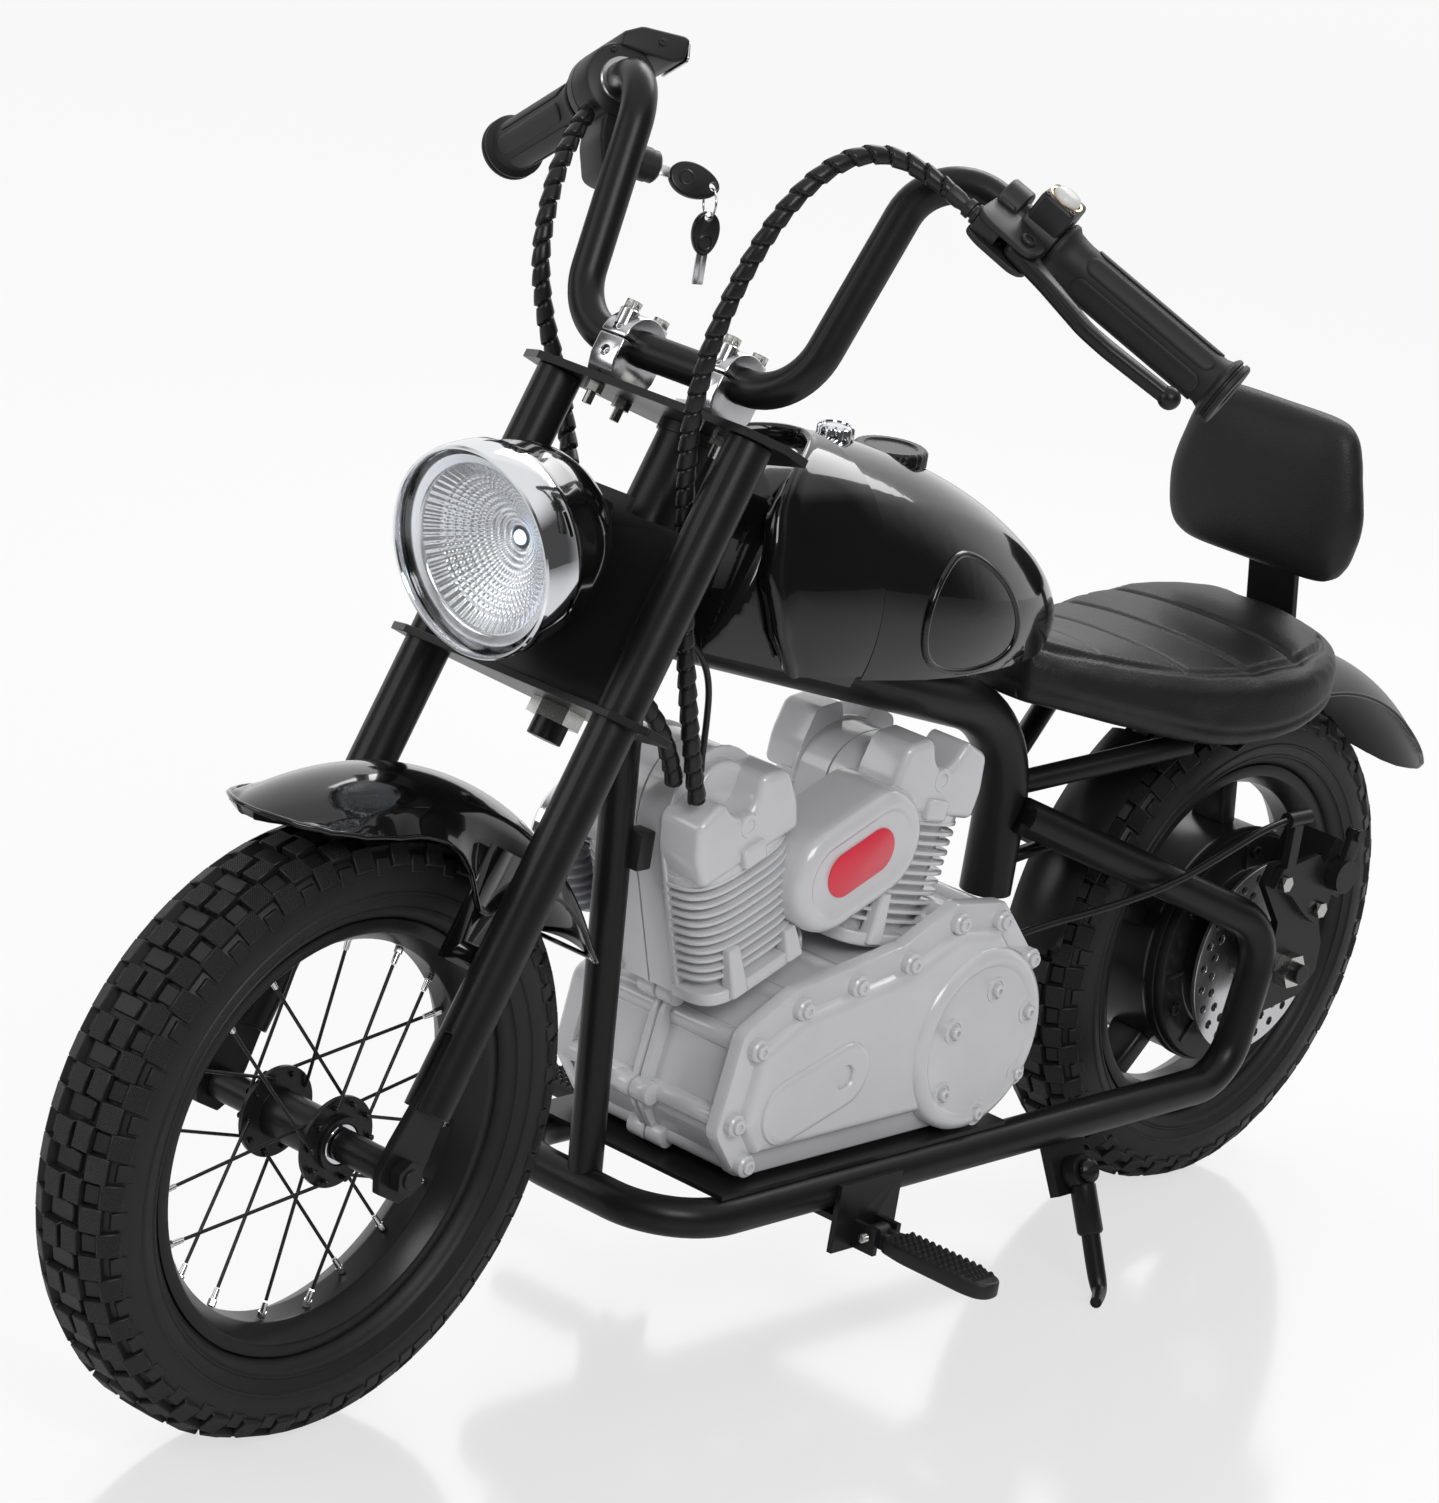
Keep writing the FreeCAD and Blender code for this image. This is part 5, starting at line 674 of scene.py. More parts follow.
clampMetal = plated("cast_chrome", (0.60, 0.60, 0.61), 0.18, (0.93, 0.93, 0.94))
brass = plated("brass_trim", (0.62, 0.45, 0.22), 0.22)
zinc = plated("zinc_plate", (0.62, 0.63, 0.64), 0.28, (0.92, 0.88, 0.78))
reflectorSilver = plated("reflector_silver", (0.93, 0.94, 0.96), 0.24)
tyreBlack = tyreRubber("tyre_rubber")
gripBlack = softRubber("grip_rubber", 0.014, 0.52)
wrapBlack = softRubber("cable_wrap", 0.012, 0.28)
leather = leatherette("black_leatherette")
brushedDisc = discSteel("brake_disc_steel")
lensClear = clearMoulding("clear_lens")
ledGlow = lampGlow("lamp_light")
print("finishes ready")


# wheels: carcass and tread blocks, rims, spokes, hubs
tyres = {
    "front": {"radius": 0.190, "half": 0.034, "rim": 0.136, "pitches": 38, "body": "front_wheel"},
    "rear": {"radius": 0.180, "half": 0.033, "rim": 0.128, "pitches": 36, "body": "rear_wheel"},
    # half section: drop from the tread's radius, share of the half width
    "shoulder": [
        (0.0052, 0.0), (0.0053, 0.18), (0.0058, 0.36), (0.0070, 0.53), (0.0094, 0.69), (0.0132, 0.825),
        (0.0180, 0.918), (0.0238, 0.971), (0.0300, 0.994), (0.0330, 0.988), (0.0338, 1.012),
        (0.0350, 1.012), (0.0358, 0.973), (0.0390, 0.956),
    ],
    # lower wall: height over the rim's lip, distance from the centre plane
    "wall": [
        (0.0105, 0.0308), (0.0098, 0.0314), (0.0088, 0.0312), (0.0082, 0.0292), (0.0058, 0.0276),
        (0.0040, 0.0262), (0.0016, 0.0233), (0.0006, 0.0190), (-0.0058, 0.0188),
    ],
    "inside": [(-0.0058, 0.0126), (0.0060, 0.0132), (0.0220, 0.0268)],
    # tread rows: distance across, drop, tilt, width, length, height, place along the pitch, hatched
    "rows": [
        (0.0078, 0.0000, 2, 0.0132, 0.0168, 0.0062, 0.0, True),
        (0.0000, 0.0026, 0, 0.0190, 0.0120, 0.0040, 0.5, False),
        (0.0214, 0.0036, 26, 0.0138, 0.0166, 0.0064, 0.5, True),
        (0.0206, 0.0062, 26, 0.0130, 0.0120, 0.0040, 0.0, False),
        (0.0298, 0.0112, 56, 0.0150, 0.0160, 0.0060, 0.0, True),
        (0.0318, 0.0170, 70, 0.0110, 0.0110, 0.0034, 0.5, False),
    ],
}


def treadBlock(width, length, height, hatched):
    bm = bmesh.new()
    bmesh.ops.create_cube(bm, size=1)
    bmesh.ops.scale(bm, vec=(width, length, height + 0.002), verts=bm.verts)
    bmesh.ops.translate(bm, vec=(0, 0, -(height + 0.002) / 2), verts=bm.verts)
    top = [v for v in bm.verts if v.co.z > -1e-5]
    bmesh.ops.scale(bm, vec=(0.93, 0.93, 1), verts=top)
    rims = [e for e in bm.edges if max(v.co.z for v in e.verts) > -1e-5]
    soften(bm, 0.0006, 1, 20, rims)
    layer = bm.loops.layers.uv.new("hatch")
    if hatched:
        crown = max(bm.faces, key=lambda face: face.calc_center_median().z)
        for loop in crown.loops:
            loop[layer].uv = (loop.vert.co.x * 1000 + 40, loop.vert.co.y * 1000 + 40)
    return bm


def buildTyre(which, node):
    size = tyres[which]
    radius, half, rim = size["radius"], size["half"], size["rim"]
    side = [(radius - drop, share * half) for drop, share in tyres["shoulder"]]
    side += [(rim + up, out) for up, out in tyres["wall"]]
    inner = [(rim + up, out) for up, out in tyres["inside"]] + [(radius - 0.0125, 0.012)]
    profile = [(r, -y) for r, y in reversed(side)] + side[1:]
    profile += inner + [(r, -y) for r, y in reversed(inner)]
    whole = bmesh.new()
    whole.loops.layers.uv.new("hatch")
    add(whole, lathe(profile, 120, closed=True))
    pitch = 2 * math.pi / size["pitches"]
    scale = half / 0.034
    for across, drop, tilt, width, length, height, phase, hatched in tyres["rows"]:
        block = treadBlock(width * scale, length, height, hatched)
        for sign in (1, -1) if across else (1,):
            lean = math.radians(tilt) * sign
            stand = Matrix.Translation((radius - drop, 0, across * scale * sign))
            out = Vector((math.cos(lean), 0, math.sin(lean)))
            side = Vector((-math.sin(lean), 0, math.cos(lean)))
            turn = Matrix((side, out.cross(side), out)).transposed().to_4x4()
            for step in range(size["pitches"]):
                spin = Matrix.Rotation((step + phase + (0.0 if sign > 0 else 0.06)) * pitch, 4, "Z")
                add(whole, block, spin @ stand @ turn, free=False)
        block.free()
    place = (frontWheel if which == "front" else rearWheel) @ zToY
    return piece(whole, which + "_tyre", size["body"], tyreBlack, [node], place, 40)


def rimProfile(lip):
    half = 0.023
    right = [(lip, half), (lip, half - 0.004), (lip - 0.006, half - 0.004), (lip - 0.010, 0.009)]
    inner = [(lip - 0.017, 0.009), (lip - 0.008, half)]
    mirror = [(r, -y) for r, y in reversed(right)] + [(r, -y) for r, y in reversed(inner)]
    return right + mirror + inner


spokes = {"pairs": 10, "circle": 0.024, "lean": 45, "wire": 0.0011, "nipple": 0.0021, "length": 0.012}


def wheelSpot(radius, angle, along):
    turn = math.radians(angle)
    return Vector((radius * math.cos(turn), along, radius * math.sin(turn)))


def buildFrontWheel():
    rim = lathe(rimProfile(0.136), 128, closed=True, soft=0.0009, softSegments=2)
    piece(
        rim, "front_rim_band", "front_wheel", metalBlack, ["front_rim"],
        frontWheel @ zToY,
    )
    wires, nipples = bmesh.new(), bmesh.new()
    for side in (1, -1):
        for step in range(spokes["pairs"]):
            angle = step * 360 / spokes["pairs"]
            outer = (step % 2 == 0) == (side > 0)
            lean = spokes["lean"] if outer else -spokes["lean"]
            start = wheelSpot(spokes["circle"], angle, side * (0.030 if outer else 0.0226))
            end = wheelSpot(0.1181, angle + lean, side * 0.004)
            inward = (start - end).normalized()
            foot = end + inward * spokes["length"]
            add(wires, rod(start, foot, spokes["wire"], 10))
            low = wheelSpot(spokes["circle"], angle, side * 0.0215)
            high = wheelSpot(spokes["circle"], angle, side * 0.0310)
            add(wires, rod(low, high, spokes["wire"] * 1.15, 10, soft=0.0003))
            add(wires, rod(high, high + Vector((0, side * 0.0008, 0)), 0.0021, 12, tip=0.0014))
            add(
                nipples,
                rod(foot - inward * 0.001, end, spokes["nipple"] * 0.8, 12, tip=spokes["nipple"]),
            )
            add(nipples, rod(end + inward * 0.004, end, spokes["nipple"] * 1.25, 6))
    piece(wires, "front_spokes", "front_wheel", metalBlack, ["front_spoke_set"], frontWheel)
    piece(nipples, "spoke_nipples", "front_wheel", brightAlloy, (), frontWheel)
    dressed("front_hub_set", metalBlack, 0.0005)
    rings = bmesh.new()
    for side in (1, -1):
        shield = lathe([(0.0086, 0.0300), (0.0092, 0.0306), (0.0122, 0.0306), (0.0129, 0.0300)], 48)
        add(rings, shield, Matrix.Rotation(0 if side > 0 else math.pi, 4, "X"))
    piece(rings, "hub_bearing_shields", "front_wheel", chrome, (), frontWheel @ zToY)


rearHub = {
    "rim": 0.128,
    "spokes": 5,
    "drum": [
        (0.078, -0.034), (0.085, -0.034), (0.085, -0.026), (0.0835, -0.0245), (0.0835, 0.0245),
        (0.085, 0.026), (0.085, 0.034), (0.078, 0.034),
    ],
    "arm": [(0.081, -0.015), (0.115, -0.011), (0.115, 0.011), (0.081, 0.015)],
    "armThick": 0.016,
    "cover": [
        (0.010, 0.0342), (0.0838, 0.0342), (0.082, 0.0402), (0.060, 0.0402), (0.058, 0.0388),
        (0.044, 0.0388), (0.042, 0.0402), (0.033, 0.0402), (0.029, 0.0552), (0.0165, 0.0552),
        (0.0165, 0.0540), (0.0075, 0.0540),
    ],
    "rib": [(0.060, -0.0012), (0.078, -0.0012), (0.078, 0.0012), (0.060, 0.0012)],
    "screwCircle": 0.071,
    "boltCircle": 0.0235,
}


def buildRearWheel():
    casting = lathe(rimProfile(rearHub["rim"]), 128, closed=True, soft=0.0009)
    add(casting, lathe(rearHub["drum"], 96, closed=True, soft=0.0012))
    for step in range(rearHub["spokes"]):
        arm = slab(rearHub["arm"], rearHub["armThick"], soft=0.004)
        turn = Matrix.Rotation(math.radians(-(18 + step * 72)), 4, "Z")
        lay = Matrix.Rotation(math.radians(90), 4, "X")
        add(casting, arm, turn @ lay @ Matrix.Translation((0, 0, -rearHub["armThick"] / 2)))
    piece(
        casting, "rear_wheel_cast", "rear_wheel", metalBlack, ["rear_wheel_casting"],
        rearWheel @ zToY,
    )
    covers = bmesh.new()
    for side in (1, -1):
        turn = Matrix.Rotation(0 if side > 0 else math.pi, 4, "X")
        add(covers, lathe(rearHub["cover"], 96, soft=0.0009), turn)
        for step in range(6):
            spot = wheelSpot(rearHub["screwCircle"], 30 + step * 60, 0)
            seat = Matrix.Translation((spot.x, spot.z, 0.0402))
            add(covers, capScrew(0.0045, 0.0026), turn @ seat)
        for step in range(8):
            rib = slab(rearHub["rib"], 0.0018, soft=0.0005)
            lay = Matrix.Rotation(math.radians(45 * step + 8), 4, "Z")
            add(covers, rib, turn @ lay @ Matrix.Translation((0, 0, 0.0398)))
    piece(
        covers, "motor_cover_pair", "rear_wheel", metalBlack, ["motor_covers"],
        rearWheel @ zToY,
    )
    bolts = bmesh.new()
    for step in range(5):
        spot = wheelSpot(rearHub["boltCircle"], 18 + step * 72, 0)
        add(bolts, capScrew(0.0036, 0.0034), Matrix.Translation((spot.x, spot.z, 0.0586)))
    piece(bolts, "disc_bolts", "rear_wheel", zinc, (), rearWheel @ zToY)


buildTyre("front", "front_tyre_set")
buildTyre("rear", "rear_tyre_set")
buildFrontWheel()
buildRearWheel()
print("wheels built")


# headlight, made about Z and turned to look ahead
headlight = {
    "rimReach": 0.0641,
    "rimBack": -0.0200,
    "bowlRings": 12,
    "bowlCells": 60,
    "bowlReach": 0.0500,
    "bowlDeep": 0.0310,
    "dimple": 0.0011,
    "ledReach": 0.0046,
    "ledFloor": -0.0372,
    "slotTurns": (14, 70, 118, 190, 250, 310),
    "shell": [
        (0.0570, -0.0020), (0.0600, -0.0020), (0.0603, -0.0100), (0.0603, -0.0230), (0.0599, -0.0262),
        (0.0588, -0.0290), (0.0574, -0.0400), (0.0548, -0.0500), (0.0504, -0.0600), (0.0436, -0.0690),
        (0.0344, -0.0764), (0.0232, -0.0816), (0.0110, -0.0844), (0.0, -0.0850),
    ],
    "shellInside": [
        (0.0, -0.0820), (0.0330, -0.0735), (0.0500, -0.0570), (0.0560, -0.0380), (0.0570, -0.0020),
    ],
    "lensFront": [
        (0.0, 0.0050), (0.0180, 0.0047), (0.0330, 0.0039), (0.0460, 0.0026), (0.0550, 0.0012),
        (0.0604, 0.0002),
    ],
    "lensBack": [
        (0.0604, -0.0020), (0.0550, -0.0010), (0.0460, 0.0004), (0.0330, 0.0017), (0.0180, 0.0025),
        (0.0, 0.0028),
    ],
}
lampPlace = lampFrame @ zToX


def buildLampRim():
    outer = headlight["rimReach"]
    back = headlight["rimBack"]
    profile = [
        (0.0606, -0.0006), (0.0608, 0.0040), (0.0615, 0.0055), (0.0626, 0.0058), (0.0636, 0.0046),
        (outer, 0.0012), (outer + 0.0002, -0.0060), (outer - 0.0002, -0.0140), (outer - 0.0010, back),
        (outer - 0.0020, back - 0.0004), (0.0612, back + 0.0004), (0.0611, -0.0030),
    ]
    rim = lathe(profile, 120, closed=True)
    slots = bmesh.new()
    for turn in headlight["slotTurns"]:
        slot = box((0.058, -0.0075, back + 0.0016), (0.070, 0.0075, back + 0.0046))
        add(slots, slot, Matrix.Rotation(math.radians(turn), 4, "Z"))
    rim = carve(rim, slots)
    return piece(rim, "headlight_rim_chrome", "fork", chrome, ["headlight_rim"], lampPlace, 30)


def buildLampBucket():
    shell = lathe(headlight["shell"], 96)
    add(shell, lathe(headlight["shellInside"], 64))
    clean(shell, 1e-5)
    return piece(
        shell, "headlight_shell", "fork", gloss, ["headlight_bucket"], lampPlace, 40,
    )


def buildReflector():
    rings, cells = headlight["bowlRings"], headlight["bowlCells"]
    reach, deep = headlight["bowlReach"], headlight["bowlDeep"]
    profile = []
    for step in range(4 * rings + 1):
        share = 0.14 + 0.86 * step / (4 * rings)
        profile.append((reach * share, -0.0085 - deep * (1 - share ** 1.5)))
    bowl = lathe(profile, 4 * cells)
    for vert in bowl.verts:
        far = math.hypot(vert.co.x, vert.co.y) / reach
        turn = math.atan2(vert.co.y, vert.co.x)
        rib = 0.5 + 0.5 * math.cos(turn * cells)
        row = 0.5 + 0.5 * math.cos(2 * math.pi * (far - 0.14) / 0.86 * rings)
        lift = 1.3 * rib if far > 0.87 else 2.0 * rib * row * (0.3 + 0.7 * far)
        vert.co.z += headlight["dimple"] * lift
    flange = [
        (reach, -0.0085), (reach + 0.0004, -0.0060), (reach + 0.0018, -0.0052),
        (reach + 0.0050, -0.0046), (0.0596, -0.0028), (0.0602, -0.0032), (0.0602, -0.0075),
        (reach + 0.0030, -0.0100), (reach, -0.0110),
    ]
    add(bowl, lathe(flange, 96, closed=True))
    return piece(
        bowl, "headlight_bowl", "fork", reflectorSilver, ["headlight_reflector"], lampPlace,
        60,
    )


def buildLed():
    led = headlight["ledReach"]
    floor = headlight["ledFloor"]
    holder = [
        (0, floor - 0.004), (0.0075, floor - 0.004), (0.0075, floor - 0.0008), (0.0062, floor),
        (0.0, floor),
    ]
    piece(
        lathe(holder, 40, soft=0.0003), "headlight_seat", "fork", plastic, (),
        lampPlace,
    )
    dome = [(0, floor + led * 0.8)]
    for step in range(1, 9):
        turn = math.radians(90 * step / 8)
        dome.append((led * math.sin(turn), floor + led * 0.8 * math.cos(turn)))
    dome.append((0, floor))
    piece(lathe(dome, 40), "headlight_led", "fork", ledGlow, (), lampPlace)


def buildLens():
    lens = lathe(headlight["lensFront"] + headlight["lensBack"], 96)
    return piece(lens, "headlight_glass", "fork", lensClear, ["headlight_lens"], lampPlace, 50)


buildLampRim()
buildLampBucket()
buildReflector()
buildLed()
buildLens()
print("headlight ready")


# cables; each route repeats the control points of its solid
cables = {
    "wrapReach": 0.0060,
    "wrapGroove": 0.0023,
    "wrapPitch": 0.0120,
    "wrapStep": 0.0012,
    "left": [
        (0.1700, 0.1400, 0.7745), (0.1812, 0.1142, 0.7894), (0.213, 0.098, 0.788), (0.242, 0.086, 0.762),
        (0.260, 0.074, 0.718), (0.268, 0.063, 0.668), (0.266, 0.056, 0.618), (0.255, 0.052, 0.572),
        (0.244, 0.051, 0.530), (0.234, 0.050, 0.490), (0.222, 0.050, 0.447), (0.206, 0.049, 0.402),
        (0.193, 0.047, 0.374),
    ],
    "right": [
        (0.1530, -0.1593, 0.7478), (0.178, -0.150, 0.731), (0.200, -0.138, 0.703),
        (0.210, -0.130, 0.666), (0.203, -0.124, 0.628), (0.192, -0.114, 0.592), (0.196, -0.096, 0.558),
        (0.216, -0.070, 0.534), (0.2758, -0.0340, 0.5003), (0.2856, 0.0060, 0.4805),
        (0.2675, 0.0400, 0.4583), (0.224, 0.042, 0.418), (0.204, 0.036, 0.384),
    ],
    "brake": [
        (-0.133, 0.036, 0.222), (-0.180, 0.040, 0.232), (-0.236, 0.052, 0.240), (-0.290, 0.070, 0.257),
        (-0.338, 0.082, 0.282), (-0.362, 0.0842, 0.291), (-0.3854, 0.0852, 0.294),
    ],
    "lead": [
        (0.246, 0.021, 0.484), (0.226, 0.035, 0.484), (0.204, 0.040, 0.468), (0.188, 0.038, 0.446),
        (0.180, 0.034, 0.415), (0.173, 0.029, 0.384), (0.160, 0.024, 0.360),
    ],
}


# a flat strip wound round the cables: each turn lifts a little towards its trailing edge
def spiralWrap(line):
    length = lengthOf(line)
    count = round(length / cables["wrapStep"])
    levels = []
    for step in range(count + 1):
        height = length * step / count
        ring = []
        for corner in range(20):
            turn = corner / 20
            share = (height / cables["wrapPitch"] - turn) % 1.0
            drop = cables["wrapGroove"] if share < 0.11 else 0.0014 * (1 - share) ** 1.5
            reach = cables["wrapReach"] - drop
            ring.append((reach * math.cos(2 * math.pi * turn), reach * math.sin(2 * math.pi * turn)))
        levels.append((ring, height))
    return bendAlong(stack(levels), line)


def plainCable(line, radius, steps=16):
    length = lengthOf(line)
    count = max(8, round(length / 0.004))
    levels = [(circle(radius, steps), length * step / count) for step in range(count + 1)]
    return bendAlong(stack(levels), line)


def buildCords():
    for name, start, end in (
        ("left", (0.268, 0.063, 0.668), (0.222, 0.050, 0.447)),
        ("right", (0.2758, -0.034, 0.5003), (0.212, 0.038, 0.398)),
    ):
        line = routeLine(cables[name])
        wrap = piece(
            spiralWrap(line), name + "_spiral_wrap", None, wrapBlack,
            [name + "_cable_wrap"], angle=60,
        )
        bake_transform(wrap)
    line = routeLine(cables["brake"])
    cable = piece(
        plainCable(line, 0.0026), "brake_cable_jacket", "frame", wrapBlack,
        ["brake_cable"],
    )
    line = routeLine(cables["lead"])
    lead = piece(plainCable(line, 0.0021), "lamp_lead", "frame", wrapBlack)


buildCords()
print("cables ready")


# seat and backrest: filled covers, then their seams
seat = {
    "floors": [
        (0.0, 0.390), (0.08, 0.386), (0.27, 0.373), (0.48, 0.362), (0.68, 0.363), (0.86, 0.374),
        (1.0, 0.388),
    ],
    "rims": [
        (0.0, 0.424), (0.08, 0.417), (0.27, 0.407), (0.48, 0.402), (0.68, 0.405), (0.86, 0.410),
        (1.0, 0.413),
    ],
    "widths": [
        (0.0, 0.27), (0.08, 0.45), (0.27, 0.70), (0.48, 0.93), (0.68, 1.02), (0.86, 0.95), (0.96, 0.74),
        (1.0, 0.58),
    ],
    "nose": -0.146,
    "tail": -0.438,
    "half": 0.097,
    "crown": 0.010,
    "edge": 0.007,
    "seams": (0.40, 0.57, 0.74),
    "seamDeep": 0.0022,
    "weltIn": 0.017,
    "weltDeep": 0.0024,
    "voxel": 0.0036,
    "pressure": 2.5,
    "swell": 0.0025,
    "ease": 4,
    "fill": 0.75,
}
backrest = {"voxel": 0.0045, "pressure": 4.0, "swell": 0.007, "ease": 26, "spread": 1.06, "fill": 0.8}


def copyOf(node):
    bm = merged(node)
    low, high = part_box(node)
    middle = (Vector(low) + Vector(high)) / 2
    for vert in bm.verts:
        vert.co = middle + (vert.co - middle) * 0.988
    return bm


def relax(bm, times):
    for again in range(times):
        bmesh.ops.smooth_vert(
            bm, verts=bm.verts, factor=0.5, use_axis_x=True, use_axis_y=True, use_axis_z=True,
        )


# a form remeshed evenly and blown up as cloth, its points held within a small reach
def filledCover(bm, settings):
    holder = held(bm)
    even = holder.modifiers.new("even", "REMESH")
    even.mode = "VOXEL"
    even.voxel_size = settings["voxel"]
    bm = baked(holder)
    relax(bm, 1)
    starts = [vert.co.copy() for vert in bm.verts]
    holder = held(bm)
    cloth = holder.modifiers.new("cover", "CLOTH")
    cloth.settings.use_pressure = True
    cloth.settings.uniform_pressure_force = settings["pressure"]
    cloth.settings.effector_weights.gravity = 0
    cloth.settings.quality = 5
    cloth.point_cache.frame_start = 1
    cloth.point_cache.frame_end = 20
    scene = bpy.context.scene
    for step in range(1, 21):
        scene.frame_set(step)
    bm = baked(holder)
    scene.frame_set(1)
    for vert, start in zip(bm.verts, starts):
        shift = vert.co - start
        if shift.length > settings["swell"]:
            vert.co = start + shift.normalized() * settings["swell"]
    relax(bm, settings["ease"])
    holder = held(bm)
    finer = holder.modifiers.new("finer", "SUBSURF")
    finer.levels = finer.render_levels = 1
    return baked(holder)


# value on the smooth curve through listed places
def curved(steps, share):
    index = max(i for i, (place, value) in enumerate(steps[:-1]) if place <= share or i == 0)
    (a, first), (b, second) = steps[index], steps[index + 1]
    before = steps[index - 1] if index else steps[index]
    after = steps[index + 2] if index + 2 < len(steps) else steps[index + 1]
    leave = (second - before[1]) / (b - before[0]) * (b - a)
    arrive = (after[1] - first) / (after[0] - a) * (b - a)
    t = (share - a) / (b - a)
    return (
        first * (2 * t ** 3 - 3 * t ** 2 + 1) + leave * (t ** 3 - 2 * t ** 2 + t)
        + second * (3 * t ** 2 - 2 * t ** 3) + arrive * (t ** 3 - t ** 2)
    )


def seatRow(x):
    share = min(max((seat["nose"] - x) / (seat["nose"] - seat["tail"]), 0.0), 1.0)
    return share, curved(seat["floors"], share), seat["half"] * curved(seat["widths"], share)


# flat-topped form with upright sides, lofted from nose to tail
def seatForm():
    levels = []
    for step in range(57):
        share = step / 56
        x = seat["nose"] + (seat["tail"] - seat["nose"]) * share
        share, floor, half = seatRow(x)
        rim = curved(seat["rims"], share)
        ring = rounded([(-half, floor), (half, floor), (half, rim), (-half, rim)], seat["edge"], 0.0, 4)
        levels.append((ring, x))
    form = stack(levels)
    turn = Matrix(((0, 0, 1, 0), (1, 0, 0, 0), (0, 1, 0, 0), (0, 0, 0, 1)))
    moved(form, turn)
    bmesh.ops.recalc_face_normals(form, faces=form.faces)
    return form


def dip(distance, width):
    return math.exp(-(distance / width) ** 2)


def buildSeat():
    bm = filledCover(seatForm(), seat)
    bm.normal_update()
    length = seat["nose"] - seat["tail"]
    for vert in bm.verts:
        share, floor, half = seatRow(vert.co.x)
        normal = vert.normal.copy()
        edge = min(half - abs(vert.co.y), vert.co.x - seat["tail"] + 0.002)
        rim = curved(seat["rims"], share)
        if normal.z > 0.35:
            welt = seat["weltDeep"] * dip(edge - seat["weltIn"], 0.0026)
            sewn = 0.0
            if edge > seat["weltIn"] and share > 0.2:
                near = min(abs(share - place) for place in seat["seams"]) * length
                sewn = seat["seamDeep"] * dip(near, 0.0026) - 0.0006 * (1 - dip(near, 0.012))
            vert.co -= normal * (max(welt, sewn) if welt > 0.0004 else sewn)
        elif abs(normal.z) < 0.6:
            vert.co -= normal * 0.0012 * dip(vert.co.z - floor - 0.010, 0.0020)
        lifted = min(max((vert.co.z - rim + 0.010) / 0.010, 0.0), 1.0)
        vert.co.z += seat["crown"] * lifted * (1 - min(abs(vert.co.y) / half, 1.0) ** 2.4)
    cover = piece(bm, "seat_cover", "frame", leather, ["seat_cushion"], angle=180)


def buildBackrest():
    bm = filledCover(copyOf("backrest_pad"), backrest)
    low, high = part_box("backrest_pad")
    middle = (Vector(low) + Vector(high)) / 2
    for vert in bm.verts:
        vert.co.y *= backrest["spread"]
        vert.co.z = middle.z + (vert.co.z - middle.z) * backrest["spread"]
    pad = piece(bm, "backrest_cover", "frame", leather, ["backrest_pad"], angle=180)


buildSeat()
buildBackrest()
print("seat ready")


# tank trim: rolled front lip, bare side badges, two caps
tank = {
    "lipRows": [
        (0.086, 0.4360, 0.5844, 0.0808), (0.112, 0.4372, 0.5876, 0.0781),
        (0.145, 0.4400, 0.5886, 0.0718), (0.185, 0.4460, 0.5850, 0.0612),
    ],
    "lipSweep": [
        (0, 0.094), (12, 0.106), (24, 0.130), (36, 0.152), (50, 0.168), (80, 0.176), (110, 0.162),
        (130, 0.140),
    ],
    "lipBead": [
        (-0.0050, 0.0004), (-0.0034, 0.0010), (-0.0016, 0.0014), (0.0002, 0.0012), (0.0016, 0.0004),
        (0.0026, -0.0012), (0.0031, -0.0036), (0.0031, -0.0066), (0.0026, -0.0085),
    ],
    "lipMiddle": 0.500,
    "badge": [
        (0.022, 0.523), (-0.002, 0.518), (-0.032, 0.498), (-0.050, 0.470), (-0.044, 0.449),
        (-0.006, 0.443), (0.034, 0.451), (0.050, 0.473), (0.046, 0.502),
    ],
    "badgeRim": 0.0024,
    "smallCap": {"x": 0.062, "reach": 0.012},
    "bigCap": {"x": 0.005, "reach": 0.024},
}


# points on the round arc through three points
def arcThrough(a, b, c, count):
    a, b, c = Vector(a), Vector(b), Vector(c)
    d = 2 * (a.x * (b.y - c.y) + b.x * (c.y - a.y) + c.x * (a.y - b.y))
    sq = [v.length_squared for v in (a, b, c)]
    middle = Vector((
        (sq[0] * (b.y - c.y) + sq[1] * (c.y - a.y) + sq[2] * (a.y - b.y)) / d,
        (sq[0] * (c.x - b.x) + sq[1] * (a.x - c.x) + sq[2] * (b.x - a.x)) / d,
    ))
    start, end = a - middle, c - middle
    sweep = math.atan2(start.x * end.y - start.y * end.x, start.dot(end))
    return [middle + Matrix.Rotation(sweep * step / count, 2) @ start for step in range(count + 1)]


def skinOf(node):
    source = frame["nodes"][node].data
    corners = [vert.co for vert in source.vertices]
    return BVHTree.FromPolygons(corners, [tuple(face.vertices) for face in source.polygons])


# value at a place on the smooth curve through all rows
def throughRows(rows, column, x):
    value = 0.0
    for row in rows:
        share = 1.0
        for other in rows:
            if other is not row:
                share *= (x - other[0]) / (row[0] - other[0])
        value += row[column] * share
    return value


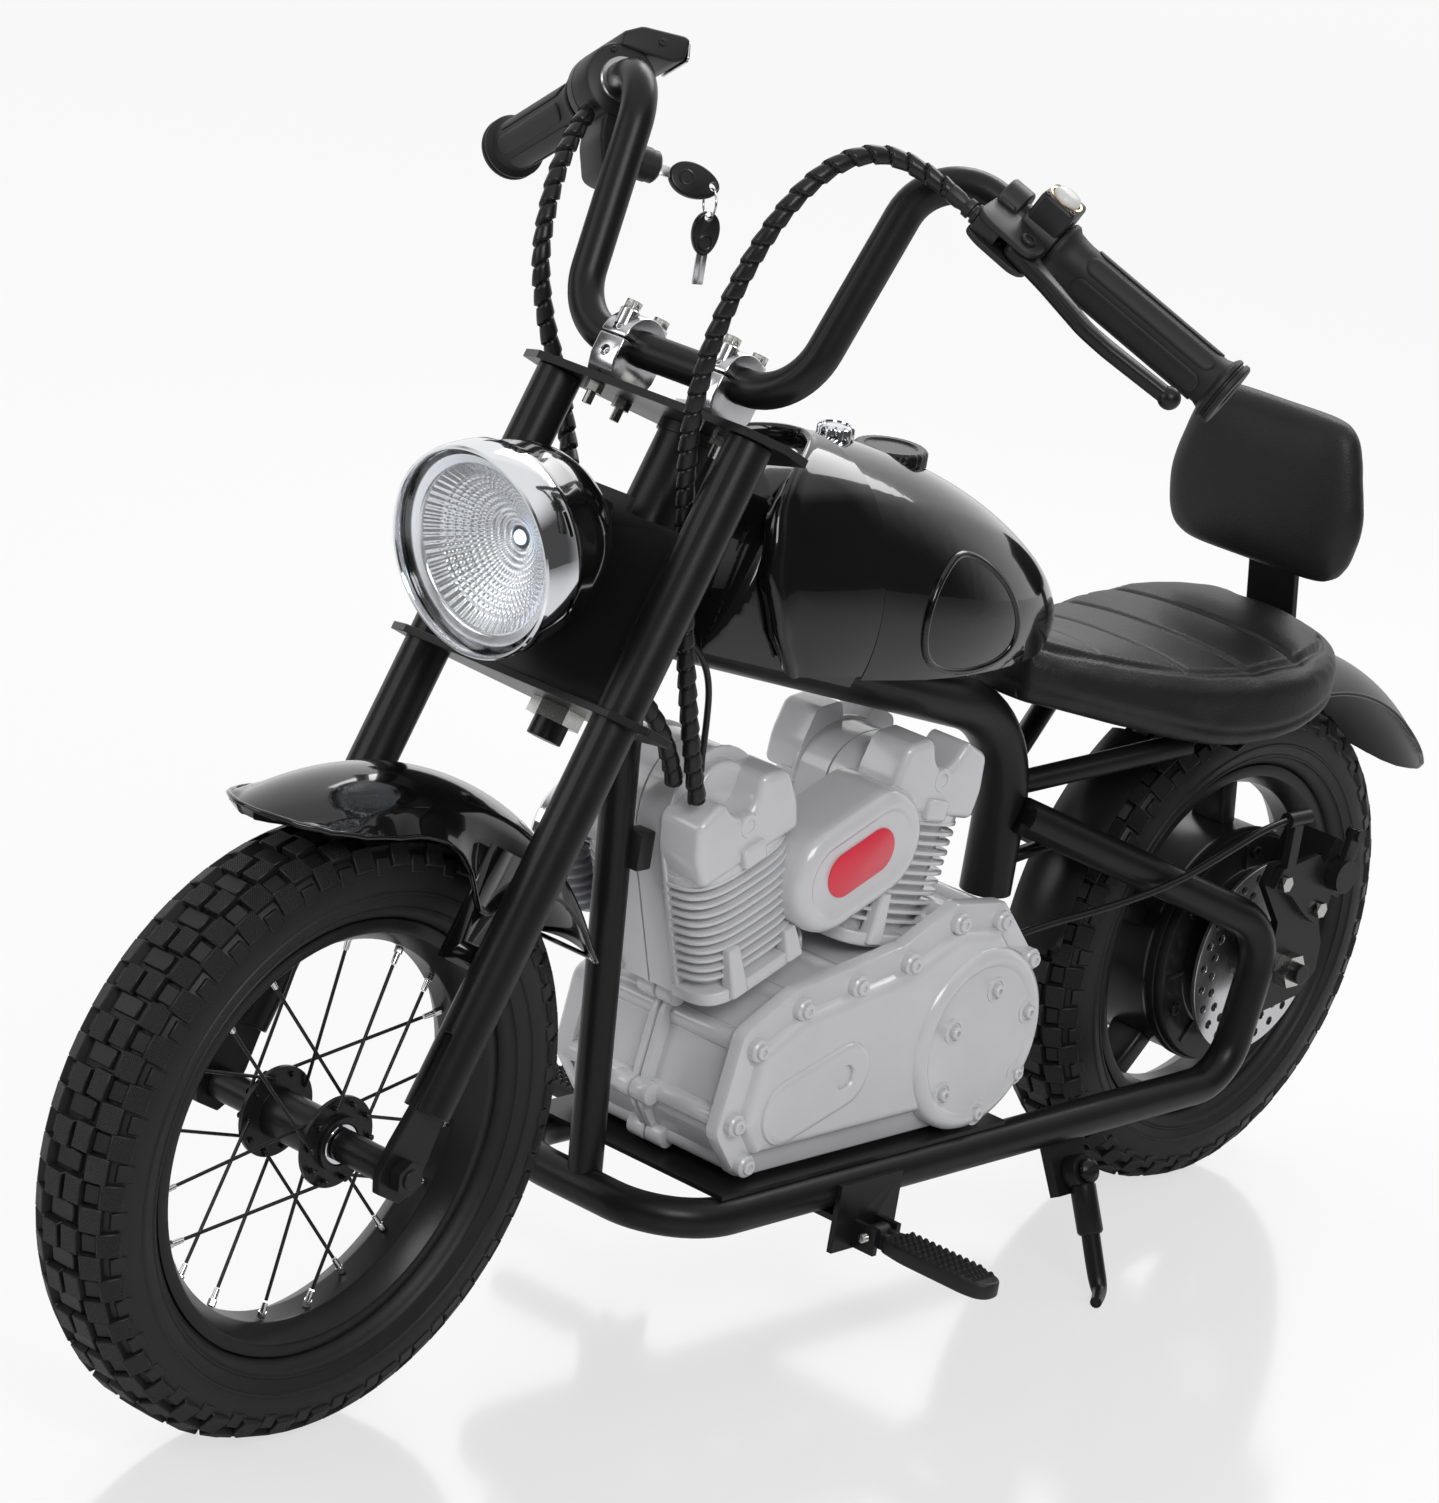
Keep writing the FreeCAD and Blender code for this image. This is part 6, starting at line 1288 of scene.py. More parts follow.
# arched section of the tank from one foot over the crown to the other
def tankArch(x):
    floor, crown, half = (throughRows(tank["lipRows"], column, x) for column in (1, 2, 3))
    rise = crown - floor
    foot, side = (half * 0.907, floor + rise * 0.0875), (half, floor + rise * 0.38)
    shoulder = (half * 0.72, floor + rise * 0.829)
    flank = arcThrough(foot, side, shoulder, 24)
    top = arcThrough(shoulder, (0.0, crown), (-shoulder[0], shoulder[1]), 40)
    return flank + top[1:] + [Vector((-spot.x, spot.y)) for spot in reversed(flank[:-1])]


# the shell's front edge sweeps ahead over the recessed panel, ends in a low bead and rolls in to it
def buildLip():
    middle = Vector((0, tank["lipMiddle"]))
    columns = []
    for index, spot in enumerate(tankArch(0.086)):
        turn = math.degrees(math.atan2(abs(spot.x), spot.y - middle.y))
        front = eased(tank["lipSweep"], turn)
        places = [(0.086 + (front - 0.0065 - 0.086) * step / 8, 0.0) for step in range(9)]
        places += [(front + x, lift) for x, lift in tank["lipBead"]]
        column = []
        for x, lift in places:
            there = tankArch(x)[index]
            there += (there - middle).normalized() * lift
            column.append(Vector((x, there.x, there.y)))
        columns.append(column)
    bm = bmesh.new()
    rows = []
    for row in zip(*columns):
        verts = [bm.verts.new(spot) for spot in row]
        rows.append([bm.edges.new(pair) for pair in zip(verts, verts[1:])])
    for near, far in zip(rows, rows[1:]):
        bmesh.ops.bridge_loops(bm, edges=near + far)
    clean(bm)
    for again in range(10):
        inner = [vert for vert in bm.verts if not vert.is_boundary]
        bmesh.ops.smooth_vert(
            bm, verts=inner, factor=0.3, use_axis_x=True, use_axis_y=False, use_axis_z=False,
        )
    return piece(bm, "tank_front_lip", "frame", gloss, angle=70)


# a point of the tank's skin straight in from one side
def onTank(skin, x, z, side):
    spot, normal, index, far = skin.ray_cast(Vector((x, side * 0.3, z)), Vector((0, -side, 0)))
    return spot, normal


def buildBadges():
    skin = skinOf("tank_shell")
    ring = baked(helper(curveLine([(x, z, 0) for x, z in tank["badge"]], closed=True, fine=8)))
    outline = [(vert.co.x, vert.co.y) for vert in ring.verts]
    ring.free()
    centre = Vector((sum(x for x, z in outline), sum(z for x, z in outline))) / len(outline)
    rims, fields = bmesh.new(), bmesh.new()
    for side in (1, -1):
        spots = []
        for x, z in outline:
            spot, normal = onTank(skin, x, z, side)
            spots.append(spot + normal * 0.0003)
        add(rims, tube(spots, tank["badgeRim"], smooth=False, closed=True, steps=4))
        shares = (0.985, 0.97, 0.9, 0.75, 0.55, 0.35, 0.15, 0.03)
        levels = []
        for index, share in enumerate(shares):
            levels.append(
                ([tuple(centre + (Vector(p) - centre) * share) for p in outline], index * 1e-5)
            )
        field = stack(levels, caps=(False, True))
        for vert in field.verts:
            spot, normal = onTank(skin, vert.co.x, vert.co.y, side)
            vert.co = spot + normal * 0.0009
        bmesh.ops.recalc_face_normals(field, faces=field.faces)
        if sum(face.normal.y * side for face in field.faces) < 0:
            bmesh.ops.reverse_faces(field, faces=field.faces)
        add(fields, field)
    piece(rims, "tank_badge_rims", "frame", gloss, angle=60)
    piece(fields, "tank_badge_fields", "frame", badgeBlack, angle=60)


def scalloped(reach, lobes, depth, inset=0.0, steps=96):
    ring = []
    for step in range(steps):
        turn = 2 * math.pi * step / steps
        far = reach - inset - depth * (0.5 + 0.5 * math.cos(lobes * turn)) ** 3
        ring.append((far * math.cos(turn), far * math.sin(turn)))
    return ring


def buildCaps():
    for key, node, lobes, depth, finish, slotName in (
        ("smallCap", "breather_cap", 10, 0.0016, chrome, "chrome"),
        ("bigCap", "filler_cap", 28, 0.0010, plasticSmooth, "gloss_black"),
    ):
        reach = tank[key]["reach"]
        low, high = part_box(node)
        tall = high[2] - low[2]
        levels = [
            (scalloped(reach, lobes, depth, 0.0008), 0.0), (scalloped(reach, lobes, depth), 0.001),
            (scalloped(reach, lobes, depth), tall - 0.0022),
            (scalloped(reach, lobes, depth, 0.0008), tall - 0.0010),
            (scalloped(reach, lobes, depth * 0.5, 0.0022), tall), (circle(reach * 0.72, 96), tall),
            (circle(reach * 0.68, 96), tall - 0.0012), (circle(reach * 0.3, 96), tall - 0.0008),
        ]
        cap = stack(levels)
        place = Matrix.Translation((tank[key]["x"], 0, low[2]))
        piece(cap, node + "_knob", "frame", finish, [node], place, 35)


buildLip()
buildBadges()
buildCaps()
print("tank ready")


# rubber grips with raised panels, and what is clamped to the bar beside them
grip = {
    "start": 0.088,
    "end": 0.219,
    "reach": 0.0157,
    "innerFlange": 0.0195,
    "endFlange": 0.0205,
    "panels": 6,
    "panelLong": 0.094,
    "panelWide": 0.0125,
    "panelLift": 0.0010,
}


# lays a flat shape on a round bar: X runs along the bar, Y round it
def wrapRound(bm, reach):
    for vert in bm.verts:
        along, across, lift = vert.co
        turn = across / reach
        vert.co = ((reach + lift) * math.cos(turn), (reach + lift) * math.sin(turn), along)
    return bm


def buildGrip(name, node, body, place):
    start, end, reach = grip["start"], grip["end"], grip["reach"]
    inner, outer = grip["innerFlange"], grip["endFlange"]
    profile = [
        (0.0114, start), (inner - 0.0006, start), (inner, start + 0.0008), (inner, start + 0.0030),
        (inner - 0.0008, start + 0.0042), (reach + 0.0014, start + 0.0060),
        (reach + 0.0005, start + 0.0110), (reach, start + 0.0160), (reach, end - 0.0140),
        (reach + 0.0012, end - 0.0105), (outer - 0.0010, end - 0.0090), (outer, end - 0.0080),
        (outer, end - 0.0060), (outer - 0.0016, end - 0.0052), (outer - 0.0016, end - 0.0042),
        (outer, end - 0.0034), (outer, end - 0.0012), (outer - 0.0012, end), (0.0090, end),
        (0.0080, end - 0.0012), (0.0, end - 0.0012),
    ]
    bm = lathe(profile, 72)
    middle = (start + end) / 2 + 0.002
    long, wide, lift = grip["panelLong"], grip["panelWide"], grip["panelLift"]
    for index in range(grip["panels"]):
        levels = [(stadium(long, wide, 0.0), -0.0006), (stadium(long, wide, 0.0), lift * 0.6)]
        levels += [(stadium(long, wide, inset), lift) for inset in (0.0006, 0.0024, 0.0042, 0.0060)]
        panel = wrapRound(stack(levels), reach)
        turn = Matrix.Rotation(2 * math.pi * (index + 0.5) / grip["panels"], 4, "Z")
        add(bm, panel, Matrix.Translation((0, 0, middle)) @ turn)
    piece(bm, name, body, gripBlack, [node], place, 40)


# brake perch, lever and push button on the left
brakePerch = {
    "ring": 0.0171,
    "ringStart": 0.044,
    "ringEnd": 0.059,
    "lugIn": 0.0053,
    "lugOut": 0.0093,
    "pivot": (0.030, 0.076),
    "lugOutline": [
        (0.011, 0.044), (0.036, 0.043), (0.040, 0.052), (0.041, 0.080), (0.036, 0.0865), (0.023, 0.0865),
        (0.018, 0.078), (0.012, 0.062),
    ],
    "adjuster": 0.028,
    "barrel": [
        (0.0, 0.018), (0.0034, 0.018), (0.0050, 0.0195), (0.0056, 0.0240), (0.0054, 0.0300),
        (0.0046, 0.0330), (0.0046, 0.0345), (0.0060, 0.0350), (0.0062, 0.0390), (0.0046, 0.0394),
        (0.0046, 0.0410), (0.0066, 0.0412), (0.0066, 0.0440), (0.0, 0.0444),
    ],
    "blade": [
        (0.0235, 0.0675), (0.0370, 0.0675), (0.0430, 0.0980), (0.0535, 0.1330), (0.0545, 0.1520),
        (0.0510, 0.1970), (0.0415, 0.1970), (0.0440, 0.1520), (0.0440, 0.1370), (0.0310, 0.1000),
        (0.0235, 0.0840),
    ],
    "bladeThick": 0.0096,
    "ball": 0.0069,
}
# XY outline to XZ, raised along Y
flatXz = Matrix(((1, 0, 0, 0), (0, 0, 1, 0), (0, 1, 0, 0), (0, 0, 0, 1)))


def buildPerch():
    low, high = brakePerch["ringStart"], brakePerch["ringEnd"]
    reach = brakePerch["ring"]
    ring = [
        (0.0113, low), (reach - 0.001, low), (reach, low + 0.001), (reach, high - 0.001),
        (reach - 0.001, high),
    ]
    bm = lathe(ring + [(0.0113, high)], 56, closed=True)
    lugIn, lugOut = brakePerch["lugIn"], brakePerch["lugOut"]
    for side in (1, -1):
        cheek = slab(brakePerch["lugOutline"], lugOut - lugIn, round=0.004, soft=0.0009)
        shift = lugIn if side > 0 else -lugOut
        add(bm, cheek, Matrix.Translation((0, shift, 0)) @ flatXz)
    add(bm, box((0.0125, -lugIn, 0.0445), (0.0365, lugIn, 0.0615), 0.0012))
    add(bm, box((0.004, -0.0118, 0.0450), (0.0155, 0.0118, 0.0580), 0.0022, 3))
    x, z = brakePerch["pivot"]
    for side in (1, -1):
        screw = capScrew(0.0048, 0.0026, 0.55)
        add(bm, screw, facing(Vector((x, side * lugOut, z)), (0, side, 0)))
    spot = brakePerch["adjuster"]
    add(bm, lathe(brakePerch["barrel"], 12, soft=0.0003), Matrix.Translation((spot, 0, 0)))
    piece(bm, "brake_perch", "fork", plastic, ["lever_perch"], leverFrame, 35)


def buildLever():
    thick = brakePerch["bladeThick"]
    blade = slab(brakePerch["blade"], thick, round=0.006, soft=0.0034, softSegments=4)
    eye = lathe([(0.0, -0.002), (0.0032, -0.002), (0.0032, 0.012), (0.0, 0.012)], 24)
    x, z = brakePerch["pivot"]
    blade = carve(blade, moved(eye, Matrix.Translation((x, z, 0))))
    bm = bmesh.new()
    add(bm, blade, Matrix.Translation((0, -thick / 2, 0)) @ flatXz)
    ball = bmesh.new()
    bmesh.ops.create_uvsphere(ball, u_segments=28, v_segments=16, radius=brakePerch["ball"])
    add(bm, ball, Matrix.Translation((0.0462, 0, 0.1965)))
    piece(
        bm, "brake_lever_blade", "brake_lever", metalBlack, ["brake_lever"], leverFrame,
        50,
    )


buttonWay = Vector((0.35, -0.94, 0)).normalized()
buttonTurn = Matrix((Vector((0, 0, 1)).cross(buttonWay), Vector((0, 0, -1)), buttonWay))
buttonFrame = leftBar @ Matrix.Translation((0, 0, 0.075)) @ buttonTurn.transposed().to_4x4()


def buildPod():
    shell = box((-0.0138, -0.0118, 0.006), (0.0138, 0.0118, 0.0281), 0.0030, 4)
    well = lathe([(0.0, 0.0214), (0.0094, 0.0214), (0.0094, 0.034), (0.0, 0.034)], 48)
    shell = carve(shell, well)
    ring = [(0.0113, -0.0120), (0.0165, -0.0120), (0.0171, -0.0112), (0.0171, 0.0112), (0.0165, 0.0120)]
    bm = bmesh.new()
    add(bm, shell, buttonFrame)
    band = lathe(ring + [(0.0113, 0.0120)], 56, closed=True)
    add(bm, band, leftBar @ Matrix.Translation((0, 0, 0.075)))
    for along in (-0.009, 0.009):
        screw = capScrew(0.0022, 0.0012, 0.5, 16)
        add(bm, screw, buttonFrame @ Matrix.Translation((0.0113, along, 0.0275)))
    piece(bm, "horn_pod", "fork", plastic, ["switch_pod"], angle=35)
    line = lathe(
        [(0.0097, 0.0279), (0.0109, 0.0279), (0.0109, 0.0285), (0.0097, 0.0285)], 48, closed=True,
    )
    piece(line, "horn_pod_line", "fork", brass, (), buttonFrame, 35)
    dome = [
        (0.0, 0.0331), (0.0030, 0.0330), (0.0058, 0.0326), (0.0074, 0.0318), (0.0084, 0.0306),
        (0.0088, 0.0290), (0.0089, 0.0252), (0.0, 0.0252),
    ]
    piece(
        lathe(dome, 48), "horn_push", "horn_button", paleButton, ["horn_button"], buttonFrame,
        50,
    )


# throttle housing, display, lock and keys on the right
rightUnit = {
    "start": 0.046,
    "end": 0.084,
    "reach": 0.0240,
    "lock": (-0.0240, -0.040, 0.065),
    "lockReach": 0.0110,
    "lockLong": 0.0160,
    "displayOutline": [
        (0.0055, 0.0205), (0.0060, 0.0300), (-0.0060, 0.0375), (-0.0350, 0.0405), (-0.0385, 0.0385),
        (-0.0370, 0.0250), (-0.0300, 0.0215), (-0.0120, 0.0205),
    ],
    "boxOutline": [
        (0.0060, -0.0120), (0.0060, -0.0380), (0.0000, -0.0580), (-0.0060, -0.0605), (-0.0200, -0.0605),
        (-0.0240, -0.0560), (-0.0240, -0.0120),
    ],
}


def buildRightUnit():
    start, end, reach = rightUnit["start"], rightUnit["end"], rightUnit["reach"]
    seam = (start + end) / 2 + 0.004
    profile = [
        (0.0114, start), (reach - 0.0030, start), (reach - 0.0008, start + 0.0010),
        (reach, start + 0.0030), (reach, seam - 0.0006), (reach - 0.0008, seam - 0.0004),
        (reach - 0.0008, seam + 0.0004), (reach, seam + 0.0006), (reach - 0.0004, end - 0.0070),
        (reach - 0.0040, end - 0.0012), (reach - 0.0055, end), (0.0114, end),
    ]
    bm = lathe(profile, 72, closed=True)
    add(
        bm, slab(rightUnit["boxOutline"], 0.034, round=0.005, soft=0.0020),
        Matrix.Translation((0, 0, start + 0.002)),
    )
    for turn in (60, 120, 250):
        spot = Matrix.Rotation(math.radians(turn), 4, "Z") @ Vector((reach - 0.0045, 0, start - 0.0002))
        add(bm, capScrew(0.0020, 0.0012, 0.5, 14), facing(spot, (0, 0, -1)))
    lockSpot = Vector(rightUnit["lock"])
    wide, long = rightUnit["lockReach"], rightUnit["lockLong"]
    collar = [
        (0.0074, 0.0), (wide, 0.0), (wide, long - 0.0060), (wide - 0.0006, long - 0.0052),
        (wide - 0.0006, long - 0.0012), (wide - 0.0018, long), (0.0074, long),
    ]
    lockPlace = facing(lockSpot, (-1, 0, 0))
    add(bm, lathe(collar, 48, closed=True), lockPlace)
    piece(
        bm, "throttle_housing_shell", "fork", plastic, ["throttle_unit"], rightBar, 35,
    )
    ring = [
        (0.0113, start - 0.0012), (0.0142, start - 0.0012), (0.0150, start + 0.0002),
        (0.0113, start + 0.0002),
    ]
    silver = lathe(ring, 56, closed=True)
    face = [
        (0.0074, long), (wide - 0.0024, long), (wide - 0.0030, long + 0.0010), (0.0076, long + 0.0010),
    ]
    add(silver, lathe(face, 48, closed=True), lockPlace)
    piece(silver, "throttle_housing_rings", "fork", brightAlloy, (), rightBar, 35)
    shell = slab(rightUnit["displayOutline"], 0.0405, round=0.0030, soft=0.0020)
    body = bmesh.new()
    add(body, shell, Matrix.Translation((0, 0, 0.0442)))
    add(body, capScrew(0.0024, 0.0014, 0.5, 16), facing(Vector((-0.020, 0.0310, 0.0442)), (0, 0, -1)))
    piece(body, "display_case", "fork", plastic, ["display_unit"], rightBar, 35)
    out = Vector((-1.0, 0.1, 0)).normalized()
    facePlace = facing(Vector((-0.0379, 0.0318, 0.0645)), out, (0, 1, 0))
    rim = slab(
        [(-0.0195, -0.0068), (0.0195, -0.0068), (0.0195, 0.0068), (-0.0195, 0.0068)], 0.0016,
        round=0.003, soft=0.0005,
    )
    piece(rim, "display_rim", "fork", brightAlloy, (), rightBar @ facePlace, 35)
    glass = slab(
        [(-0.0175, -0.0052), (0.0175, -0.0052), (0.0175, 0.0052), (-0.0175, 0.0052)], 0.0020,
        round=0.002, soft=0.0004,
    )
    piece(glass, "display_glass", "fork", badgeBlack, (), rightBar @ facePlace, 35)


# X down, Y along the bar, Z out of the lock
keyTurn = Matrix(((0, 0, -1), (-1, 0, 0), (0, 1, 0))).to_4x4()
keyFrame = rightBar @ Matrix.Translation((-0.0414, -0.040, 0.065)) @ keyTurn


def fobOutline(half, long, middle, lean):
    ring = []
    for step in range(56):
        turn = 2 * math.pi * step / 56
        across = half * math.cos(turn) * (1 - lean * math.sin(turn))
        ring.append((across, middle + long * math.sin(turn)))
    return ring


# moulded oval fob: XY outline, its thickness centred on Z = 0
def fob(half, long, middle, lean, thick, hole, holeReach, ringAt):
    bm = slab(fobOutline(half, long, middle, lean), thick, soft=thick * 0.28, softSegments=3)
    eye = lathe(
        [(0.0, -0.002), (holeReach, -0.002), (holeReach, thick + 0.002), (0.0, thick + 0.002)], 28,
    )
    bm = carve(bm, moved(eye, Matrix.Translation((0, hole, 0))))
    moved(bm, Matrix.Translation((0, 0, -thick / 2)))
    for side in (1, -1):
        raised = lathe([(0.0038, 0), (0.0046, 0.0005), (0.0054, 0)], 36)
        add(
            bm, raised,
            Matrix.Translation((0, ringAt, side * thick / 2)) @ Matrix.Scale(side, 4, (0, 0, 1)),
        )
    return bm


def buildKeys():
    bm = bmesh.new()
    add(bm, fob(0.0112, 0.0172, 0.0250, 0.12, 0.0050, 0.0380, 0.0032, 0.0190), flatXz)
    piece(bm, "key_fob", "key", plasticSmooth, ["key_and_plug"], keyFrame, 40)
    metal = box((-0.0034, -0.0010, 0.0), (0.0034, 0.0010, 0.010), 0.0003)
    face = [(0.0, 0.0), (0.0064, 0.0), (0.0068, -0.0006), (0.0068, -0.0150), (0.0, -0.0150)]
    add(metal, lathe(face, 40))
    piece(metal, "key_neck", "key", brightAlloy, (), keyFrame, 35)
    hole = keyFrame @ Vector((0, 0, 0.038))
    across = keyFrame.to_3x3() @ Vector((0, 1, 0))
    across = Vector((across.x, across.y, 0)).normalized()
    up = Vector((0, 0, 1))
    turn = Matrix((across, up.cross(across), up)).transposed().to_4x4()
    spareFrame = Matrix.Translation(hole - up * 0.0096) @ turn
    loop = []
    for step in range(64):
        angle = 4 * math.pi * step / 63
        loop.append((0.009 * math.cos(angle), -0.0004 + 0.0008 * step / 63, 0.009 * math.sin(angle)))
    ring = tube(loop, 0.00055, smooth=False, steps=3)
    blade = box((-0.0010, -0.0036, -0.0520), (0.0010, 0.0036, -0.0310), 0.0004)
    add(ring, blade)
    for side in (1, -1):
        low, high = sorted((side * 0.0010, side * 0.0013))
        add(ring, box((low, -0.0006, -0.0505), (high, 0.0006, -0.0310)))
    piece(ring, "key_ring_and_blade", "spare_key", brightAlloy, ["key_bunch"], spareFrame, 40)
    hanging = bmesh.new()
    lay = Matrix(((0, 0, 1, 0), (1, 0, 0, 0), (0, 1, 0, 0), (0, 0, 0, 1)))
    add(hanging, fob(0.0092, 0.0140, -0.0195, -0.10, 0.0044, -0.0084, 0.0030, -0.0250), lay)
    piece(hanging, "spare_fob", "spare_key", plasticSmooth, (), spareFrame, 40)


buildGrip("left_grip_rubber", "left_grip", "fork", leftBar)
buildGrip("throttle_grip_rubber", "throttle_grip", "throttle", rightBar)
buildPerch()
buildLever()
buildPod()
buildRightUnit()
buildKeys()
print("controls ready")


# mudguards: thin pressed arches with a rolled edge and a pointed end
mudguards = {
    "front": {
        "centre": (0.4425, 0.190), "reach": 0.222, "half": 0.050, "drop": 0.024, "from": 68.0,
        "to": 157.0,
        "startEnd": [
            (0.0, 0.13), (0.004, 0.36), (0.012, 0.60), (0.026, 0.80), (0.048, 0.94), (0.075, 1.0),
        ],
        "finishEnd": [(0.0, 0.58), (0.006, 0.80), (0.016, 0.94), (0.030, 1.0)],
        "skirt": [
            (86.0, 0.0), (93.0, 0.002), (99.0, 0.006), (104.0, 0.013), (108.0, 0.022), (112.0, 0.034),
            (115.0, 0.041), (118.0, 0.041), (121.0, 0.034), (125.0, 0.021), (130.0, 0.010),
            (136.0, 0.003), (144.0, 0.0),
        ],
    },
    "rear": {
        "centre": (-0.455, 0.185), "reach": 0.200, "half": 0.052, "drop": 0.020, "from": 58.0,
        "to": 152.56,
        "startEnd": [(0.0, 1.0), (0.030, 1.0)],
        "finishEnd": [
            (0.0, 0.13), (0.004, 0.36), (0.012, 0.60), (0.026, 0.80), (0.048, 0.94), (0.075, 1.0),
        ],
        "skirt": [(0.0, 0.0), (180.0, 0.0)],
    },
}


def archPoint(guard, angle, across):
    reach = guard["reach"]
    span = math.radians(guard["to"] - guard["from"]) * reach
    along = math.radians(angle - guard["from"]) * reach
    share = min(eased(guard["startEnd"], along), eased(guard["finishEnd"], span - along))
    section = (guard["half"] ** 2 + guard["drop"] ** 2) / (2 * guard["drop"])
    y = guard["half"] * share * across
    far = reach - section + math.sqrt(section ** 2 - y ** 2)
    hang = max(abs(across) - 0.74, 0.0) / 0.26
    far -= eased(guard["skirt"], angle) * hang * hang * (3 - 2 * hang)
    turn = math.radians(angle)
    x, z = guard["centre"]
    return Vector((x + far * math.cos(turn), y, z + far * math.sin(turn)))


# keeps the loose solids of a node whose middle passes a test
def looseSolids(node, keep):
    bm = merged(node)
    left = set(bm.verts)
    unwanted = []
    while left:
        group = {left.pop()}
        edge = list(group)
        while edge:
            near = {link.other_vert(vert) for vert in edge for link in vert.link_edges} & left
            left -= near
            group |= near
            edge = list(near)
        middle = sum((vert.co for vert in group), Vector()) / len(group)
        if not keep(middle):
            unwanted += list(group)
    bmesh.ops.delete(bm, geom=unwanted, context="VERTS")
    return bm


def buildMudguard(key, name, body, node, finish, keep):
    guard = mudguards[key]
    low, high = guard["from"], guard["to"]
    bm = bmesh.new()
    bmesh.ops.create_grid(bm, x_segments=96, y_segments=30, size=1)
    for vert in bm.verts:
        share = (vert.co.x + 1) / 2
        share = share ** 1.4 if key == "front" else 1 - (1 - share) ** 1.4
        vert.co = archPoint(guard, low + (high - low) * share, vert.co.y)
    bmesh.ops.recalc_face_normals(bm, faces=bm.faces)
    bm.normal_update()
    middle = Vector((guard["centre"][0], 0, guard["centre"][1]))
    if sum((face.calc_center_median() - middle).dot(face.normal) for face in bm.faces) < 0:
        bmesh.ops.reverse_faces(bm, faces=bm.faces)
    holder = held(bm)
    wall = holder.modifiers.new("wall", "SOLIDIFY")
    wall.thickness = 0.0020
    wall.offset = -1
    bm = baked(holder)
    edge = []
    for side in (1, -1):
        run = [archPoint(guard, low + (high - low) * step / 120, side) for step in range(121)]
        edge += run if side > 0 else run[::-1]
    add(bm, tube(edge, 0.0015, smooth=False, closed=True, steps=3))
    add(bm, looseSolids(node, keep))
    piece(bm, name, body, finish, [node], angle=40)


buildMudguard(
    "front", "front_mudguard_arch", "fork", "front_mudguard", gloss, lambda spot: abs(spot.y) > 0.02,
)
buildMudguard("rear", "rear_mudguard_arch", "frame", "rear_mudguard", satin, lambda spot: spot.x > -0.36)
print("mudguards ready")


# two-part cast clamps that hold the bar on the upper plate, in the fork's own frame
barClamp = {
    "middle": 0.037, "half": 0.021, "floor": 0.4752, "bar": 0.500, "top": 0.518, "wide": 0.020,
    "places": (-0.040, 0.040),
}


def buildClamps():
    middle, half = barClamp["middle"], barClamp["half"]
    low, bar, high = barClamp["floor"], barClamp["bar"], barClamp["top"]
    wide = barClamp["wide"]
    whole = bmesh.new()
    for place in barClamp["places"]:
        turns = [math.radians(180 * step / 20) for step in range(21)]
        upper = [
            (middle + half * math.cos(turn), bar + 0.0005 + 0.0185 * math.sin(turn)) for turn in turns
        ]
        lower = [(middle - 0.017, low), (middle + 0.017, low)]
        lower += [(middle + half, low + 0.010), (middle + half, bar - 0.0005)]
        lower += [(middle - half, bar - 0.0005), (middle - half, low + 0.010)]
        for outline in (lower, upper):
            block = slab(outline, wide, soft=0.0012)
            hole = lathe(
                [(0.0, -0.005), (0.0113, -0.005), (0.0113, wide + 0.005), (0.0, wide + 0.005)], 56,
            )
            block = carve(block, moved(hole, Matrix.Translation((middle, bar, 0))))
            level = bar + 0.0060 if outline is upper else bar - 0.0110
            pit = lathe([(0.0, -0.004), (0.0036, -0.004), (0.0036, 0.002), (0.0, 0.002)], 28)
            pitPlace = facing(Vector((middle + half, level, wide / 2)), (1, 0, 0))
            block = carve(block, moved(pit, pitPlace))
            add(whole, block, Matrix.Translation((0, place - wide / 2, 0)) @ flatXz)
            plug = capScrew(0.0030, 0.0016, 0.5, 18)
            plugPlace = facing(Vector((middle + half - 0.0039, place, level)), (1, 0, 0))
            add(whole, plug, plugPlace)
        for along in (-0.015, 0.015):
            boss = lathe(
                [(0.0, 0.0), (0.0062, 0.0), (0.0062, 0.0100), (0.0054, 0.0108), (0.0, 0.0108)], 28,
            )
            add(whole, boss, Matrix.Translation((middle + along, place, high - 0.0108)))
    piece(whole, "bar_clamp_castings", "fork", clampMetal, ["bar_clamps"], forkFrame, 30)


buildClamps()
print("bar clamps ready")


# folding pegs with a studded top, and the side stand
peg = {
    "x": 0.018,
    "pivot": (0.107, 0.078),
    "outline": [
        (-0.0090, 0.116), (0.0090, 0.116), (0.0128, 0.136), (0.0132, 0.190), (0.0098, 0.2015),
        (0.0, 0.2050), (-0.0098, 0.2015), (-0.0132, 0.190), (-0.0128, 0.136),
    ],
    "low": 0.0715,
    "top": 0.0824,
    "stud": 0.0025,
    "studRows": 13,
    "studColumns": 5,
}


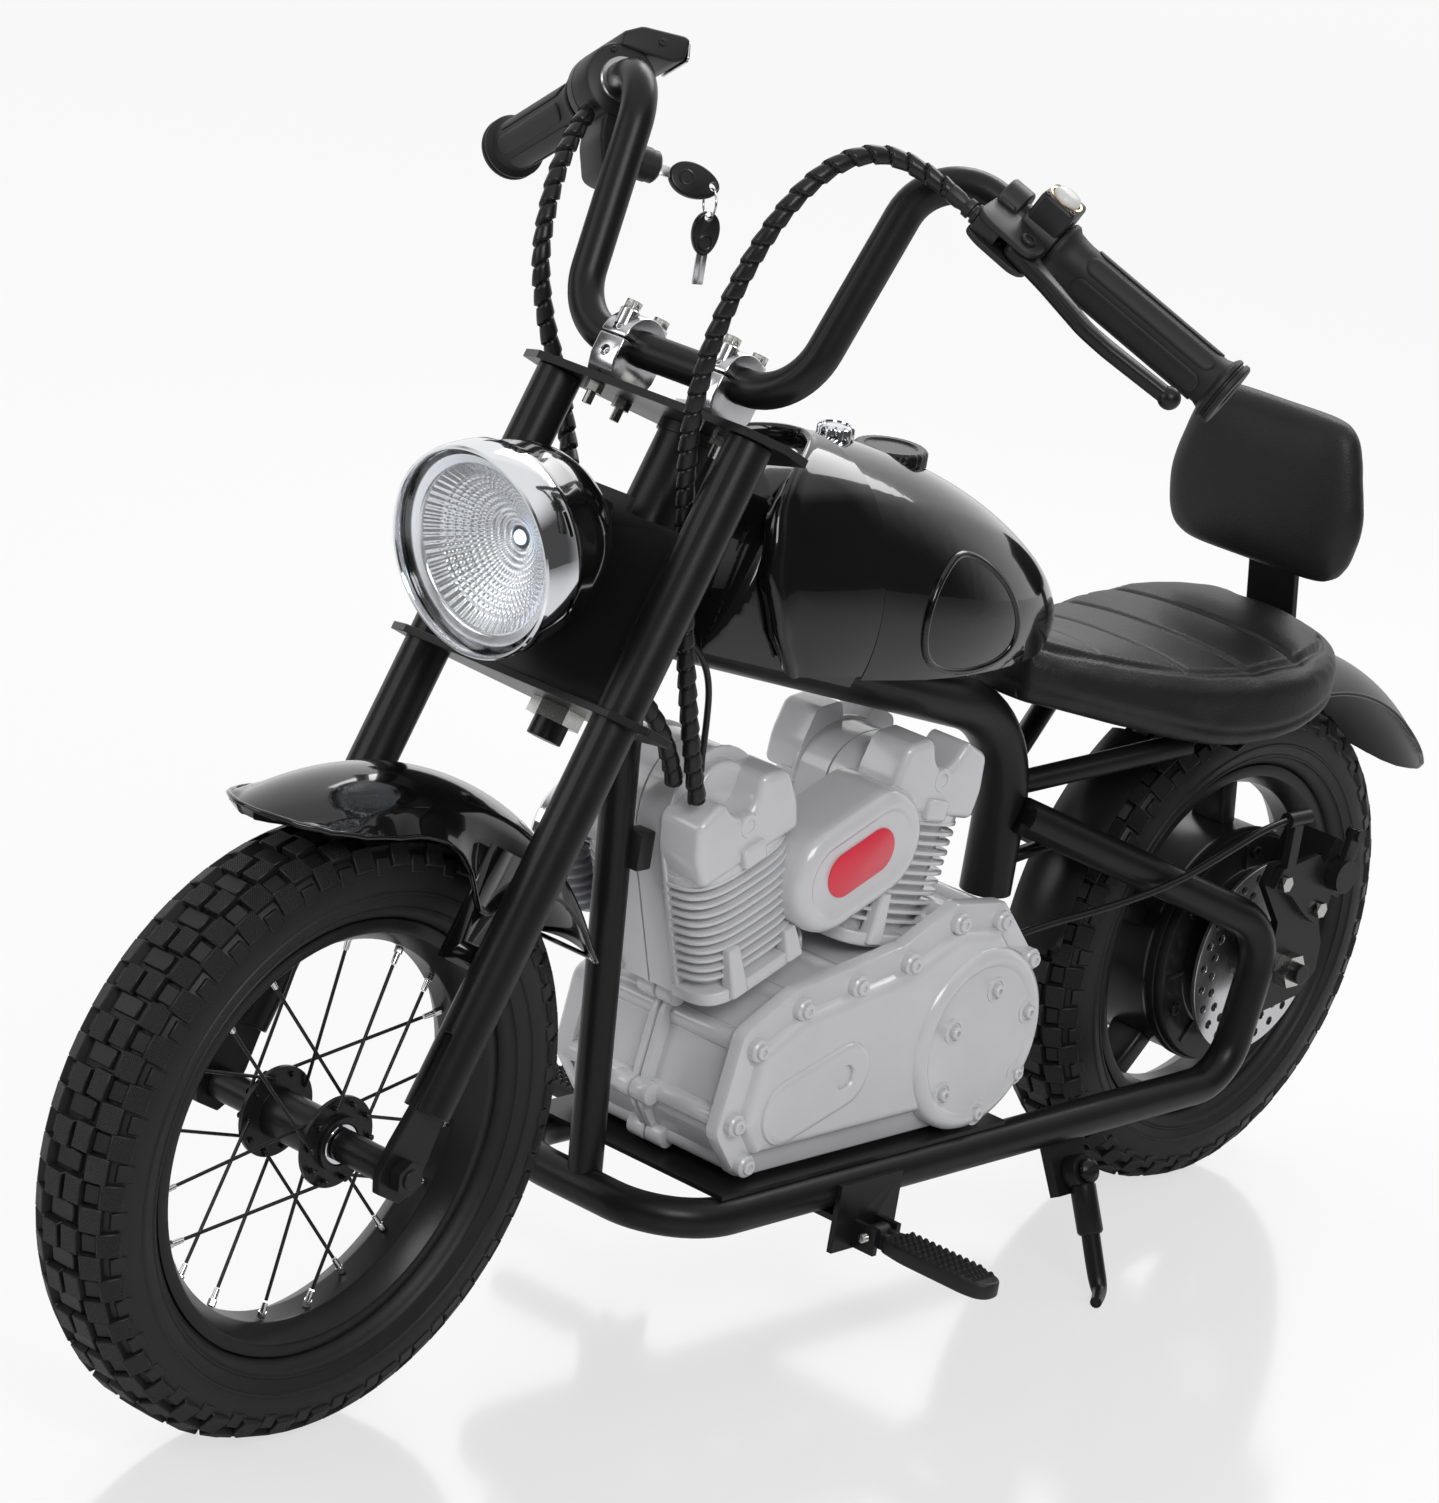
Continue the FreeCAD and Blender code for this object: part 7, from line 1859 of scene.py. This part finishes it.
def pegShape():
    bm = bmesh.new()
    pad = slab(
        [(peg["x"] + x, y) for x, y in peg["outline"]], peg["top"] - peg["low"], round=0.005,
        soft=0.0020,
    )
    add(bm, pad, Matrix.Translation((0, 0, peg["low"])))
    stud = bmesh.new()
    bmesh.ops.create_cone(
        stud, cap_ends=True, segments=4, radius1=0.0031, radius2=0.0010, depth=peg["stud"] + 0.0004,
    )
    for row in range(peg["studRows"]):
        y = 0.1265 + 0.0056 * row
        half = 0.0104 if row < 11 else 0.0078
        for column in range(peg["studColumns"]):
            x = peg["x"] + half * (2 * column / (peg["studColumns"] - 1) - 1)
            place = Matrix.Translation((x, y, peg["top"] + peg["stud"] / 2 - 0.0002))
            add(bm, stud, place @ Matrix.Rotation(math.radians(45), 4, "Z"), free=False)
    stud.free()
    y, z = peg["pivot"]
    eye = [
        (0.0032, -0.0078), (0.0064, -0.0078), (0.0070, -0.0070), (0.0070, 0.0070), (0.0064, 0.0078),
        (0.0032, 0.0078),
    ]
    add(bm, lathe(eye, 40, closed=True), Matrix.Translation((peg["x"], y, z)) @ zToX)
    for side in (1, -1):
        low, high = sorted((peg["x"] + side * 0.0022, peg["x"] + side * 0.0076))
        add(bm, box((low, y + 0.0040, z - 0.0060), (high, 0.1200, z + 0.0050), 0.0012))
    return bm


def buildPegs():
    piece(
        pegShape(), "peg_left_studded", "left_peg", plastic, ["footpeg_left"], angle=35,
    )
    right = flipY(pegShape())
    piece(right, "peg_right_studded", "right_peg", plastic, ["footpeg_right"], angle=35)


stand = {
    "pivot": (-0.203, 0.092, 0.072),
    "lean": 28,
    "sleeve": 0.0088,
    "leg": 0.0064,
    "bend": [
        (-0.1985, 0.1270, 0.0200), (-0.1975, 0.1335, 0.0080), (-0.1930, 0.1390, 0.0046),
        (-0.1800, 0.1460, 0.0042),
    ],
}


def buildStand():
    place = Matrix.Translation(stand["pivot"]) @ Matrix.Rotation(math.radians(stand["lean"]), 4, "X")
    boss = [
        (0.0052, 0.0003), (0.0110, 0.0003), (0.0120, 0.0012), (0.0120, 0.0108), (0.0110, 0.0120),
        (0.0052, 0.0120),
    ]
    bm = bmesh.new()
    add(bm, lathe(boss, 48, closed=True), place @ zToY)
    top = place @ Vector((0.001, 0.0075, -0.009))
    waist = place @ Vector((0.0034, 0.0075, -0.042))
    sleeve = stand["sleeve"]
    profile = [
        (0.0, 0.0), (sleeve, 0.0), (sleeve, (waist - top).length - 0.002),
        (sleeve - 0.0015, (waist - top).length),
    ]
    add(bm, lathe(profile + [(0.0, (waist - top).length)], 36), facing(top, waist - top))
    points = [waist + (top - waist) * 0.1] + [Vector(spot) for spot in stand["bend"]]
    leg = stand["leg"]
    add(bm, tube(points, leg, steps=8, radii=[leg, leg, leg * 0.95, leg * 0.70, leg * 0.62]))
    piece(bm, "stand_leg_bent", "stand", metalBlack, ["kickstand_leg"], angle=40)


buildPegs()
buildStand()
print("pegs and stand ready")


# engine shell: crankcase with boss tubes, two banded cylinders with finned sides and heads
engine = {
    "cylinders": [(0.109, 20, 0.163), (-0.010, -11, 0.138)],  # foot x, lean, top of the centre band
    "footZ": 0.240,
    "band": 0.026,
    "bandHalf": 0.044,
    "fins": 11,
    "finStart": 0.026,
    "finPitch": 0.0066,
    "finThick": 0.0026,
    "head": [
        (-0.044, 0.098), (0.044, 0.098), (0.046, 0.118), (0.041, 0.142), (0.018, 0.149), (0.010, 0.134),
        (0.0, 0.128), (-0.010, 0.134), (-0.018, 0.149), (-0.041, 0.142), (-0.046, 0.118),
    ],
    "case": [
        (0.122, 0.120), (0.143, 0.158), (0.132, 0.214), (0.091, 0.236), (-0.004, 0.250), (-0.052, 0.269),
        (-0.098, 0.264), (-0.133, 0.229), (-0.133, 0.152), (-0.114, 0.120),
    ],
    "cover": [
        (0.126, 0.123), (0.152, 0.156), (0.140, 0.222), (0.096, 0.244), (-0.004, 0.258), (-0.054, 0.279),
        (-0.104, 0.273), (-0.142, 0.232), (-0.142, 0.150), (-0.118, 0.123),
    ],
    "bosses": [
        (0.091, 0.232), (0.040, 0.239), (-0.010, 0.246), (-0.054, 0.267), (-0.098, 0.262),
        (-0.135, 0.230), (0.129, 0.211), (0.140, 0.163), (0.124, 0.133),
    ],
    "clutch": (-0.086, 0.184, 0.060),
    "clutchScrews": [
        (-0.095, 0.217), (-0.133, 0.196), (-0.058, 0.194), (-0.057, 0.151), (-0.096, 0.131),
        (-0.132, 0.153),
    ],
}


# lays an outline drawn in X and Z upright, raised along +Y from a distance off the centre plane
def raisedFrom(low):
    return Matrix.Translation((0, low, 0)) @ flatXz


# the arch: straight sides, then half an ellipse
def archOutline(half, foot, spring, top, steps=20):
    ring = [(half, foot)]
    for step in range(steps + 1):
        turn = math.pi * step / steps
        ring.append((half * math.cos(turn), spring + (top - spring) * math.sin(turn)))
    ring.append((-half, foot))
    return ring


def finOutline(half, inner, outer, power=0.62, steps=26):
    ring = [(half, inner)]
    for step in range(1, steps):
        turn = math.pi * step / steps
        x = math.copysign(abs(math.cos(turn)) ** power, math.cos(turn))
        ring.append((half * x, inner + (outer - inner) * math.sin(turn) ** power))
    ring.append((-half, inner))
    return ring


def cylinderSide(top, trim):
    bm = bmesh.new()
    band, half = engine["band"], engine["bandHalf"]
    arch = archOutline(half, 0.010, 0.106, top)
    core = slab(arch, band - 0.0008, soft=0.0)
    add(bm, core, raisedFrom(0.0008))
    lip = slab(
        archOutline(half + 0.0022, 0.010, 0.106, top + 0.0022), 0.0030, soft=0.0010, softSegments=2,
    )
    add(bm, lip, raisedFrom(band - 0.0022))
    barrel = slab(finOutline(half - 0.005, band - 0.004, 0.049), 0.086)
    add(bm, barrel, Matrix.Translation((0, 0, 0.016)))
    for step in range(engine["fins"]):
        grow = 0.0006 * (step % 2)
        fin = slab(
            finOutline(half + 0.002, band - 0.003, 0.0555 + grow - trim), engine["finThick"],
            soft=0.0007, softSegments=2,
        )
        add(bm, fin, Matrix.Translation((0, 0, engine["finStart"] + step * engine["finPitch"])))
    shoulder = slab(finOutline(half + 0.001, band - 0.003, 0.0550 - trim), 0.007, soft=0.0012)
    add(bm, shoulder, Matrix.Translation((0, 0, 0.0935)))
    foot = slab(finOutline(half + 0.004, band - 0.004, 0.0585, 0.5), 0.009, soft=0.0015)
    add(bm, foot, Matrix.Translation((0, 0, 0.010)))
    head = slab(
        engine["head"], 0.0565 - trim - band + 0.002, round=0.005, soft=0.0055, softSegments=4,
        topOnly=True,
    )
    add(bm, head, raisedFrom(band - 0.002))
    ridge = slab(
        archOutline(0.030, 0.100, 0.118, top - 0.004), 0.010, soft=0.003, softSegments=3, topOnly=True,
    )
    add(bm, ridge, raisedFrom(band - 0.001))
    lug = box((-0.010, 0.052, 0.096), (0.010, 0.0608, 0.110), 0.0026, 3)
    add(bm, lug)
    eye = lathe(
        [(0.0045, -0.006), (0.0045, 0.0006), (0.0075, 0.0006), (0.0085, -0.001), (0.0085, -0.006)], 28,
    )
    add(bm, eye, Matrix.Translation((0, 0.0565 - trim, 0.1225)) @ zToY)
    for x, y, rise in ((0.024, 0.0545, 0.046), (-0.026, 0.0545, 0.034)):
        post = slab(
            rounded([(-0.0075, -0.006), (0.0075, -0.006), (0.0075, 0.006), (-0.0075, 0.006)], 0.003),
            rise - 0.012, soft=0.0015,
        )
        bmesh.ops.scale(
            post, vec=(0.66, 0.66, 1), verts=[v for v in post.verts if v.co.z > (rise - 0.012) * 0.5],
        )
        add(bm, post, Matrix.Translation((x, y, 0.012)))
    return bm


def pushrodCover():
    length, height = 0.120, 0.074
    levels = [
        (0.0, 0.022), (0.0, 0.058), (0.0010, 0.0625), (0.0032, 0.0658), (0.0066, 0.0680),
        (0.0100, 0.0686), (0.0124, 0.0680), (0.0138, 0.0668), (0.0152, 0.0662),
    ]
    return stack([(stadium(length, height, inset, 64), rise) for inset, rise in levels])


def primaryCover():
    cover = engine["cover"]
    edge = [
        (0.0, 0.0622), (0.0, 0.0694), (0.0008, 0.0712), (0.0024, 0.0720), (0.0150, 0.0722),
        (0.0162, 0.0728), (0.0172, 0.0756), (0.0186, 0.0780), (0.0212, 0.0794), (0.0246, 0.0798),
    ]
    bm = stack([(rounded(cover, 0.012, inset, 5), rise) for inset, rise in edge])
    whole = bmesh.new()
    add(whole, bm, flatXz)
    for x, z in engine["bosses"]:
        tube = lathe([(0.0074, -0.066), (0.0074, -0.0012), (0.0064, 0), (0, 0)], 28)
        add(whole, tube, Matrix.Translation((x, 0.0782, z)) @ zToY)
    x, z, radius = engine["clutch"]
    rim = [
        (radius + 0.004, 0.0700), (radius + 0.003, 0.0790), (radius + 0.0012, 0.0815),
        (radius - 0.0015, 0.0834), (radius - 0.0045, 0.0842), (radius - 0.0075, 0.0838),
        (radius - 0.0095, 0.0822), (radius - 0.0105, 0.0816), (0, 0.0818),
    ]
    add(whole, lathe(rim, 96), Matrix.Translation((x, 0, z)) @ zToY)
    for sx, sz in engine["clutchScrews"]:
        seat = lathe(
            [(0.0088, -0.001), (0.0084, 0.0006), (0.0066, 0.0010), (0.0060, 0.0002), (0, 0.0002)], 28,
        )
        add(whole, seat, Matrix.Translation((sx, 0.0818, sz)) @ zToY)
    steps = 48
    plate = [(0.0, 0.070), (0.0, 0.0802), (0.0008, 0.0816), (0.0026, 0.0824), (0.0050, 0.0826)]
    levels = [(stadium(0.100, 0.044, inset, steps), rise) for inset, rise in plate]
    hole = circle(0.0088, steps, (-0.026, 0), -math.pi / 2 + math.pi / steps)
    deep = circle(0.0080, steps, (-0.026, 0), -math.pi / 2 + math.pi / steps)
    levels += [(hole, 0.0826), (deep, 0.0815), (deep, 0.0765)]
    oblong = stack(levels)
    tilt = Matrix.Translation((0.072, 0, 0.174)) @ Matrix.Rotation(math.radians(16), 4, "Y")
    add(whole, oblong, tilt @ flatXz)
    return whole


def screwHeads(spots, rise, radius, height):
    bm = bmesh.new()
    for x, z in spots:
        add(bm, capScrew(radius, height, 0.45), Matrix.Translation((x, rise, z)) @ zToY)
    return bm


coverTurn = Matrix.Rotation(math.radians(21), 4, "Y")
coverPlace = Matrix.Translation((0.048, 0, 0.320)) @ coverTurn @ flatXz


def buildEngine():
    for side, nodes in ((1, ["engine_case_left"]), (-1, ["right_engine_side"])):
        half = bmesh.new()
        case = slab(engine["case"], 0.0612, round=0.012, soft=0.0)
        add(half, case, raisedFrom(0.0008))
        seam = slab(engine["cover"], 0.0052, round=0.012, soft=0.0015, softSegments=2)
        add(half, seam, raisedFrom(0.0008))
        for x, z in ((0.140, 0.228), (0.150, 0.163), (0.128, 0.130)):
            add(half, rod((x, 0.0008, z), (x, 0.015, z), 0.0078, 24, soft=0.0010))
        for x, z in engine["bosses"]:
            add(half, rod((x, 0.003, z), (x, 0.0622, z), 0.0072, 24))
        for footX, lean, top in engine["cylinders"]:
            stand = Matrix.Translation((footX, 0, engine["footZ"])) @ Matrix.Rotation(
                math.radians(lean), 4, "Y",
            )
            add(half, cylinderSide(top, 0.0 if side > 0 else 0.0032), stand)
        if side > 0:
            add(half, pushrodCover(), coverPlace)
        else:
            plain = [
                (0.118, 0.124), (0.146, 0.160), (0.138, 0.214), (0.090, 0.240), (-0.100, 0.246),
                (-0.128, 0.226), (-0.128, 0.140), (-0.110, 0.124),
            ]
            edge = [(0.0, 0.0622), (0.0, 0.0740), (0.0016, 0.0766), (0.0050, 0.0782)]
            add(half, stack([(rounded(plain, 0.012, inset, 5), rise) for inset, rise in edge]), flatXz)
            cam = [
                (0.047, 0.076), (0.046, 0.0802), (0.043, 0.0822), (0.030, 0.0822), (0.028, 0.0806),
                (0, 0.0806),
            ]
            add(half, lathe(cam, 72), Matrix.Translation((0.070, 0, 0.178)) @ zToY)
            flipY(half)
        bmesh.ops.recalc_face_normals(half, faces=half.faces)
        piece(
            half, "engine_side_" + ("left" if side > 0 else "right"), "frame", engineGrey,
            nodes, angle=34,
        )
    piece(
        primaryCover(), "primary_cover_shell", "frame", engineGrey, ["primary_cover"],
        angle=34,
    )
    heads = screwHeads(engine["bosses"], 0.0783, 0.0048, 0.0026)
    add(heads, screwHeads(engine["clutchScrews"], 0.0820, 0.0042, 0.0042))
    piece(heads, "engine_screw_heads", "frame", engineGrey)
    badge = stack(
        [
            (stadium(0.062, 0.030, inset, 48), rise)
            for inset, rise in ((0, 0.0655), (0, 0.0669), (0.0006, 0.0672))
        ]
    )
    piece(badge, "cover_badge", "frame", badgeRed, place=coverPlace)


buildEngine()
print("engine built")


# frame bolts without the engine's own screws, and the fork's bolts with dark axle nuts
def buildBolts():
    def onCover(spot):
        return spot.y > 0.055 and -0.14 < spot.x < 0.17 and 0.11 < spot.z < 0.27

    def nearAxle(spot):
        return math.hypot(spot.x - frontAxle.x, spot.z - frontAxle.z) < 0.05

    def onStand(spot):
        return spot.x < -0.15 and spot.z < 0.10

    bolts = looseSolids("fastener_set", lambda spot: not onCover(spot) and not onStand(spot))
    piece(bolts, "frame_bolts", "frame", zinc, ["fastener_set"], angle=30)
    bolts = looseSolids("fastener_set", onStand)
    piece(bolts, "stand_bolt", "frame", metalBlack, ["fastener_set"], angle=30)
    bolts = looseSolids("fork_fasteners", lambda spot: not nearAxle(spot))
    piece(bolts, "fork_bolts", "fork", zinc, ["fork_fasteners"], angle=30)
    nuts = looseSolids("fork_fasteners", nearAxle)
    piece(nuts, "axle_nuts", "fork", metalBlack, ["fork_fasteners"], angle=30)


buildBolts()


# small block that holds the shell to the down tube
shellBracket = {"low": (0.1910, 0.0040, 0.3195), "high": (0.2040, 0.0180, 0.3445), "soft": 0.0014}
bracket = box(shellBracket["low"], shellBracket["high"], shellBracket["soft"])
piece(bracket, "shell_bracket", "frame", plastic, angle=35)


# solids whose shape is already right: merged, smoothed and given soft rims
dressedNodes = {
    "main_frame": (frameBlack, "black_frame", 0.0008),
    "side_rails": (frameBlack, "black_frame", 0.0),
    "air_filter": (chrome, "chrome", 0.001),
    "battery_pack": (plastic, "battery_case", 0.002),
    "motor_controller": (metalBlack, "black_alloy", 0.002),
    "tank_shell": (gloss, "gloss_black", 0.0),
    "tank_front_panel": (gloss, "gloss_black", 0.0),
    "seat_pan": (plastic, "black_plastic", 0.001),
    "backrest_post": (frameBlack, "black_frame", 0.001),
    "rear_axle_set": (metalBlack, "steel", 0.0005),
    "motor_stator": (zinc, "steel", 0.0),
    "brake_caliper": (metalBlack, "black_alloy", 0.0008),
    "fork_legs": (frameBlack, "black_frame", 0.0008),
    "steering_clamp": (frameBlack, "black_frame", 0.0008),
    "upper_clamp_plate": (frameBlack, "black_frame", 0.0008),
    "handlebar": (frameBlack, "black_frame", 0.0),
    "front_axle_set": (metalBlack, "steel", 0.0005),
    "headlight_stay": (frameBlack, "black_frame", 0.0008),
    "brake_disc": (brushedDisc, "steel", 0.0003),
    "caliper_arm": (metalBlack, "steel", 0.0006),
}
for nodeName, (finish, slotName, soft) in dressedNodes.items():
    dressed(nodeName, finish, soft)
print("solids dressed")


# floor, light and camera
studio = {
    "floor": 6.0,
    "floorGlow": 0.80,
    "floorMirror": 0.16,
    "world": 0.45,
    "darkSide": 0.07,
    "overhead": 0.9,
    "keyPower": 46,
    "fillPower": 20,
    "backPower": 30,
    "focal": 133.54,
    "cameraPlace": (2.6632, 2.0849, 1.3911),
    "cameraRight": (-0.66282, 0.73244, 0.15557),
    "cameraUp": (-0.12080, -0.30966, 0.94314),
    "cameraBack": (0.73897, 0.60634, 0.29373),
}


# pale floor that stays white to the eye and keeps the shadow
def buildFloor():
    bm = bmesh.new()
    bmesh.ops.create_grid(bm, x_segments=1, y_segments=1, size=studio["floor"])
    mesh = bpy.data.meshes.new("floor")
    bm.to_mesh(mesh)
    bm.free()
    floor = bpy.data.objects.new("floor", mesh)
    bpy.context.scene.collection.objects.link(floor)
    f = Finish("studio_floor")
    f.look(base_color=(0.86, 0.86, 0.87, 1), roughness=0.16, specular=0.4)
    path = f.node("LightPath", out="Is Camera Ray")
    glow = f.node("Emission", {}, {"Color": (1, 1, 1, 1), "Strength": 1.0})
    shares = {0: path * studio["floorGlow"], 1: Link(f.tree, f.shader.outputs[0]), 2: glow}
    plain = f.node("MixShader", {}, shares)
    mirror = f.node("BsdfGlossy", {}, {"Color": (1, 1, 1, 1), "Roughness": 0.12})
    surface = f.node("MixShader", {}, {0: path * studio["floorMirror"], 1: plain, 2: mirror})
    f.tree.links.new(surface.socket, f.tree.nodes["Material Output"].inputs["Surface"])
    mesh.materials.append(f.material)


def buildLight(name, power, size, place, target):
    lamp = bpy.data.lights.new(name, "AREA")
    lamp.energy = power
    lamp.shape = "RECTANGLE"
    lamp.size, lamp.size_y = size
    holder = bpy.data.objects.new(name, lamp)
    holder.matrix_world = facing(Vector(place), Vector(place) - Vector(target))
    bpy.context.scene.collection.objects.link(holder)


# white to the eye; gloss sees a white backdrop, a wide light overhead and a dark room in front
def buildWorld():
    world = bpy.data.worlds.new("studio")
    bpy.context.scene.world = world
    world.use_nodes = True
    tree = world.node_tree
    sky = tree.nodes["Background"]
    path = tree.nodes.new("ShaderNodeLightPath")
    way = tree.nodes.new("ShaderNodeTexCoord")

    def shade(towards, start, end, first, last):
        along = tree.nodes.new("ShaderNodeVectorMath")
        along.operation = "DOT_PRODUCT"
        tree.links.new(way.outputs["Generated"], along.inputs[0])
        along.inputs[1].default_value = towards
        ease = tree.nodes.new("ShaderNodeMapRange")
        ease.interpolation_type = "SMOOTHSTEP"
        tree.links.new(along.outputs["Value"], ease.inputs["Value"])
        for title, value in (
            ("From Min", start), ("From Max", end), ("To Min", first), ("To Max", last),
        ):
            ease.inputs[title].default_value = value
        return Link(tree, ease.outputs["Result"])

    backdrop = shade((0.773, 0.634, 0), -0.62, -0.18, 1.0, studio["darkSide"])
    overhead = shade((0, 0, 1), 0.42, 0.80, 0.0, studio["overhead"])
    room = backdrop.maths("MAXIMUM", backdrop, overhead)
    seen = Link(tree, path.outputs["Is Camera Ray"])
    shiny = Link(tree, path.outputs["Is Glossy Ray"]) + Link(tree, path.outputs["Is Transmission Ray"])
    shiny = shiny.maths("MINIMUM", shiny, 1.0)
    plain = (1.0 - seen) * (1.0 - shiny) * studio["world"]
    strength = seen + (1.0 - seen) * shiny * room + plain
    sky.inputs["Color"].default_value = (1, 1, 1, 1)
    plug(tree, sky.inputs["Strength"], strength)


def buildCamera():
    lens = bpy.data.cameras.new("photo_camera")
    lens.lens = studio["focal"]
    lens.sensor_width = 36
    lens.clip_end = 30
    camera = bpy.data.objects.new("photo_camera", lens)
    axes = [Vector(studio[key]) for key in ("cameraRight", "cameraUp", "cameraBack")]
    turn = Matrix(axes).transposed().to_4x4()
    camera.matrix_world = Matrix.Translation(studio["cameraPlace"]) @ turn
    bpy.context.scene.collection.objects.link(camera)
    bpy.context.scene.camera = camera


buildFloor()
buildWorld()
buildLight("key", studio["keyPower"], (1.6, 1.2), (1.6, 2.4, 2.4), (0, 0, 0.35))
buildLight("fill", studio["fillPower"], (1.8, 1.4), (2.6, -1.2, 1.5), (0.1, 0, 0.35))
buildLight("back", studio["backPower"], (2.0, 1.0), (-1.8, -0.6, 2.2), (0, 0, 0.4))
buildCamera()
bpy.context.scene.view_settings.view_transform = "Standard"
print("stage ready")
